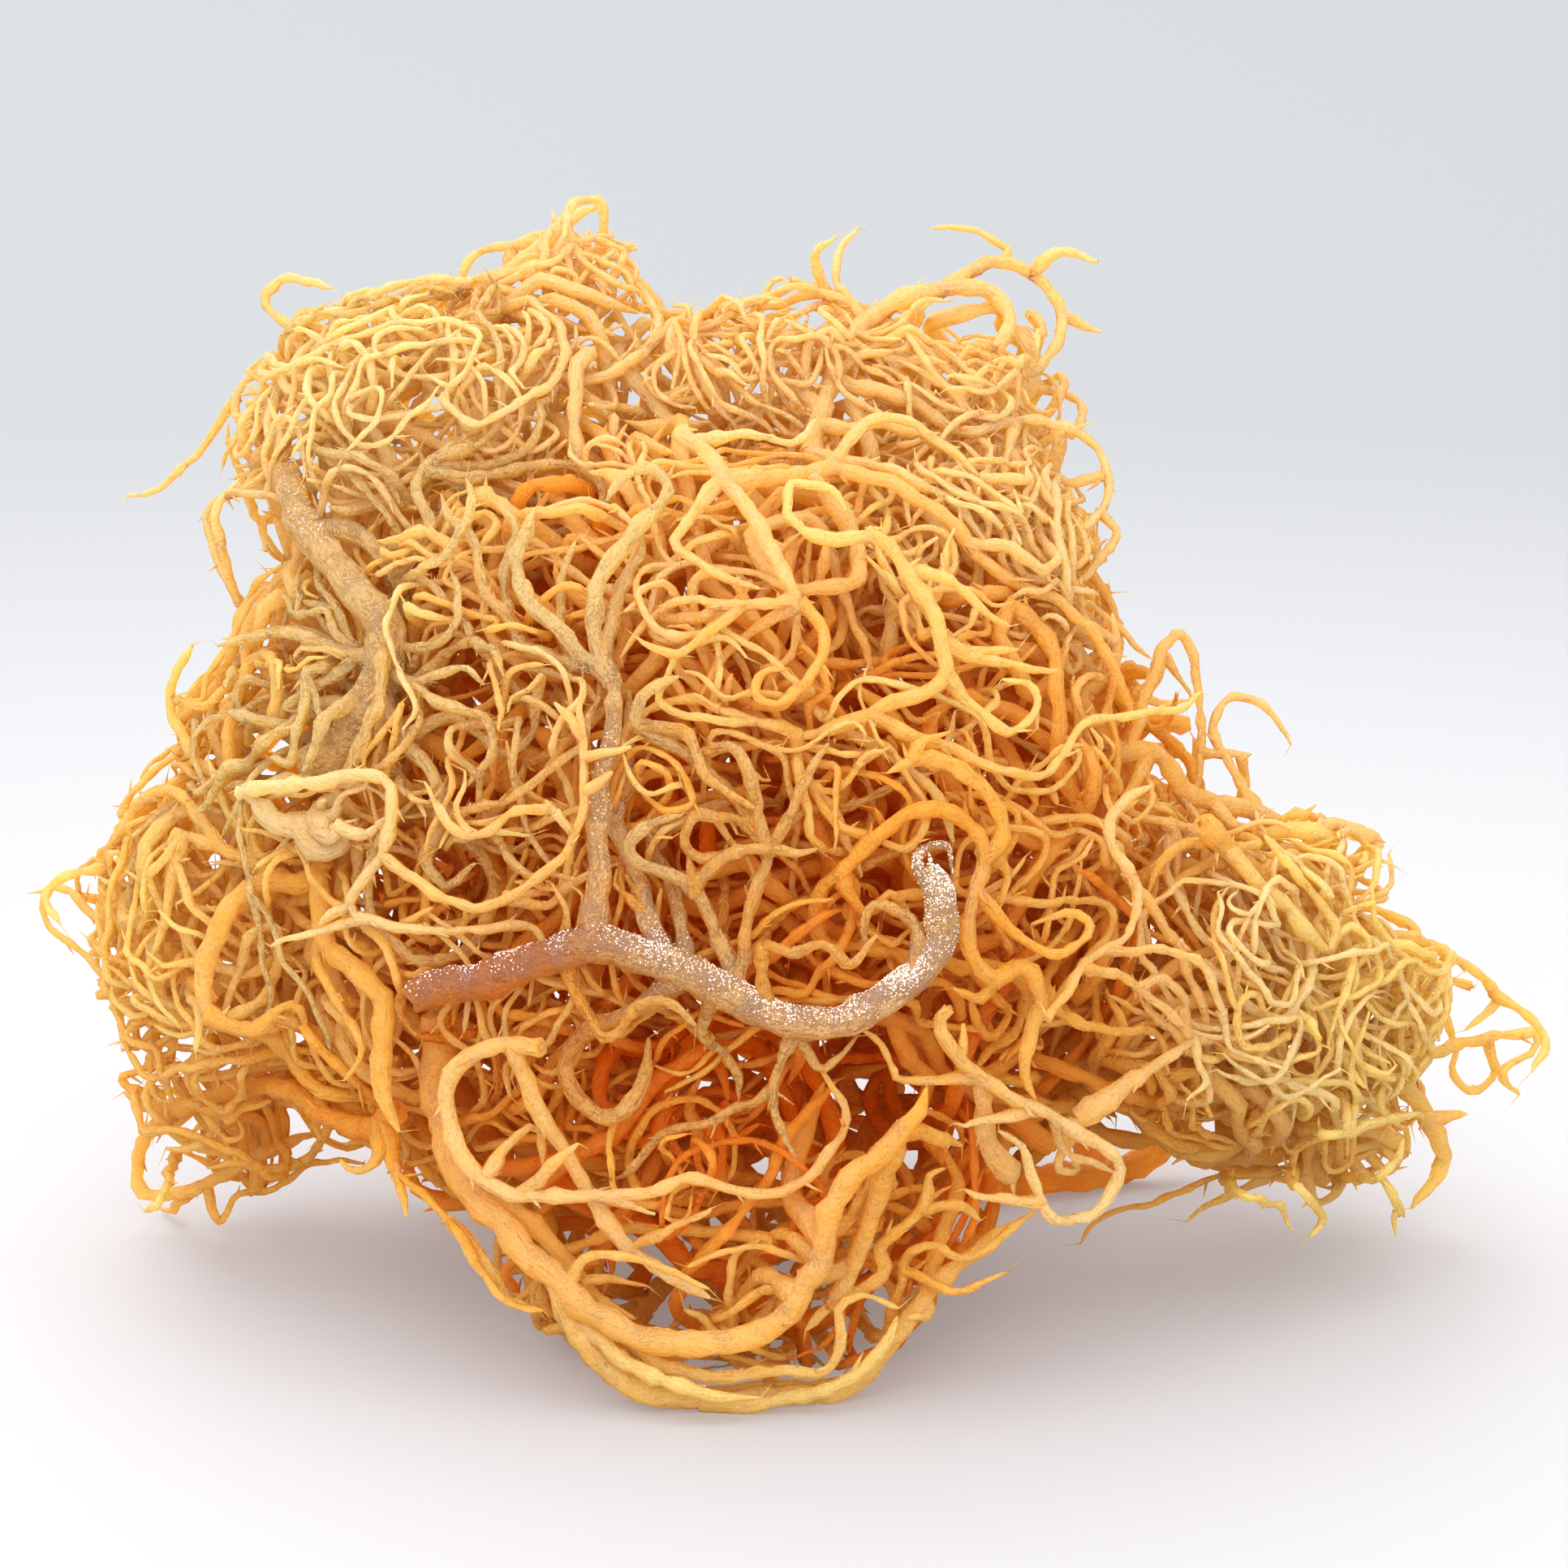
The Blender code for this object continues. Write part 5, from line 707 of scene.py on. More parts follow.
def setDown(point, thick):
    # Nothing sinks further into the surface than its flat spot needs.
    return (point[0], point[1], max(point[2], round(thick - strandRule["floorSink"], 3)))


def extended(points):
    # The points, with one more straight on past either end.
    return [along(points[1], points[0], 2.0), *points, along(points[-2], points[-1], 2.0)]


def curved(p0, p1, p2, p3, t):
    # The smooth curve's point at the share t from p1 to p2.
    return tuple(
        0.5 * (2 * p1[k] + (p2[k] - p0[k]) * t
               + (2 * p0[k] - 5 * p1[k] + 4 * p2[k] - p3[k]) * t * t
               + (3 * p1[k] - p0[k] - 3 * p2[k] + p3[k]) * t * t * t)
        for k in range(3))


def smooth(points):
    # A smooth curve through the points.
    ends = extended(points)
    curve = [points[0]]
    for i in range(len(points) - 1):
        near = ends[i:i + 4]
        count = max(2, int(length(minus(near[2], near[1])) / routeRule["curveStep"]))
        curve += [curved(*near, j / count) for j in range(1, count + 1)]
    return curve


def thinned(curve):
    # The fewest of the curve's points that keep its form.
    kept = [curve[0]]
    start = 0
    for end in range(1, len(curve) - 1):
        run = minus(curve[end + 1], curve[start])
        chord = unit(run)
        error = max(length(cross(minus(spot, curve[start]), chord)) for spot in curve[start + 1:end + 1])
        if error > routeRule["chordError"] or length(run) > routeRule["longestChord"]:
            kept.append(curve[end])
            start = end
    kept.append(curve[-1])
    return kept


class Strand:
    # One unforked run of a thallus: its centreline, its radius at each point and how far it reaches.
    def __init__(self, thallus, points, radii, reach, rootRadius, views=(), kind="laid"):
        self.thallus = thallus
        self.points = points
        self.radii = radii
        self.reach = reach
        self.rootRadius = rootRadius
        self.views = views
        self.kind = kind

    def thick(self, i):
        return self.reach * max(self.radii[i], self.radii[i + 1])

    def radiusAt(self, i, share):
        return self.radii[i] + (self.radii[i + 1] - self.radii[i]) * share


def reachOf(rootRadius):
    # The solids are faceted, and a thin strand's corners stand out most.
    return next(reach for least, reach in strandRule["reaches"] if rootRadius >= least)


def forkZone(parentRadius, radius):
    return routeRule["forkShare"] * (parentRadius + radius) + routeRule["forkExtra"]


class Tangle:
    # All the strands laid so far, with their runs sorted into cubes of space.
    def __init__(self, cell, clearance):
        self.strands = []
        self.cells = {}
        self.cell = cell
        self.clearance = clearance

    def cellsRound(self, a, b, reach):
        lows = [math.floor((min(a[k], b[k]) - reach) / self.cell) for k in range(3)]
        highs = [math.floor((max(a[k], b[k]) + reach) / self.cell) for k in range(3)]
        for i in range(lows[0], highs[0] + 1):
            for j in range(lows[1], highs[1] + 1):
                for k in range(lows[2], highs[2] + 1):
                    yield (i, j, k)

    def add(self, strand):
        self.strands.append(strand)
        for i, (a, b) in enumerate(zip(strand.points, strand.points[1:])):
            run = (a, b, strand.thick(i), strand.thallus)
            for cell in self.cellsRound(a, b, run[2]):
                self.cells.setdefault(cell, []).append(run)

    def runsNear(self, a, b, reach):
        found = {}
        for cell in self.cellsRound(a, b, reach):
            for run in self.cells.get(cell, ()):
                found[id(run)] = run
        return found.values()

    def blocked(self, a, b, thick, thallus, root, fork):
        # A strand may touch only its own thallus, and only round its root.
        atRoot = root is not None and min(length(minus(a, root)), length(minus(b, root))) < fork
        for c, d, other, owner in self.runsNear(a, b, thick + self.clearance):
            if owner == thallus and atRoot:
                continue
            if between(a, b, c, d) < thick + other + self.clearance:
                return True
        return False

    def crowd(self, point, reach):
        return len(self.runsNear(point, point, reach))


def meetsItself(points, radii, reach, i):
    # Whether run i touches an earlier stretch of its own strand.
    thick = reach * max(radii[i], radii[i + 1])
    distance = 0.0
    for j in range(i - 1, -1, -1):
        both = thick + reach * max(radii[j], radii[j + 1])
        gap = between(points[i], points[i + 1], points[j], points[j + 1])
        if distance > routeRule["loopShare"] * both and gap < both + strandRule["clearance"]:
            return True
        distance += length(minus(points[j + 1], points[j]))
    return False


def nearestRoot(tangle, thallus, across, up):
    # The place on the thallus's strands that the front view shows nearest, and the radius there.
    best = None
    for strand in tangle.strands:
        if strand.thallus != thallus:
            continue
        for i, (a, b) in enumerate(zip(strand.views, strand.views[1:])):
            run = (b[0] - a[0], b[1] - a[1])
            size = max(run[0] * run[0] + run[1] * run[1], tiny)
            share = clamp(((across - a[0]) * run[0] + (up - a[1]) * run[1]) / size)
            spot = along(a, b, share)
            gap = math.hypot(spot[0] - across, spot[1] - up)
            if best is None or gap < best[0]:
                best = (gap, spot, strand.radiusAt(i, share))
    return best


def joinedTo(views, root):
    # Leads a route out of its root, whose own depth fades along it.
    gap, spot = root[:2]
    shift = spot[2] - views[0][2]
    views = [spot] + (views if gap > routeRule["rootReach"] else views[1:])
    distance = 0.0
    for i in range(1, len(views)):
        distance += length(minus(views[i], views[i - 1]))
        fade = max(0.0, 1.0 - distance / routeRule["rootFade"])
        views[i] = (views[i][0], views[i][1], views[i][2] + shift * fade)
    return views


def cleared(tangle, thallus, views, radii, root, fork, direction):
    # Moves a route back, or forward, out of what it crosses. The points so far and what still meets.
    reach = reachOf(radii[0])
    trial = [list(view) for view in views]
    runs = range(len(views) - 1)
    for _ in range(routeRule["pushRounds"]):
        points = [setDown(place(view), radius * reach) for view, radius in zip(trial, radii)]
        meeting = [i for i in runs if meetsItself(points, radii, reach, i) or tangle.blocked(
            points[i], points[i + 1], reach * max(radii[i], radii[i + 1]), thallus, root, fork)]
        if not meeting:
            break
        for i in meeting:
            for offset, share in routeRule["pushShares"]:
                spot = i + offset
                if spot < len(trial) and (spot > 0 or (spot == 0 and root is None)):
                    trial[spot][2] += routeRule["push"] * share * direction
    return trial, points, meeting


def lay(tangle, thallus, route, kind="laid"):
    first, last, nearLayer, farLayer, spots = route
    views = []
    for i, (across, up) in enumerate(spots):
        layer = nearLayer + (farLayer - nearLayer) * i / (len(spots) - 1)
        views.append((across, up, frontDepth(across, up) + layer))
    found = nearestRoot(tangle, thallus, *spots[0])
    root = None
    rootRadius = None
    fork = 0.0
    if found:
        views = joinedTo(views, found)
        root = place(found[1])
        rootRadius = found[2]
        first = min(first, found[2])
        fork = forkZone(found[2], first)
    views = thinned(smooth(views))
    steps = len(views) - 1
    radii = [max(strandRule["thinnest"], first + (last - first) * i / steps) for i in range(steps + 1)]
    for direction in (1, -1):
        trial, points, meeting = cleared(tangle, thallus, views, radii, root, fork, direction)
        if not meeting:
            break
    if meeting:
        # What still can't pass ends short.
        kept = meeting[0] + 1
        if kept < 2:
            return
        trial = trial[:kept]
        points = points[:kept]
        radii = radii[:kept]
    tangle.add(Strand(thallus, points, radii, reachOf(radii[0]), rootRadius, trial, kind))


def inside(point, lobes, habit):
    view = seen(point)
    layers = habit["layers"]
    if layers:
        layer = view[2] - frontDepth(view[0], view[1])
        wave = habit["ragged"] * mathutils.noise.noise([front["raggedScale"] * value for value in view])
        least = max(layers[0] + max(0.0, wave), hollowDepth(view[0], view[1]))
        overhang = habit["overhang"] + wave
        inner = 1.0 - overhang / max(math.hypot(view[0], view[1]), front["leastMiddle"])
        if not (least < layer < layers[1] and inOutline(inner * view[0], inner * view[1])):
            return False
    for name in lobes:
        lobe = lobeSizes[name]
        if sum(((view[k] - lobe[k]) / lobe[k + 3]) ** 2 for k in range(3)) <= 1.0:
            return True
    return False


def randomCourse(draw):
    lift = draw.uniform(-1, 1)
    angle = draw.uniform(0, 2 * math.pi)
    flat = math.sqrt(1 - lift * lift)
    return (flat * math.cos(angle), flat * math.sin(angle), lift)


def sprout(tangle, thallus, lobes, draw, habit):
    # The least crowded of a few places on the thallus, the course out of it and the radius there.
    own = [strand for strand in tangle.strands if strand.thallus == thallus]
    best = None
    for _ in range(habit["sproutTries"]):
        strand = own[draw.randrange(len(own))]
        i = draw.randrange(len(strand.points) - 1)
        share = draw.uniform(strandRule["sproutFrom"], strandRule["sproutTo"])
        root = rounded(along(strand.points[i], strand.points[i + 1], share))
        lean = unit(minus(strand.points[i + 1], strand.points[i]))
        course = unit(further(randomCourse(draw), lean, habit["sproutLean"]))
        ahead = further(root, course, habit["sproutLook"])
        crowd = tangle.crowd(ahead, habit["crowdReach"])
        if inside(ahead, lobes, habit) and (best is None or crowd < best[0]):
            best = (crowd, root, course, strand.radiusAt(i, share))
    return best


def nextPoint(tangle, thallus, lobes, draw, habit, points, radii, reach, course, step, root, fork):
    # The next point of a branch, straight ahead or past what is in the way. None where nothing is free.
    thick = reach * max(radii[-1], radii[-2])
    spin = draw.uniform(0, 2 * math.pi)
    side = squaredTo(strandRule["sideways"], course)
    for tilt, turns in habit["detours"]:
        for j in range(turns):
            axis = turned(side, course, spin + 2 * math.pi * j / turns)
            end = rounded(further(points[-1], turned(course, axis, tilt), step))
            end = setDown(end, radii[-1] * reach)
            free = inside(end, lobes, habit) and not tangle.blocked(
                points[-1], end, thick, thallus, root, fork)
            if free and not meetsItself(points + [end], radii, reach, len(points) - 1):
                return end
    return None


def grow(tangle, thallus, thickest, lobes, draw, habit):
    # Adds one curling, tapering side branch and gives its length, or nothing if it has no room.
    size = draw.uniform(habit["shortest"], habit["longest"])
    radius = draw.uniform(strandRule["slimmestShare"], 1.0) * thickest
    found = sprout(tangle, thallus, lobes, draw, habit)
    if found is None:
        return 0.0
    root, course, parentRadius = found[1:]
    first = max(habit["thinnest"], min(radius, strandRule["parentShare"] * parentRadius))
    reach = habit["reach"] or reachOf(first)
    fork = forkZone(parentRadius, first)
    points = [root]
    radii = [first]
    axis = squaredTo(randomCourse(draw), course)
    bend = draw.uniform(habit["leastBend"], habit["mostBend"]) * draw.choice((1, -1))
    step = habit["step"] + parentRadius
    distance = 0.0
    while distance < size:
        change = draw.uniform(-habit["bendChange"], habit["bendChange"])
        bend = max(-habit["bendLimit"], min(habit["bendLimit"], bend + change))
        axis = turned(squaredTo(axis, course), course, draw.uniform(-habit["twist"], habit["twist"]))
        course = turned(course, axis, bend * habit["step"])
        if habit["drift"]:
            course = unit(further(course, unit(minus(points[-1], heart)), habit["drift"]))
        taper = 1 - habit["taper"] * min(1.0, (distance + habit["step"]) / size)
        radii.append(max(habit["thinnest"], first * taper))
        end = nextPoint(tangle, thallus, lobes, draw, habit, points, radii, reach, course, step, root, fork)
        if end is None:
            radii.pop()
            break
        course = unit(minus(end, points[-1]))
        points.append(end)
        distance += step
        step = habit["step"]
    if len(points) < 3:
        return 0.0
    tangle.add(Strand(thallus, points, radii, reach, parentRadius, kind=habit["kind"]))
    return distance


def growAll(tangle, wanted, habit):
    draw = random.Random(habit["seed"])
    left = {thallus: wanted[thallus][0] for thallus in wanted}
    tries = 0
    while max(left.values()) > 0 and tries < habit["mostTries"]:
        for thallus, (_, thickest, lobes) in wanted.items():
            if left[thallus] > 0:
                tries += 1
                left[thallus] -= grow(tangle, thallus, thickest, lobes, draw, habit) or habit["failedTry"]
    return tries


def frameTangle():
    # The solids' main strands, and side branches grown by their rule, some of which take other ways.
    tangle = Tangle(branchHabit["cell"], branchHabit["clearance"])
    for thallus, routes in thalli.items():
        for route in routes:
            lay(tangle, thallus, route)
    growAll(tangle, growth, branchHabit)
    return tangle


def twiggedTangle(solids):
    # The solids' strands, now round, with fine twigs grown in the room between them.
    tangle = Tangle(twigHabit["cell"], twigHabit["clearance"])
    for strand in solids.strands:
        tangle.add(Strand(strand.thallus, strand.points, strand.radii, 1.0, strand.rootRadius,
                          strand.views, strand.kind))
    for thallus, routes in slimRoutes.items():
        for route in routes:
            lay(tangle, thallus, route, "slim")
    print("slim routes laid:", len(tangle.strands) - len(solids.strands))
    for k, habit in enumerate((coreHabit, twigHabit, innerHabit, spurHabit)):
        wanted = {name: (row[k], habit["thickest"] * (slenderness.get(name, 1.0) if k else 1.0), row[4])
                  for name, row in twigGrowth.items()}
        tries = growAll(tangle, wanted, habit)
        print(habit["kind"], "tries:", tries, "strands:", len(tangle.strands))
    return tangle


def clumpMiddle(tangle):
    # The middle of the clump's box across and in depth, where the part has its origin.
    middle = []
    for k in (0, 1):
        sizes = [(point[k], strand.reach * radius) for strand in tangle.strands
                 for point, radius in zip(strand.points, strand.radii)]
        middle.append((min(at - out for at, out in sizes) + max(at + out for at, out in sizes)) / 2)
    return middle


# The skin of a strand, in mm: how often it gets a ring, how its ends and forks are shaped, how it
# wrinkles, and its nubs. A nub is turned about these axes, by least and most angle.
strandSkin = {
    "ringShare": 0.5, "ringLeast": 0.46, "ringMost": 0.95, "hiddenRings": {"core": 1.9, "inner": 1.1},
    "stoutRadius": 0.85, "dustySides": 16, "stoutSides": 9, "slimSides": 5,
    "tipRun": 2.2, "tipRadius": 0.11, "bluntRadius": 1.2, "cutRun": 0.7, "flareRun": 2.8, "slimmest": 0.68,
    "wander": 1.3, "wanderScale": 250.0, "crinkle": 1.5, "crinkleScale": 750.0, "crinkleRadius": 0.6,
    "slimFrom": 0.6, "slimRun": 0.7, "cutEnd": 0.55, "cutRise": 0.45, "tipWidths": 2.5, "tipPower": 0.6,
    "flareParent": 0.88, "flareOwn": 1.9, "flarePower": 1.5,
    "wrinkle": 0.85, "wrinkleStretch": (1.5, 1.5, 0.7), "grainShift": (1.0, 0.7, 0.4),
    "nubSpacing": 5.5, "nubLeast": 0.7, "nubMost": 2.2, "nubWidth": 0.55, "nubTop": 0.12, "nubSweep": 0.9,
    "nubTurns": (((0, 0, 1), 0.0, 2 * math.pi, 3), ((1, 0, 0), 0.6, 1.25, 4)), "nubSizeSeed": 5,
    "lying": {1: -0.7, 2: 0.5, 3: 0.35, 4: 1.1}, "underFloor": (-10.0, -10.0, 0.0),
}

# How pale each thallus's strands and its twigs are, from 0, deep orange, to 1, pale yellow, and how
# much salt lies on its strands.
paleness = {
    "dusty_stem": (1.1, 0.95, 0.6), "left_dusty_stem": (0.9, 0.95, 0.3), "foot_loop": (0.75, 0.85, 0.22),
    "bright_frond": (0.95, 1.0, 0.05), "hooked_strand": (0.85, 0.9, 0.08),
    "right_sprig": (0.85, 0.95, 0.1), "fork_frond": (0.8, 0.95, 0.12), "arc_frond": (0.75, 0.9, 0.15),
    "elbow_frond": (1.1, 1.25, 0.15), "centre_frond": (0.7, 0.8, 0.12), "left_wing": (0.5, 0.65, 0.1),
    "lower_left": (0.45, 0.6, 0.08), "right_wing": (0.85, 0.85, 0.1), "right_upper": (1.0, 1.2, 0.1),
    "crown_left": (0.95, 1.0, 0.1), "crown_right": (0.95, 1.0, 0.1), "heart_left": (0.7, 0.8, 0.1),
    "heart_right": (0.85, 0.9, 0.1), "heart_foot": (0.2, 0.3, 0.1), "back_left": (0.5, 0.65, 0.1),
    "back_right": (0.55, 0.7, 0.1), "back_top": (0.8, 0.9, 0.1),
}
# How a ring's tone is made from its thallus, its place and its size; the drop inside the clump is painted
# shade.
toneRule = {
    "ownShare": 0.5, "heart": (-2.0, -14.0), "spread": (54.0, 52.0), "outLift": 0.68, "strandSpread": 0.16,
    "tipLift": 0.12, "stoutDrop": 0.15, "insideShadeDrop": 0.65, "inwardFrom": 1.5, "inwardRun": 11.0,
    "middle": (-2.0, 0.0, 4.0), "halves": (60.0, 47.0, 40.0), "rim": 1.3, "rimInward": 0.38,
    "outPower": 1.5, "stoutFrom": 0.6, "shades": {"dusty_stem": [(-27, -16.5, 14, 0.45)]}, "shadeEdge": 1.3,
    "twigDust": 0.3, "dustLeast": 0.2, "dustGain": 0.8, "dustFrom": 0.5, "dustRun": 0.6, "dustSpots": 2.0,
    "dustBehind": 10.0, "dustFade": 20.0,
}

# Where salt has gathered in the photo's view: across, up, reach and how much more.
saltSpots = [
    (12.6, -9, 7, 1.2), (9, -16.5, 6, 0.7), (-1, -18, 6, 0.1), (-14.6, 0, 9, 0.35), (-10, -12, 6, 0.15),
    (-40, 22, 8, 0.4), (-34, 16, 7, 0.2), (10, 9, 3, 0.3), (3.5, -38, 9, 0.15), (-25, -16, 9, 0.05),
    (7, 33, 5, 0.4), (-37, 8, 6, 0.3),
]


def node(tree, kind, links=None, **settings):
    # One node, its settings, and its inputs as values or as other nodes' outputs.
    made = tree.nodes.new(kind)
    for name, value in settings.items():
        setattr(made, name, value)
    for key, value in (links or {}).items():
        if isinstance(value, bpy.types.NodeSocket):
            tree.links.new(value, made.inputs[key])
        else:
            made.inputs[key].default_value = value
    return made


def maths(tree, operation, *values):
    return node(tree, "ShaderNodeMath", dict(enumerate(values)), operation=operation).outputs[0]


def vectorMaths(tree, operation, *values):
    return node(tree, "ShaderNodeVectorMath", dict(enumerate(values)), operation=operation).outputs[0]


def scaled(tree, vector, size):
    return node(tree, "ShaderNodeVectorMath", {0: vector, "Scale": size}, operation="SCALE").outputs[0]


def attribute(tree, name, kind="FLOAT"):
    made = node(tree, "GeometryNodeInputNamedAttribute", {"Name": name}, data_type=kind)
    return made.outputs["Attribute"]


def position(tree):
    return tree.nodes.new("GeometryNodeInputPosition").outputs[0]


def facingUp(tree):
    normal = tree.nodes.new("GeometryNodeInputNormal").outputs[0]
    return node(tree, "ShaderNodeSeparateXYZ", {0: normal}).outputs["Z"]


def chance(tree, low, high, seed):
    return node(tree, "FunctionNodeRandomValue", {
        2: low, 3: high, "Seed": seed}, data_type="FLOAT").outputs[1]


def ranged(tree, value, low, high, **settings):
    # The value from 0 at low to 1 at high.
    return node(tree, "ShaderNodeMapRange", {0: value, 1: low, 2: high}, **settings).outputs[0]


def moved(tree, geometry, offset):
    return node(tree, "GeometryNodeSetPosition", {"Geometry": geometry, "Offset": offset}).outputs[0]


def captured(tree, geometry, name, value):
    # The geometry with a value that it carries along.
    made = node(tree, "GeometryNodeCaptureAttribute", {"Geometry": geometry})
    made.capture_items.new("FLOAT", name)
    tree.links.new(value, made.inputs[name])
    return made.outputs


def stored(tree, geometry, name, value, kind="FLOAT"):
    return node(tree, "GeometryNodeStoreNamedAttribute", {
        "Geometry": geometry, "Name": name, "Value": value}, data_type=kind, domain="POINT").outputs[0]


def joined(tree, parts):
    whole = tree.nodes.new("GeometryNodeJoinGeometry")
    for part in parts:
        tree.links.new(part, whole.inputs[0])
    return whole.outputs[0]


def realized(tree, geometry):
    return node(tree, "GeometryNodeRealizeInstances", {0: geometry}).outputs[0]


def coated(tree, geometry, material, out):
    # The tree's result: real geometry in its material.
    result = node(tree, "GeometryNodeSetMaterial", {
        "Geometry": realized(tree, geometry), "Material": material}).outputs[0]
    tree.links.new(result, out["Geometry"])
    return tree


def noise(tree, vector, size, detail=1.0, output="Fac"):
    made = node(tree, "ShaderNodeTexNoise", {"Vector": vector, "Scale": size, "Detail": detail})
    return made.outputs[output]


def newTree(name, sockets):
    # A tree with named inputs. Its input and output sockets come back with it.
    tree = bpy.data.node_groups.new(name, "GeometryNodeTree")
    tree.interface.new_socket("Geometry", in_out="OUTPUT", socket_type="NodeSocketGeometry")
    tree.interface.new_socket("Geometry", in_out="INPUT", socket_type="NodeSocketGeometry")
    for label, kind in sockets:
        tree.interface.new_socket(label, in_out="INPUT", socket_type="NodeSocket" + kind)
    return tree, tree.nodes.new("NodeGroupInput").outputs, tree.nodes.new("NodeGroupOutput").inputs


def skinTube(tree, curve, sides, entry):
    # A round skin on the curves, with a grain that runs along them stored for the material.
    circle = node(tree, "GeometryNodeCurvePrimitiveCircle", {"Resolution": sides, "Radius": 1.0})
    parameter = tree.nodes.new("GeometryNodeSplineParameter").outputs
    turn = captured(tree, circle.outputs["Curve"], "Turn", parameter["Factor"])
    run = captured(tree, curve, "Run", parameter["Length"])
    thick = attribute(tree, "thick")
    knots = maths(tree, "SUBTRACT", noise(tree, position(tree), entry["Crinkle Scale"], 2.0), 0.5)
    slim = maths(tree, "MINIMUM", maths(tree, "DIVIDE", strandSkin["crinkleRadius"] * mm, thick), 1.0)
    knots = maths(tree, "MULTIPLY", knots, slim)
    width = maths(tree, "MULTIPLY", thick, maths(tree, "MULTIPLY_ADD", knots, entry["Crinkle"], 1.0))
    skin = node(tree, "GeometryNodeCurveToMesh", {
        "Curve": run["Geometry"], "Profile Curve": turn["Geometry"], "Scale": width,
        "Fill Caps": True}).outputs["Mesh"]
    angle = maths(tree, "MULTIPLY", turn["Turn"], 2 * math.pi)
    thickness = maths(tree, "DIVIDE", attribute(tree, "thick"), mm)
    grain = node(tree, "ShaderNodeCombineXYZ", {
        "X": maths(tree, "MULTIPLY", maths(tree, "COSINE", angle), thickness),
        "Y": maths(tree, "MULTIPLY", maths(tree, "SINE", angle), thickness),
        "Z": maths(tree, "DIVIDE", run["Run"], mm)}).outputs[0]
    shift = scaled(tree, strandSkin["grainShift"], attribute(tree, "strandSeed"))
    return stored(tree, skin, "grain", vectorMaths(tree, "ADD", grain, shift), "FLOAT_VECTOR")


def nubs(tree, curve, entry):
    # Small pointed spurs that lean forward along the strands.
    cone = node(tree, "GeometryNodeMeshCone", {
        "Vertices": 5, "Side Segments": 2, "Radius Top": strandSkin["nubTop"], "Radius Bottom": 1.0,
        "Depth": 1.0}).outputs["Mesh"]
    height = node(tree, "ShaderNodeSeparateXYZ", {0: position(tree)}).outputs["Z"]
    sweep = maths(tree, "MULTIPLY", maths(tree, "POWER", height, 2.0), strandSkin["nubSweep"])
    cone = moved(tree, cone, node(tree, "ShaderNodeCombineXYZ", {"Y": sweep}).outputs[0])
    points = node(tree, "GeometryNodeCurveToPoints", {
        "Curve": curve, "Length": entry["Nub Spacing"]}, mode="LENGTH").outputs
    turn = points["Rotation"]
    for axis, least, most, seed in strandSkin["nubTurns"]:
        step = node(tree, "FunctionNodeAxisAngleToRotation", {
            "Axis": axis, "Angle": chance(tree, least, most, seed)}).outputs[0]
        turn = node(tree, "FunctionNodeRotateRotation", {
            "Rotation": turn, "Rotate By": step}, rotation_space="LOCAL").outputs[0]
    width = maths(tree, "MULTIPLY", attribute(tree, "thick"), entry["Nub Width"])
    reach = chance(tree, entry["Nub Least"], entry["Nub Most"], strandSkin["nubSizeSeed"])
    size = node(tree, "ShaderNodeCombineXYZ", {"X": width, "Y": width, "Z": reach}).outputs[0]
    spurs = node(tree, "GeometryNodeInstanceOnPoints", {
        "Points": points["Points"], "Instance": cone, "Rotation": turn, "Scale": size}).outputs[0]
    grain = scaled(tree, position(tree), 1 / mm)
    return stored(tree, realized(tree, spurs), "grain", grain, "FLOAT_VECTOR")


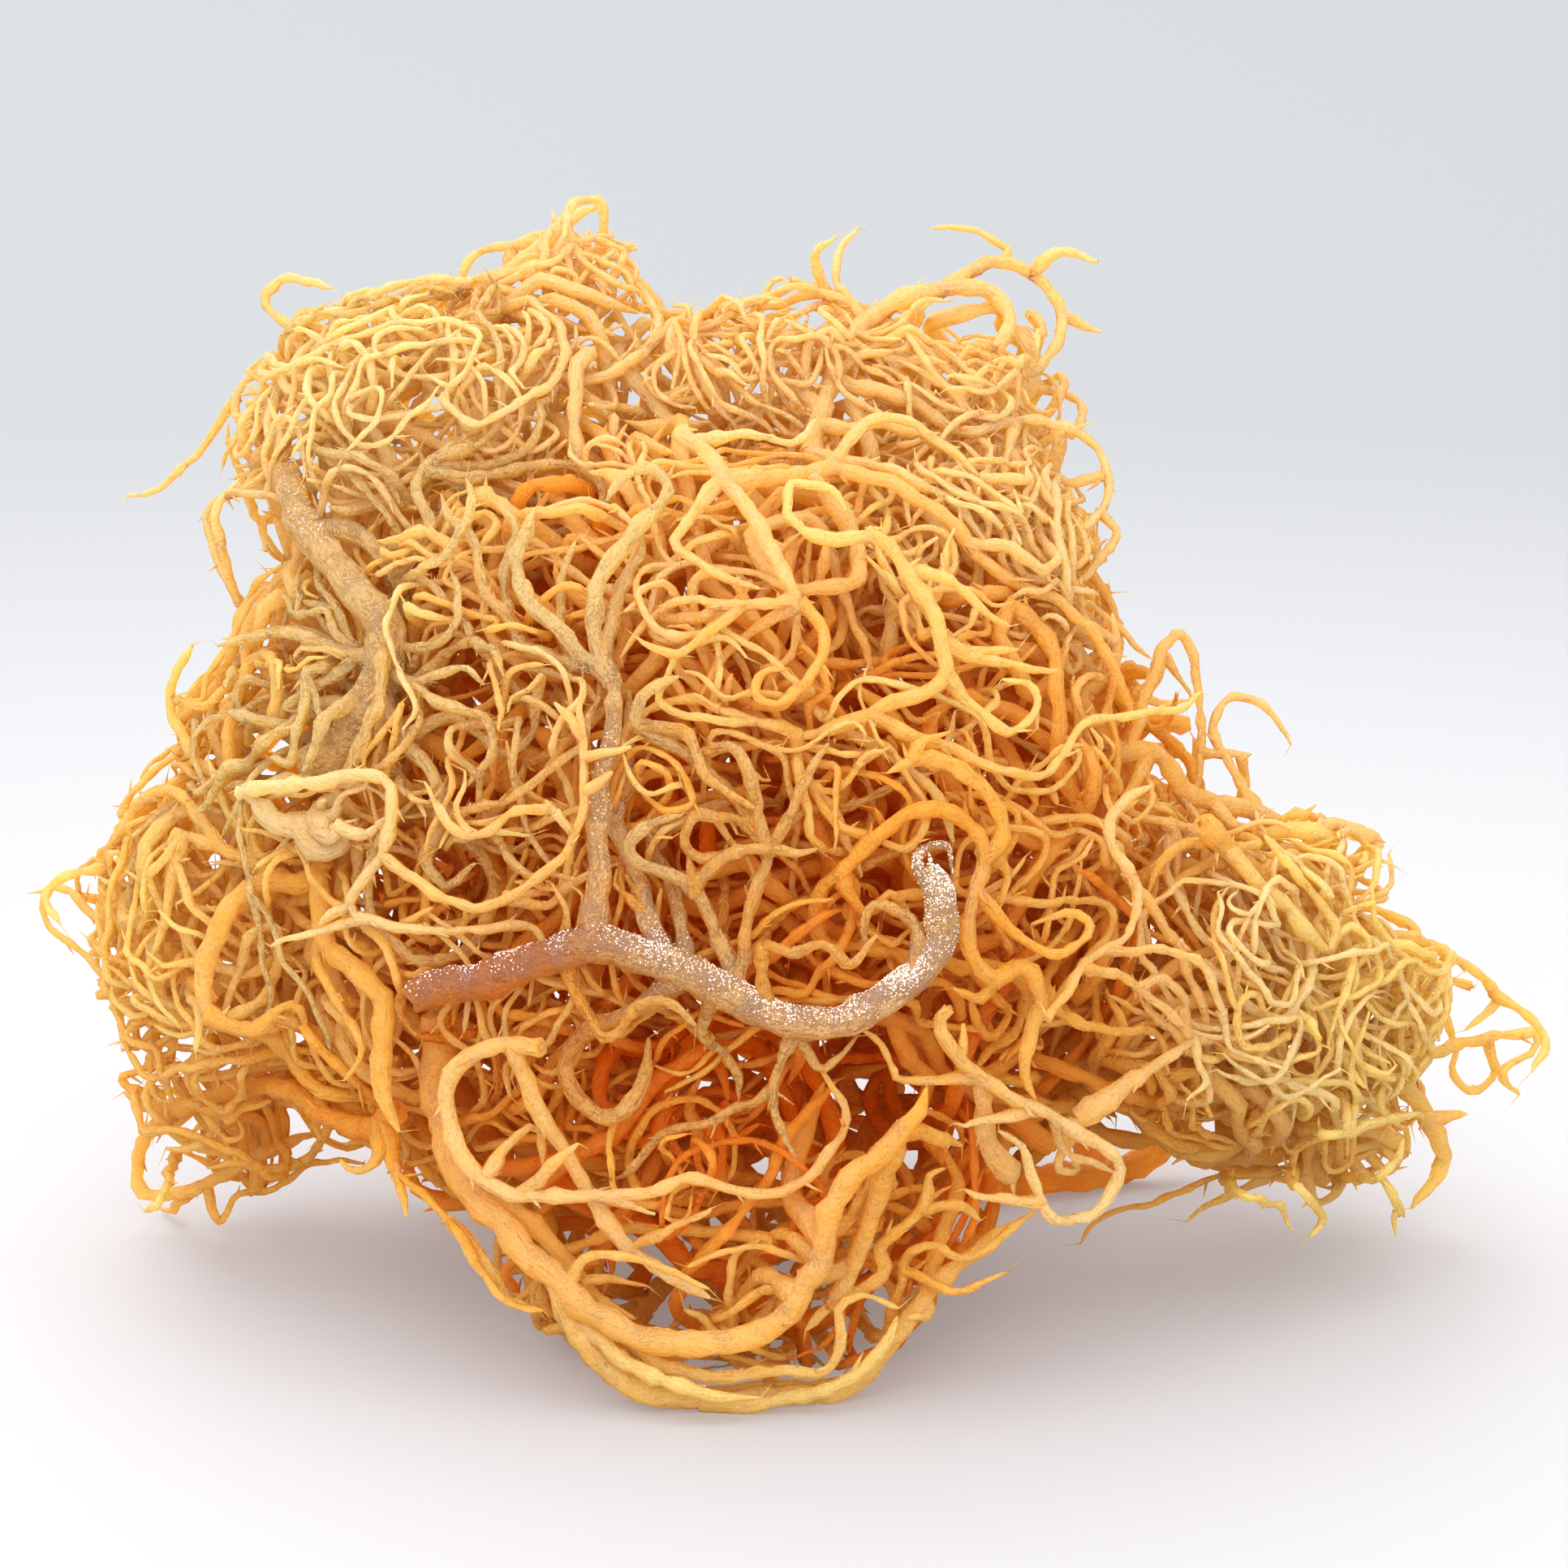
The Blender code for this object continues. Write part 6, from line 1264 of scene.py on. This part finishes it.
def strandTree():
    tree, entry, out = newTree("strandSkin", [
        ("Flesh", "Material"), ("Stout Sides", "Int"), ("Slim Sides", "Int"), ("Wander", "Float"),
        ("Wander Scale", "Float"), ("Crinkle", "Float"), ("Crinkle Scale", "Float"), ("Wrinkle", "Float"),
        ("Nub Spacing", "Float"), ("Nub Least", "Float"), ("Nub Most", "Float"), ("Nub Width", "Float")])
    curve = node(tree, "GeometryNodeMeshToCurve", {"Mesh": entry["Geometry"]}).outputs[0]
    wander = noise(tree, position(tree), entry["Wander Scale"], 1.0, "Color")
    drift = vectorMaths(tree, "SUBTRACT", wander, (0.5, 0.5, 0.5))
    curve = moved(tree, curve, scaled(tree, drift, entry["Wander"]))
    parted = node(tree, "GeometryNodeSeparateGeometry", {
        "Geometry": curve, "Selection": attribute(tree, "stout")}, domain="CURVE").outputs
    whole = joined(tree, [
        skinTube(tree, parted["Selection"], entry["Stout Sides"], entry),
        skinTube(tree, parted["Inverted"], entry["Slim Sides"], entry)])
    # Long wrinkles stand out of the skin, and what would sink into the surface lies flat on it.
    grain = attribute(tree, "grain", "FLOAT_VECTOR")
    stretch = vectorMaths(tree, "MULTIPLY", grain, strandSkin["wrinkleStretch"])
    fold = maths(tree, "SUBTRACT", noise(tree, stretch, 1.0, 2.0), 0.5)
    fold = maths(tree, "MULTIPLY", fold, entry["Wrinkle"])
    lift = maths(tree, "MULTIPLY", fold, attribute(tree, "thick"))
    normal = tree.nodes.new("GeometryNodeInputNormal").outputs[0]
    folded = moved(tree, whole, scaled(tree, normal, lift))
    body = joined(tree, [folded, nubs(tree, curve, entry)])
    down = vectorMaths(tree, "MAXIMUM", position(tree), strandSkin["underFloor"])
    resting = node(tree, "GeometryNodeSetPosition", {"Geometry": body, "Position": down}).outputs[0]
    lying = node(tree, "ShaderNodeMapRange", {0: facingUp(tree), **strandSkin["lying"]}).outputs[0]
    dusted = stored(tree, resting, "dust", maths(tree, "MULTIPLY", attribute(tree, "dust"), lying))
    smoothed = node(tree, "GeometryNodeSetShadeSmooth", {"Geometry": dusted}).outputs[0]
    return coated(tree, smoothed, entry["Flesh"], out)


def newObject(name, data):
    made = bpy.data.objects.new(name, data)
    bpy.context.collection.objects.link(made)
    return made


def dressed(source, tree, values):
    # Runs a tree on an object and keeps what it makes as a plain mesh.
    modifier = source.modifiers.new(tree.name, "NODES")
    modifier.node_group = tree
    for item in tree.interface.items_tree:
        if item.in_out == "INPUT" and item.name in values:
            modifier[item.identifier] = values[item.name]
    graph = bpy.context.evaluated_depsgraph_get()
    finished = bpy.data.meshes.new_from_object(source.evaluated_get(graph))
    source.modifiers.remove(modifier)
    rough = source.data
    source.data = finished
    bpy.data.meshes.remove(rough)
    return source


def finePoints(strand):
    # The strand as a smooth curve: its points, and where each lies along the strand's runs.
    ends = extended(strand.points)
    fine = [(strand.points[0], 0, 0.0)]
    for i in range(len(strand.points) - 1):
        near = ends[i:i + 4]
        gap = strandSkin["ringShare"] * strand.radii[i] + strandSkin["ringLeast"]
        gap = strandSkin["hiddenRings"].get(strand.kind, min(gap, strandSkin["ringMost"]))
        count = max(1, round(length(minus(near[2], near[1])) / gap))
        fine += [(curved(*near, j / count), i, j / count) for j in range(1, count + 1)]
    return fine


def saltAt(point, amount, share):
    across, up, depth = seen(point)
    behind = depth - frontDepth(across, up) - toneRule["dustBehind"]
    nearness = clamp(1.0 - behind / toneRule["dustFade"])
    for spotAcross, spotUp, reach, more in saltSpots:
        distance = math.hypot(across - spotAcross, up - spotUp)
        amount += share * more * max(0.0, 1.0 - distance / reach) * nearness
    return amount


def rimward(across, up, depth):
    # The share of the way from the clump's middle to its outside.
    return length([(value - middle) / half for value, middle, half in
                   zip((across, up, depth), toneRule["middle"], toneRule["halves"])])


def inwardness(across, up, depth):
    # How far inside the clump a place is, from 0 at its front and round its rim to 1, which sets how much
    # painted shade it gets.
    behind = clamp((depth - frontDepth(across, up) - toneRule["inwardFrom"]) / toneRule["inwardRun"])
    return behind * max(toneRule["rimInward"], clamp(toneRule["rim"] * (1.0 - rimward(across, up, depth))))


def shapedRadius(strand, radius, distance, total):
    # A strand widens where it leaves a thicker one, and its end is a point or a rounded cut.
    look = strandSkin
    if strand.kind == "laid":
        stoutness = clamp((radius - look["slimFrom"]) / look["slimRun"])
        radius *= look["slimmest"] + (1 - look["slimmest"]) * stoutness
    if strand.radii[-1] >= look["bluntRadius"]:
        ending = clamp((total - distance) / look["cutRun"])
        radius *= look["cutEnd"] + look["cutRise"] * math.sqrt(ending)
    else:
        ending = clamp((total - distance) / (look["tipRun"] + look["tipWidths"] * radius))
        radius = look["tipRadius"] + (radius - look["tipRadius"]) * ending ** look["tipPower"]
    if strand.rootRadius:
        wide = min(look["flareParent"] * strand.rootRadius, look["flareOwn"] * radius)
        radius += max(0.0, wide - radius) * math.exp(-((distance / look["flareRun"]) ** look["flarePower"]))
    return radius


def strandPoints(strand, draw):
    # Every ring of a strand: place, radius, tone with its painted shade, and salt.
    fine = finePoints(strand)
    runs = [length(minus(b[0], a[0])) for a, b in zip(fine, fine[1:])]
    total = sum(runs)
    distance = 0.0
    stem, twig, salt = paleness[strand.thallus]
    pale = stem if strand.kind == "laid" else twig
    pale += draw.uniform(-toneRule["strandSpread"], toneRule["strandSpread"])
    held = salt if strand.kind == "laid" else toneRule["twigDust"] * salt
    rings = []
    for n, (point, i, share) in enumerate(fine):
        if n:
            distance += runs[n - 1]
        radius = shapedRadius(strand, strand.radiusAt(i, share), distance, total)
        across, up, depth = seen(point)
        # Deeper inside the clump the tone drops towards deep orange: painted shade.
        insideShade = inwardness(across, up, depth)
        outward = math.hypot(
            (across - toneRule["heart"][0]) / toneRule["spread"][0],
            (up - toneRule["heart"][1]) / toneRule["spread"][1])
        toneAndShade = toneRule["ownShare"] * pale + toneRule["outLift"] * outward ** toneRule["outPower"]
        toneAndShade = min(toneAndShade, 1.0) + toneRule["tipLift"] * distance / total - toneRule["insideShadeDrop"] * insideShade
        toneAndShade -= toneRule["stoutDrop"] * clamp(radius - toneRule["stoutFrom"])
        for shadeAcross, shadeUp, shadeReach, drop in toneRule["shades"].get(strand.thallus, ()):
            away = math.hypot(across - shadeAcross, up - shadeUp) / shadeReach
            toneAndShade -= drop * clamp(toneRule["shadeEdge"] - away)
        stoutness = clamp((radius - toneRule["dustFrom"]) / toneRule["dustRun"])
        even = held * (toneRule["dustLeast"] + toneRule["dustGain"] * stoutness)
        dust = saltAt(point, even, toneRule["dustSpots"] * held)
        rings.append((point, radius, clamp(toneAndShade), clamp(dust)))
    return rings


def strandLines(name, strands, middle):
    # The centrelines of a thallus as one mesh of edges, with what its skin needs at every point.
    draw = random.Random(name)
    places = []
    edges = []
    notes = {"thick": [], "toneAndShade": [], "dust": [], "stout": [], "strandSeed": []}
    for strand in strands:
        seed = draw.uniform(0, 100)
        start = len(places)
        stout = strand.kind != "core" and strand.radii[0] >= strandSkin["stoutRadius"]
        for point, radius, toneAndShade, dust in strandPoints(strand, draw):
            places.append(((point[0] - middle[0]) * mm, (point[1] - middle[1]) * mm, point[2] * mm))
            notes["thick"].append(radius * mm)
            notes["toneAndShade"].append(toneAndShade)
            notes["dust"].append(dust)
            notes["stout"].append(1.0 if stout else 0.0)
            notes["strandSeed"].append(seed)
        edges += [(i, i + 1) for i in range(start, len(places) - 1)]
    mesh = bpy.data.meshes.new(name)
    mesh.from_pydata(places, edges, [])
    for label, values in notes.items():
        mesh.attributes.new(label, "FLOAT", "POINT").data.foreach_set("value", values)
    return newObject(name, mesh)


# Waxy, slightly see-through flesh. Colours run from the deepest to the palest.
fleshLooks = {
    "deep_flesh": {
        "deep": (0.9, 0.2, 0.006), "mid": (0.94, 0.48, 0.08), "pale": (0.98, 0.8, 0.36),
        "fineness": 1.2, "bump": 0.45},
    "golden_flesh": {
        "deep": (0.92, 0.25, 0.012), "mid": (0.97, 0.58, 0.1), "pale": (0.98, 0.83, 0.36),
        "fineness": 1.2, "bump": 0.45},
    "pale_flesh": {
        "deep": (0.94, 0.32, 0.03), "mid": (0.98, 0.65, 0.15), "pale": (0.99, 0.87, 0.52),
        "fineness": 1.2, "bump": 0.45},
    "dusty_flesh": {
        "deep": (0.92, 0.28, 0.02), "mid": (0.95, 0.55, 0.13), "pale": (0.99, 0.8, 0.44),
        "fineness": 0.75, "bump": 1.8},
}
fleshValues = {
    "roughness": 0.42, "dustRoughness": 0.85, "ior": 1.4, "shine": 0.25, "glow": 0.62,
    "glowDeep": (1.0, 0.42, 0.03), "glowPale": (1.0, 0.78, 0.22),
    "tanDeep": (0.5, 0.3, 0.15), "tanPale": (1.0, 0.76, 0.4), "tanFrom": 0.1, "tanTo": 0.5,
    "saltColour": (0.98, 0.86, 0.76), "grainBump": 0.9, "middleTone": 0.5, "mottling": 0.5,
    "roughnessSpread": 0.16, "ripeFrom": 0.22, "ripeTo": 0.5,
}

# The flesh's mottling, streaks and pits, and the salt's specks and patches. Salt shows where they
# pass a threshold, which dust lowers.
grainValues = {"mottleScale": 0.9, "streaks": (2.6, 2.6, 0.8), "pitScale": 2.2, "pitShare": 0.8}
dustValues = {
    "speckScale": 5200.0, "patchScale": 500.0, "speckShare": 0.55, "patchShare": 0.45,
    "threshold": 0.63, "dustDrop": -0.24, "softness": 0.15,
}


def newGroup(name, entries, exits):
    # A shader group, and its input and output sockets.
    tree = bpy.data.node_groups.new(name, "ShaderNodeTree")
    for label, kind in entries:
        tree.interface.new_socket(label, in_out="INPUT", socket_type="NodeSocket" + kind)
    for label in exits:
        tree.interface.new_socket(label, in_out="OUTPUT", socket_type="NodeSocketFloat")
    return tree, tree.nodes.new("NodeGroupInput").outputs, tree.nodes.new("NodeGroupOutput").inputs


def waxGrainGroup():
    # Mottling and fine wrinkles that follow the strand.
    tree, entry, out = newGroup(
        "waxGrain", [("Grain", "Vector"), ("Fineness", "Float")], ["Mottle", "Height"])
    tree.links.new(noise(tree, entry["Grain"], grainValues["mottleScale"], 3.0), out["Mottle"])
    streaks = vectorMaths(tree, "MULTIPLY", entry["Grain"], grainValues["streaks"])
    coarse = noise(tree, streaks, entry["Fineness"], 4.0)
    fine = maths(tree, "MULTIPLY", entry["Fineness"], grainValues["pitScale"])
    pits = noise(tree, entry["Grain"], fine, 3.0)
    tree.links.new(maths(tree, "MULTIPLY_ADD", pits, grainValues["pitShare"], coarse), out["Height"])
    return tree


def saltDustGroup():
    # Where salt shows: in specks and patches, more of them the dustier the strand.
    tree, entry, out = newGroup("saltDust", [("Place", "Vector"), ("Amount", "Float")], ["Mask", "Height"])
    specks = noise(tree, entry["Place"], dustValues["speckScale"], 2.0)
    patches = noise(tree, entry["Place"], dustValues["patchScale"], 3.0)
    level = maths(tree, "MULTIPLY_ADD", patches, dustValues["patchShare"],
                  maths(tree, "MULTIPLY", specks, dustValues["speckShare"]))
    threshold = maths(
        tree, "MULTIPLY_ADD", entry["Amount"], dustValues["dustDrop"], dustValues["threshold"])
    mask = ranged(tree, level, threshold, maths(tree, "ADD", threshold, dustValues["softness"]))
    tree.links.new(mask, out["Mask"])
    tree.links.new(maths(tree, "MULTIPLY", mask, specks), out["Height"])
    return tree


def mixed(tree, share, first, second):
    mix = node(tree, "ShaderNodeMix", {0: share}, data_type="RGBA")
    for key, value in ((6, first), (7, second)):
        if isinstance(value, bpy.types.NodeSocket):
            tree.links.new(value, mix.inputs[key])
        else:
            mix.inputs[key].default_value = (*value, 1.0)
    return mix.outputs[2]


def newMaterial(name):
    # A material, its nodes and its shader.
    material = bpy.data.materials.new(name)
    material.use_nodes = True
    return material, material.node_tree, material.node_tree.nodes["Principled BSDF"]


def fleshMaterial(name, look, waxGrain, saltDust):
    material, tree, shader = newMaterial(name)
    note = {label: node(tree, "ShaderNodeAttribute", attribute_name=label).outputs
            for label in ("toneAndShade", "dust", "grain")}
    # The tone attribute holds the flesh's own paleness together with painted shade inside the clump.
    own = note["toneAndShade"]["Fac"]
    dust = note["dust"]["Fac"]
    grain = node(tree, "ShaderNodeGroup", {}, node_tree=waxGrain)
    tree.links.new(note["grain"]["Vector"], grain.inputs["Grain"])
    grain.inputs["Fineness"].default_value = look["fineness"]
    salt = node(tree, "ShaderNodeGroup", {}, node_tree=saltDust)
    tree.links.new(tree.nodes.new("ShaderNodeTexCoord").outputs["Object"], salt.inputs["Place"])
    tree.links.new(dust, salt.inputs["Amount"])
    mottle = maths(tree, "SUBTRACT", grain.outputs["Mottle"], 0.5)
    toneAndShade = maths(tree, "ADD", own, maths(tree, "MULTIPLY", mottle, fleshValues["mottling"]))
    low = ranged(tree, toneAndShade, 0.0, fleshValues["middleTone"])
    high = ranged(tree, toneAndShade, fleshValues["middleTone"], 1.0)
    colour = mixed(tree, high, mixed(tree, low, look["deep"], look["mid"]), look["pale"])
    tanned = ranged(tree, dust, fleshValues["tanFrom"], fleshValues["tanTo"])
    ripe = ranged(tree, own, fleshValues["ripeFrom"], fleshValues["ripeTo"])
    tan = mixed(tree, ripe, fleshValues["tanDeep"], fleshValues["tanPale"])
    colour = mixed(tree, tanned, colour, tan)
    colour = mixed(tree, salt.outputs["Mask"], colour, fleshValues["saltColour"])
    tree.links.new(colour, shader.inputs["Base Color"])
    spread = fleshValues["roughnessSpread"]
    least = fleshValues["roughness"] - spread / 2
    rough = maths(tree, "MULTIPLY_ADD", grain.outputs["Mottle"], spread, least)
    gain = maths(tree, "SUBTRACT", fleshValues["dustRoughness"], rough)
    rough = maths(tree, "MULTIPLY_ADD", salt.outputs["Mask"], gain, rough)
    tree.links.new(rough, shader.inputs["Roughness"])
    height = maths(tree, "ADD", grain.outputs["Height"], salt.outputs["Height"])
    bump = node(tree, "ShaderNodeBump", {
        "Strength": fleshValues["grainBump"], "Distance": look["bump"] * mm, "Height": height})
    tree.links.new(bump.outputs["Normal"], shader.inputs["Normal"])
    shader.inputs["IOR"].default_value = fleshValues["ior"]
    shader.inputs["Specular IOR Level"].default_value = fleshValues["shine"]
    # Light comes through the thin flesh, so hollows glow.
    warm = mixed(tree, own, fleshValues["glowDeep"], fleshValues["glowPale"])
    through = node(tree, "ShaderNodeBsdfTranslucent", {"Color": warm, "Normal": bump.outputs["Normal"]})
    blend = node(tree, "ShaderNodeMixShader", {
        0: fleshValues["glow"], 1: shader.outputs["BSDF"], 2: through.outputs["BSDF"]})
    tree.links.new(blend.outputs["Shader"], tree.nodes["Material Output"].inputs["Surface"])
    return material


# Salt crystals: how many lie on a square metre of the dustiest flesh, their size in mm, which way the
# flesh under them faces, and the patches that they lie in.
saltGrain = {
    "density": 7.0e7, "least": 0.04, "most": 0.12, "seed": 11, "sizeSeed": 2, "turnSeed": 9,
    "leastDust": 0.5, "lying": (-0.5, 0.7), "patchScale": 420.0, "patches": (0.4, 0.62),
    "shape": (1.0, 1.0, 0.8), "turn": 6.28, "colour": (0.98, 0.85, 0.75),
    "otherColour": (0.93, 0.8, 0.7), "colourScale": 900.0, "roughness": 0.4,
}


def saltTree():
    tree, entry, out = newTree("saltGrains", [
        ("Crystal", "Material"), ("Density", "Float"), ("Least", "Float"), ("Most", "Float"),
        ("Least Dust", "Float")])
    over = ranged(tree, attribute(tree, "dust"), entry["Least Dust"], 1.0)
    lying = ranged(tree, facingUp(tree), *saltGrain["lying"])
    patch = ranged(tree, noise(tree, position(tree), saltGrain["patchScale"], 2.0), *saltGrain["patches"])
    share = maths(tree, "MULTIPLY", maths(tree, "MULTIPLY", over, lying), patch)
    points = node(tree, "GeometryNodeDistributePointsOnFaces", {
        "Mesh": entry["Geometry"], "Density": maths(tree, "MULTIPLY", share, entry["Density"]),
        "Seed": saltGrain["seed"]}, distribute_method="RANDOM").outputs["Points"]
    cube = node(tree, "GeometryNodeMeshCube", {"Size": saltGrain["shape"]}).outputs["Mesh"]
    size = chance(tree, entry["Least"], entry["Most"], saltGrain["sizeSeed"])
    turn = node(tree, "FunctionNodeRandomValue", {
        0: (0, 0, 0), 1: (saltGrain["turn"],) * 3, "Seed": saltGrain["turnSeed"]},
        data_type="FLOAT_VECTOR").outputs[0]
    grains = node(tree, "GeometryNodeInstanceOnPoints", {
        "Points": points, "Instance": cube, "Rotation": turn, "Scale": size}).outputs[0]
    return coated(tree, grains, entry["Crystal"], out)


def crystalMaterial():
    material, tree, shader = newMaterial("salt_crystal")
    place = tree.nodes.new("ShaderNodeTexCoord").outputs["Object"]
    speckle = noise(tree, place, saltGrain["colourScale"])
    tint = mixed(tree, speckle, saltGrain["colour"], saltGrain["otherColour"])
    tree.links.new(tint, shader.inputs["Base Color"])
    shader.inputs["Roughness"].default_value = saltGrain["roughness"]
    return material


def buildMoss():
    solids = frameTangle()
    middle = clumpMiddle(solids)
    print("solids' strands:", len(solids.strands), "middle", [round(value, 3) for value in middle])
    tangle = twiggedTangle(solids)
    print("with twigs:", len(tangle.strands), "strands")
    slotOf = {part["node"]: part["material_slot"] for part in frame["record"]["subparts"]}
    waxGrain = waxGrainGroup()
    saltDust = saltDustGroup()
    materials = {slot: fleshMaterial(slot, look, waxGrain, saltDust) for slot, look in fleshLooks.items()}
    tree = strandTree()
    pieces = []
    for name in thalli:
        strands = [strand for strand in tangle.strands if strand.thallus == name]
        values = {
            "Flesh": materials[slotOf[name]],
            "Stout Sides": strandSkin["dustySides" if slotOf[name] == "dusty_flesh" else "stoutSides"],
            "Slim Sides": strandSkin["slimSides"], "Wander": strandSkin["wander"] * mm,
            "Wander Scale": strandSkin["wanderScale"], "Crinkle": strandSkin["crinkle"],
            "Crinkle Scale": strandSkin["crinkleScale"], "Wrinkle": strandSkin["wrinkle"],
            "Nub Spacing": strandSkin["nubSpacing"] * mm, "Nub Least": strandSkin["nubLeast"] * mm,
            "Nub Most": strandSkin["nubMost"] * mm, "Nub Width": strandSkin["nubWidth"],
        }
        piece = dressed(strandLines(name + "_frond", strands, middle), tree, values)
        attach(piece, "root")
        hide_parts(name)
        pieces.append(piece)
    return middle, pieces


def triangles(piece):
    return sum(len(face.vertices) - 2 for face in piece.data.polygons)


def saltOver(pieces):
    # One piece of loose crystals over everything that is dusty enough.
    places = []
    faces = []
    dust = []
    for piece in pieces:
        mesh = piece.data
        start = len(places)
        places += [vertex.co[:] for vertex in mesh.vertices]
        faces += [[start + i for i in face.vertices] for face in mesh.polygons]
        values = [0.0] * len(mesh.vertices)
        mesh.attributes["dust"].data.foreach_get("value", values)
        dust += values
    mesh = bpy.data.meshes.new("salt")
    mesh.from_pydata(places, [], faces)
    mesh.attributes.new("dust", "FLOAT", "POINT").data.foreach_set("value", dust)
    salt = newObject("salt", mesh)
    dressed(salt, saltTree(), {
        "Crystal": crystalMaterial(), "Density": saltGrain["density"], "Least": saltGrain["least"] * mm,
        "Most": saltGrain["most"] * mm, "Least Dust": saltGrain["leastDust"]})
    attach(salt, "root")
    return salt


# A pale floor, painted from white near the clump to a cool grey in the distance as painted falloff of
# light, with an even glow that lifts the shade under the clump, and large soft lights.
studio = {
    "floorSize": 6.0, "floorPaintedNearLight": (0.335, 0.335, 0.35), "floorPaintedFarShade": (0.17, 0.185, 0.2),
    "floorGlow": (0.2, 0.187, 0.178), "floorTurn": (0.0, 0.5), "floorRoughness": 0.8,
    "worldColour": (0.97, 0.98, 1.0), "worldStrength": 1.4,
    "keySize": 3.2, "keyPower": 46.0, "keyPlace": (-0.6, -0.2, 2.0), "keyColour": (1.0, 0.985, 0.96),
    "fillSize": 1.2, "fillPower": 13.0, "fillPlace": (0.0, -1.15, 0.32), "fillColour": (1.0, 1.0, 1.0),
    "backPower": 1.5, "backAngle": 0.9, "backPlace": (-0.3, 0.85, 0.7),
}


def placeLamp(name, light):
    # A lamp in its place, which shines at the foot of the clump.
    light.energy = studio[name + "Power"]
    lamp = newObject(name, light)
    lamp.location = studio[name + "Place"]
    lamp.rotation_euler = (-lamp.location).to_track_quat("-Z", "Y").to_euler()


def buildStudio():
    half = studio["floorSize"] / 2
    mesh = bpy.data.meshes.new("floor")
    corners = [(-half, -half, 0), (half, -half, 0), (half, half, 0), (-half, half, 0)]
    mesh.from_pydata(corners, [], [(0, 1, 2, 3)])
    floor = newObject("floor", mesh)
    material, tree, shader = newMaterial("floor")
    place = tree.nodes.new("ShaderNodeTexCoord").outputs["Object"]
    away = node(tree, "ShaderNodeVectorMath", {0: place}, operation="LENGTH").outputs["Value"]
    # Painted falloff of light: the floor's colour dims and cools with distance from the clump.
    far = ranged(tree, away, *studio["floorTurn"], interpolation_type="SMOOTHSTEP")
    tree.links.new(mixed(tree, far, studio["floorPaintedNearLight"], studio["floorPaintedFarShade"]), shader.inputs["Base Color"])
    shader.inputs["Roughness"].default_value = studio["floorRoughness"]
    # The floor glows evenly, lifting the shade under the clump as painted light.
    shader.inputs["Emission Color"].default_value = (*studio["floorGlow"], 1.0)
    shader.inputs["Emission Strength"].default_value = 1.0
    mesh.materials.append(material)
    world = bpy.data.worlds.new("studio")
    bpy.context.scene.world = world
    world.use_nodes = True
    sky = world.node_tree.nodes["Background"]
    sky.inputs["Color"].default_value = (*studio["worldColour"], 1.0)
    sky.inputs["Strength"].default_value = studio["worldStrength"]
    for name in ("key", "fill"):
        light = bpy.data.lights.new(name, "AREA")
        light.size = studio[name + "Size"]
        light.color = studio[name + "Colour"]
        placeLamp(name, light)
    # A wide glow from behind, which shines through the strands and under the clump.
    glow = bpy.data.lights.new("back", "SUN")
    glow.angle = studio["backAngle"]
    placeLamp("back", glow)
    bpy.context.scene.view_settings.view_transform = "Standard"


# The camera's sensor in mm, and how near and how far it sees in metres.
lens = {"sensor": 36.0, "nearest": 0.01, "furthest": 20.0}


def buildCamera(middle):
    camera = bpy.data.cameras.new("camera")
    camera.sensor_width = lens["sensor"]
    camera.lens = camera.sensor_width * photoView["distance"] / photoView["frameWidth"]
    camera.clip_start = lens["nearest"]
    camera.clip_end = lens["furthest"]
    viewer = newObject("camera", camera)
    back = photoView["distance"] * math.cos(photoView["down"])
    rise = photoView["distance"] * math.sin(photoView["down"])
    viewer.location = (-middle[0] * mm, (-back - middle[1]) * mm, (photoView["height"] + rise) * mm)
    viewer.rotation_euler = (math.pi / 2 - photoView["down"], 0.0, 0.0)
    bpy.context.scene.camera = viewer


middle, pieces = buildMoss()
print("fronds:", len(pieces), "pieces,", sum(triangles(piece) for piece in pieces), "triangles, largest",
      max(triangles(piece) for piece in pieces))
salt = saltOver(pieces)
print("salt:", triangles(salt), "triangles")
buildStudio()
buildCamera(middle)
# Split boxes suit the long thin strands and keep the render short.
bpy.context.scene.cycles.debug_use_spatial_splits = True
print("studio and camera ready")
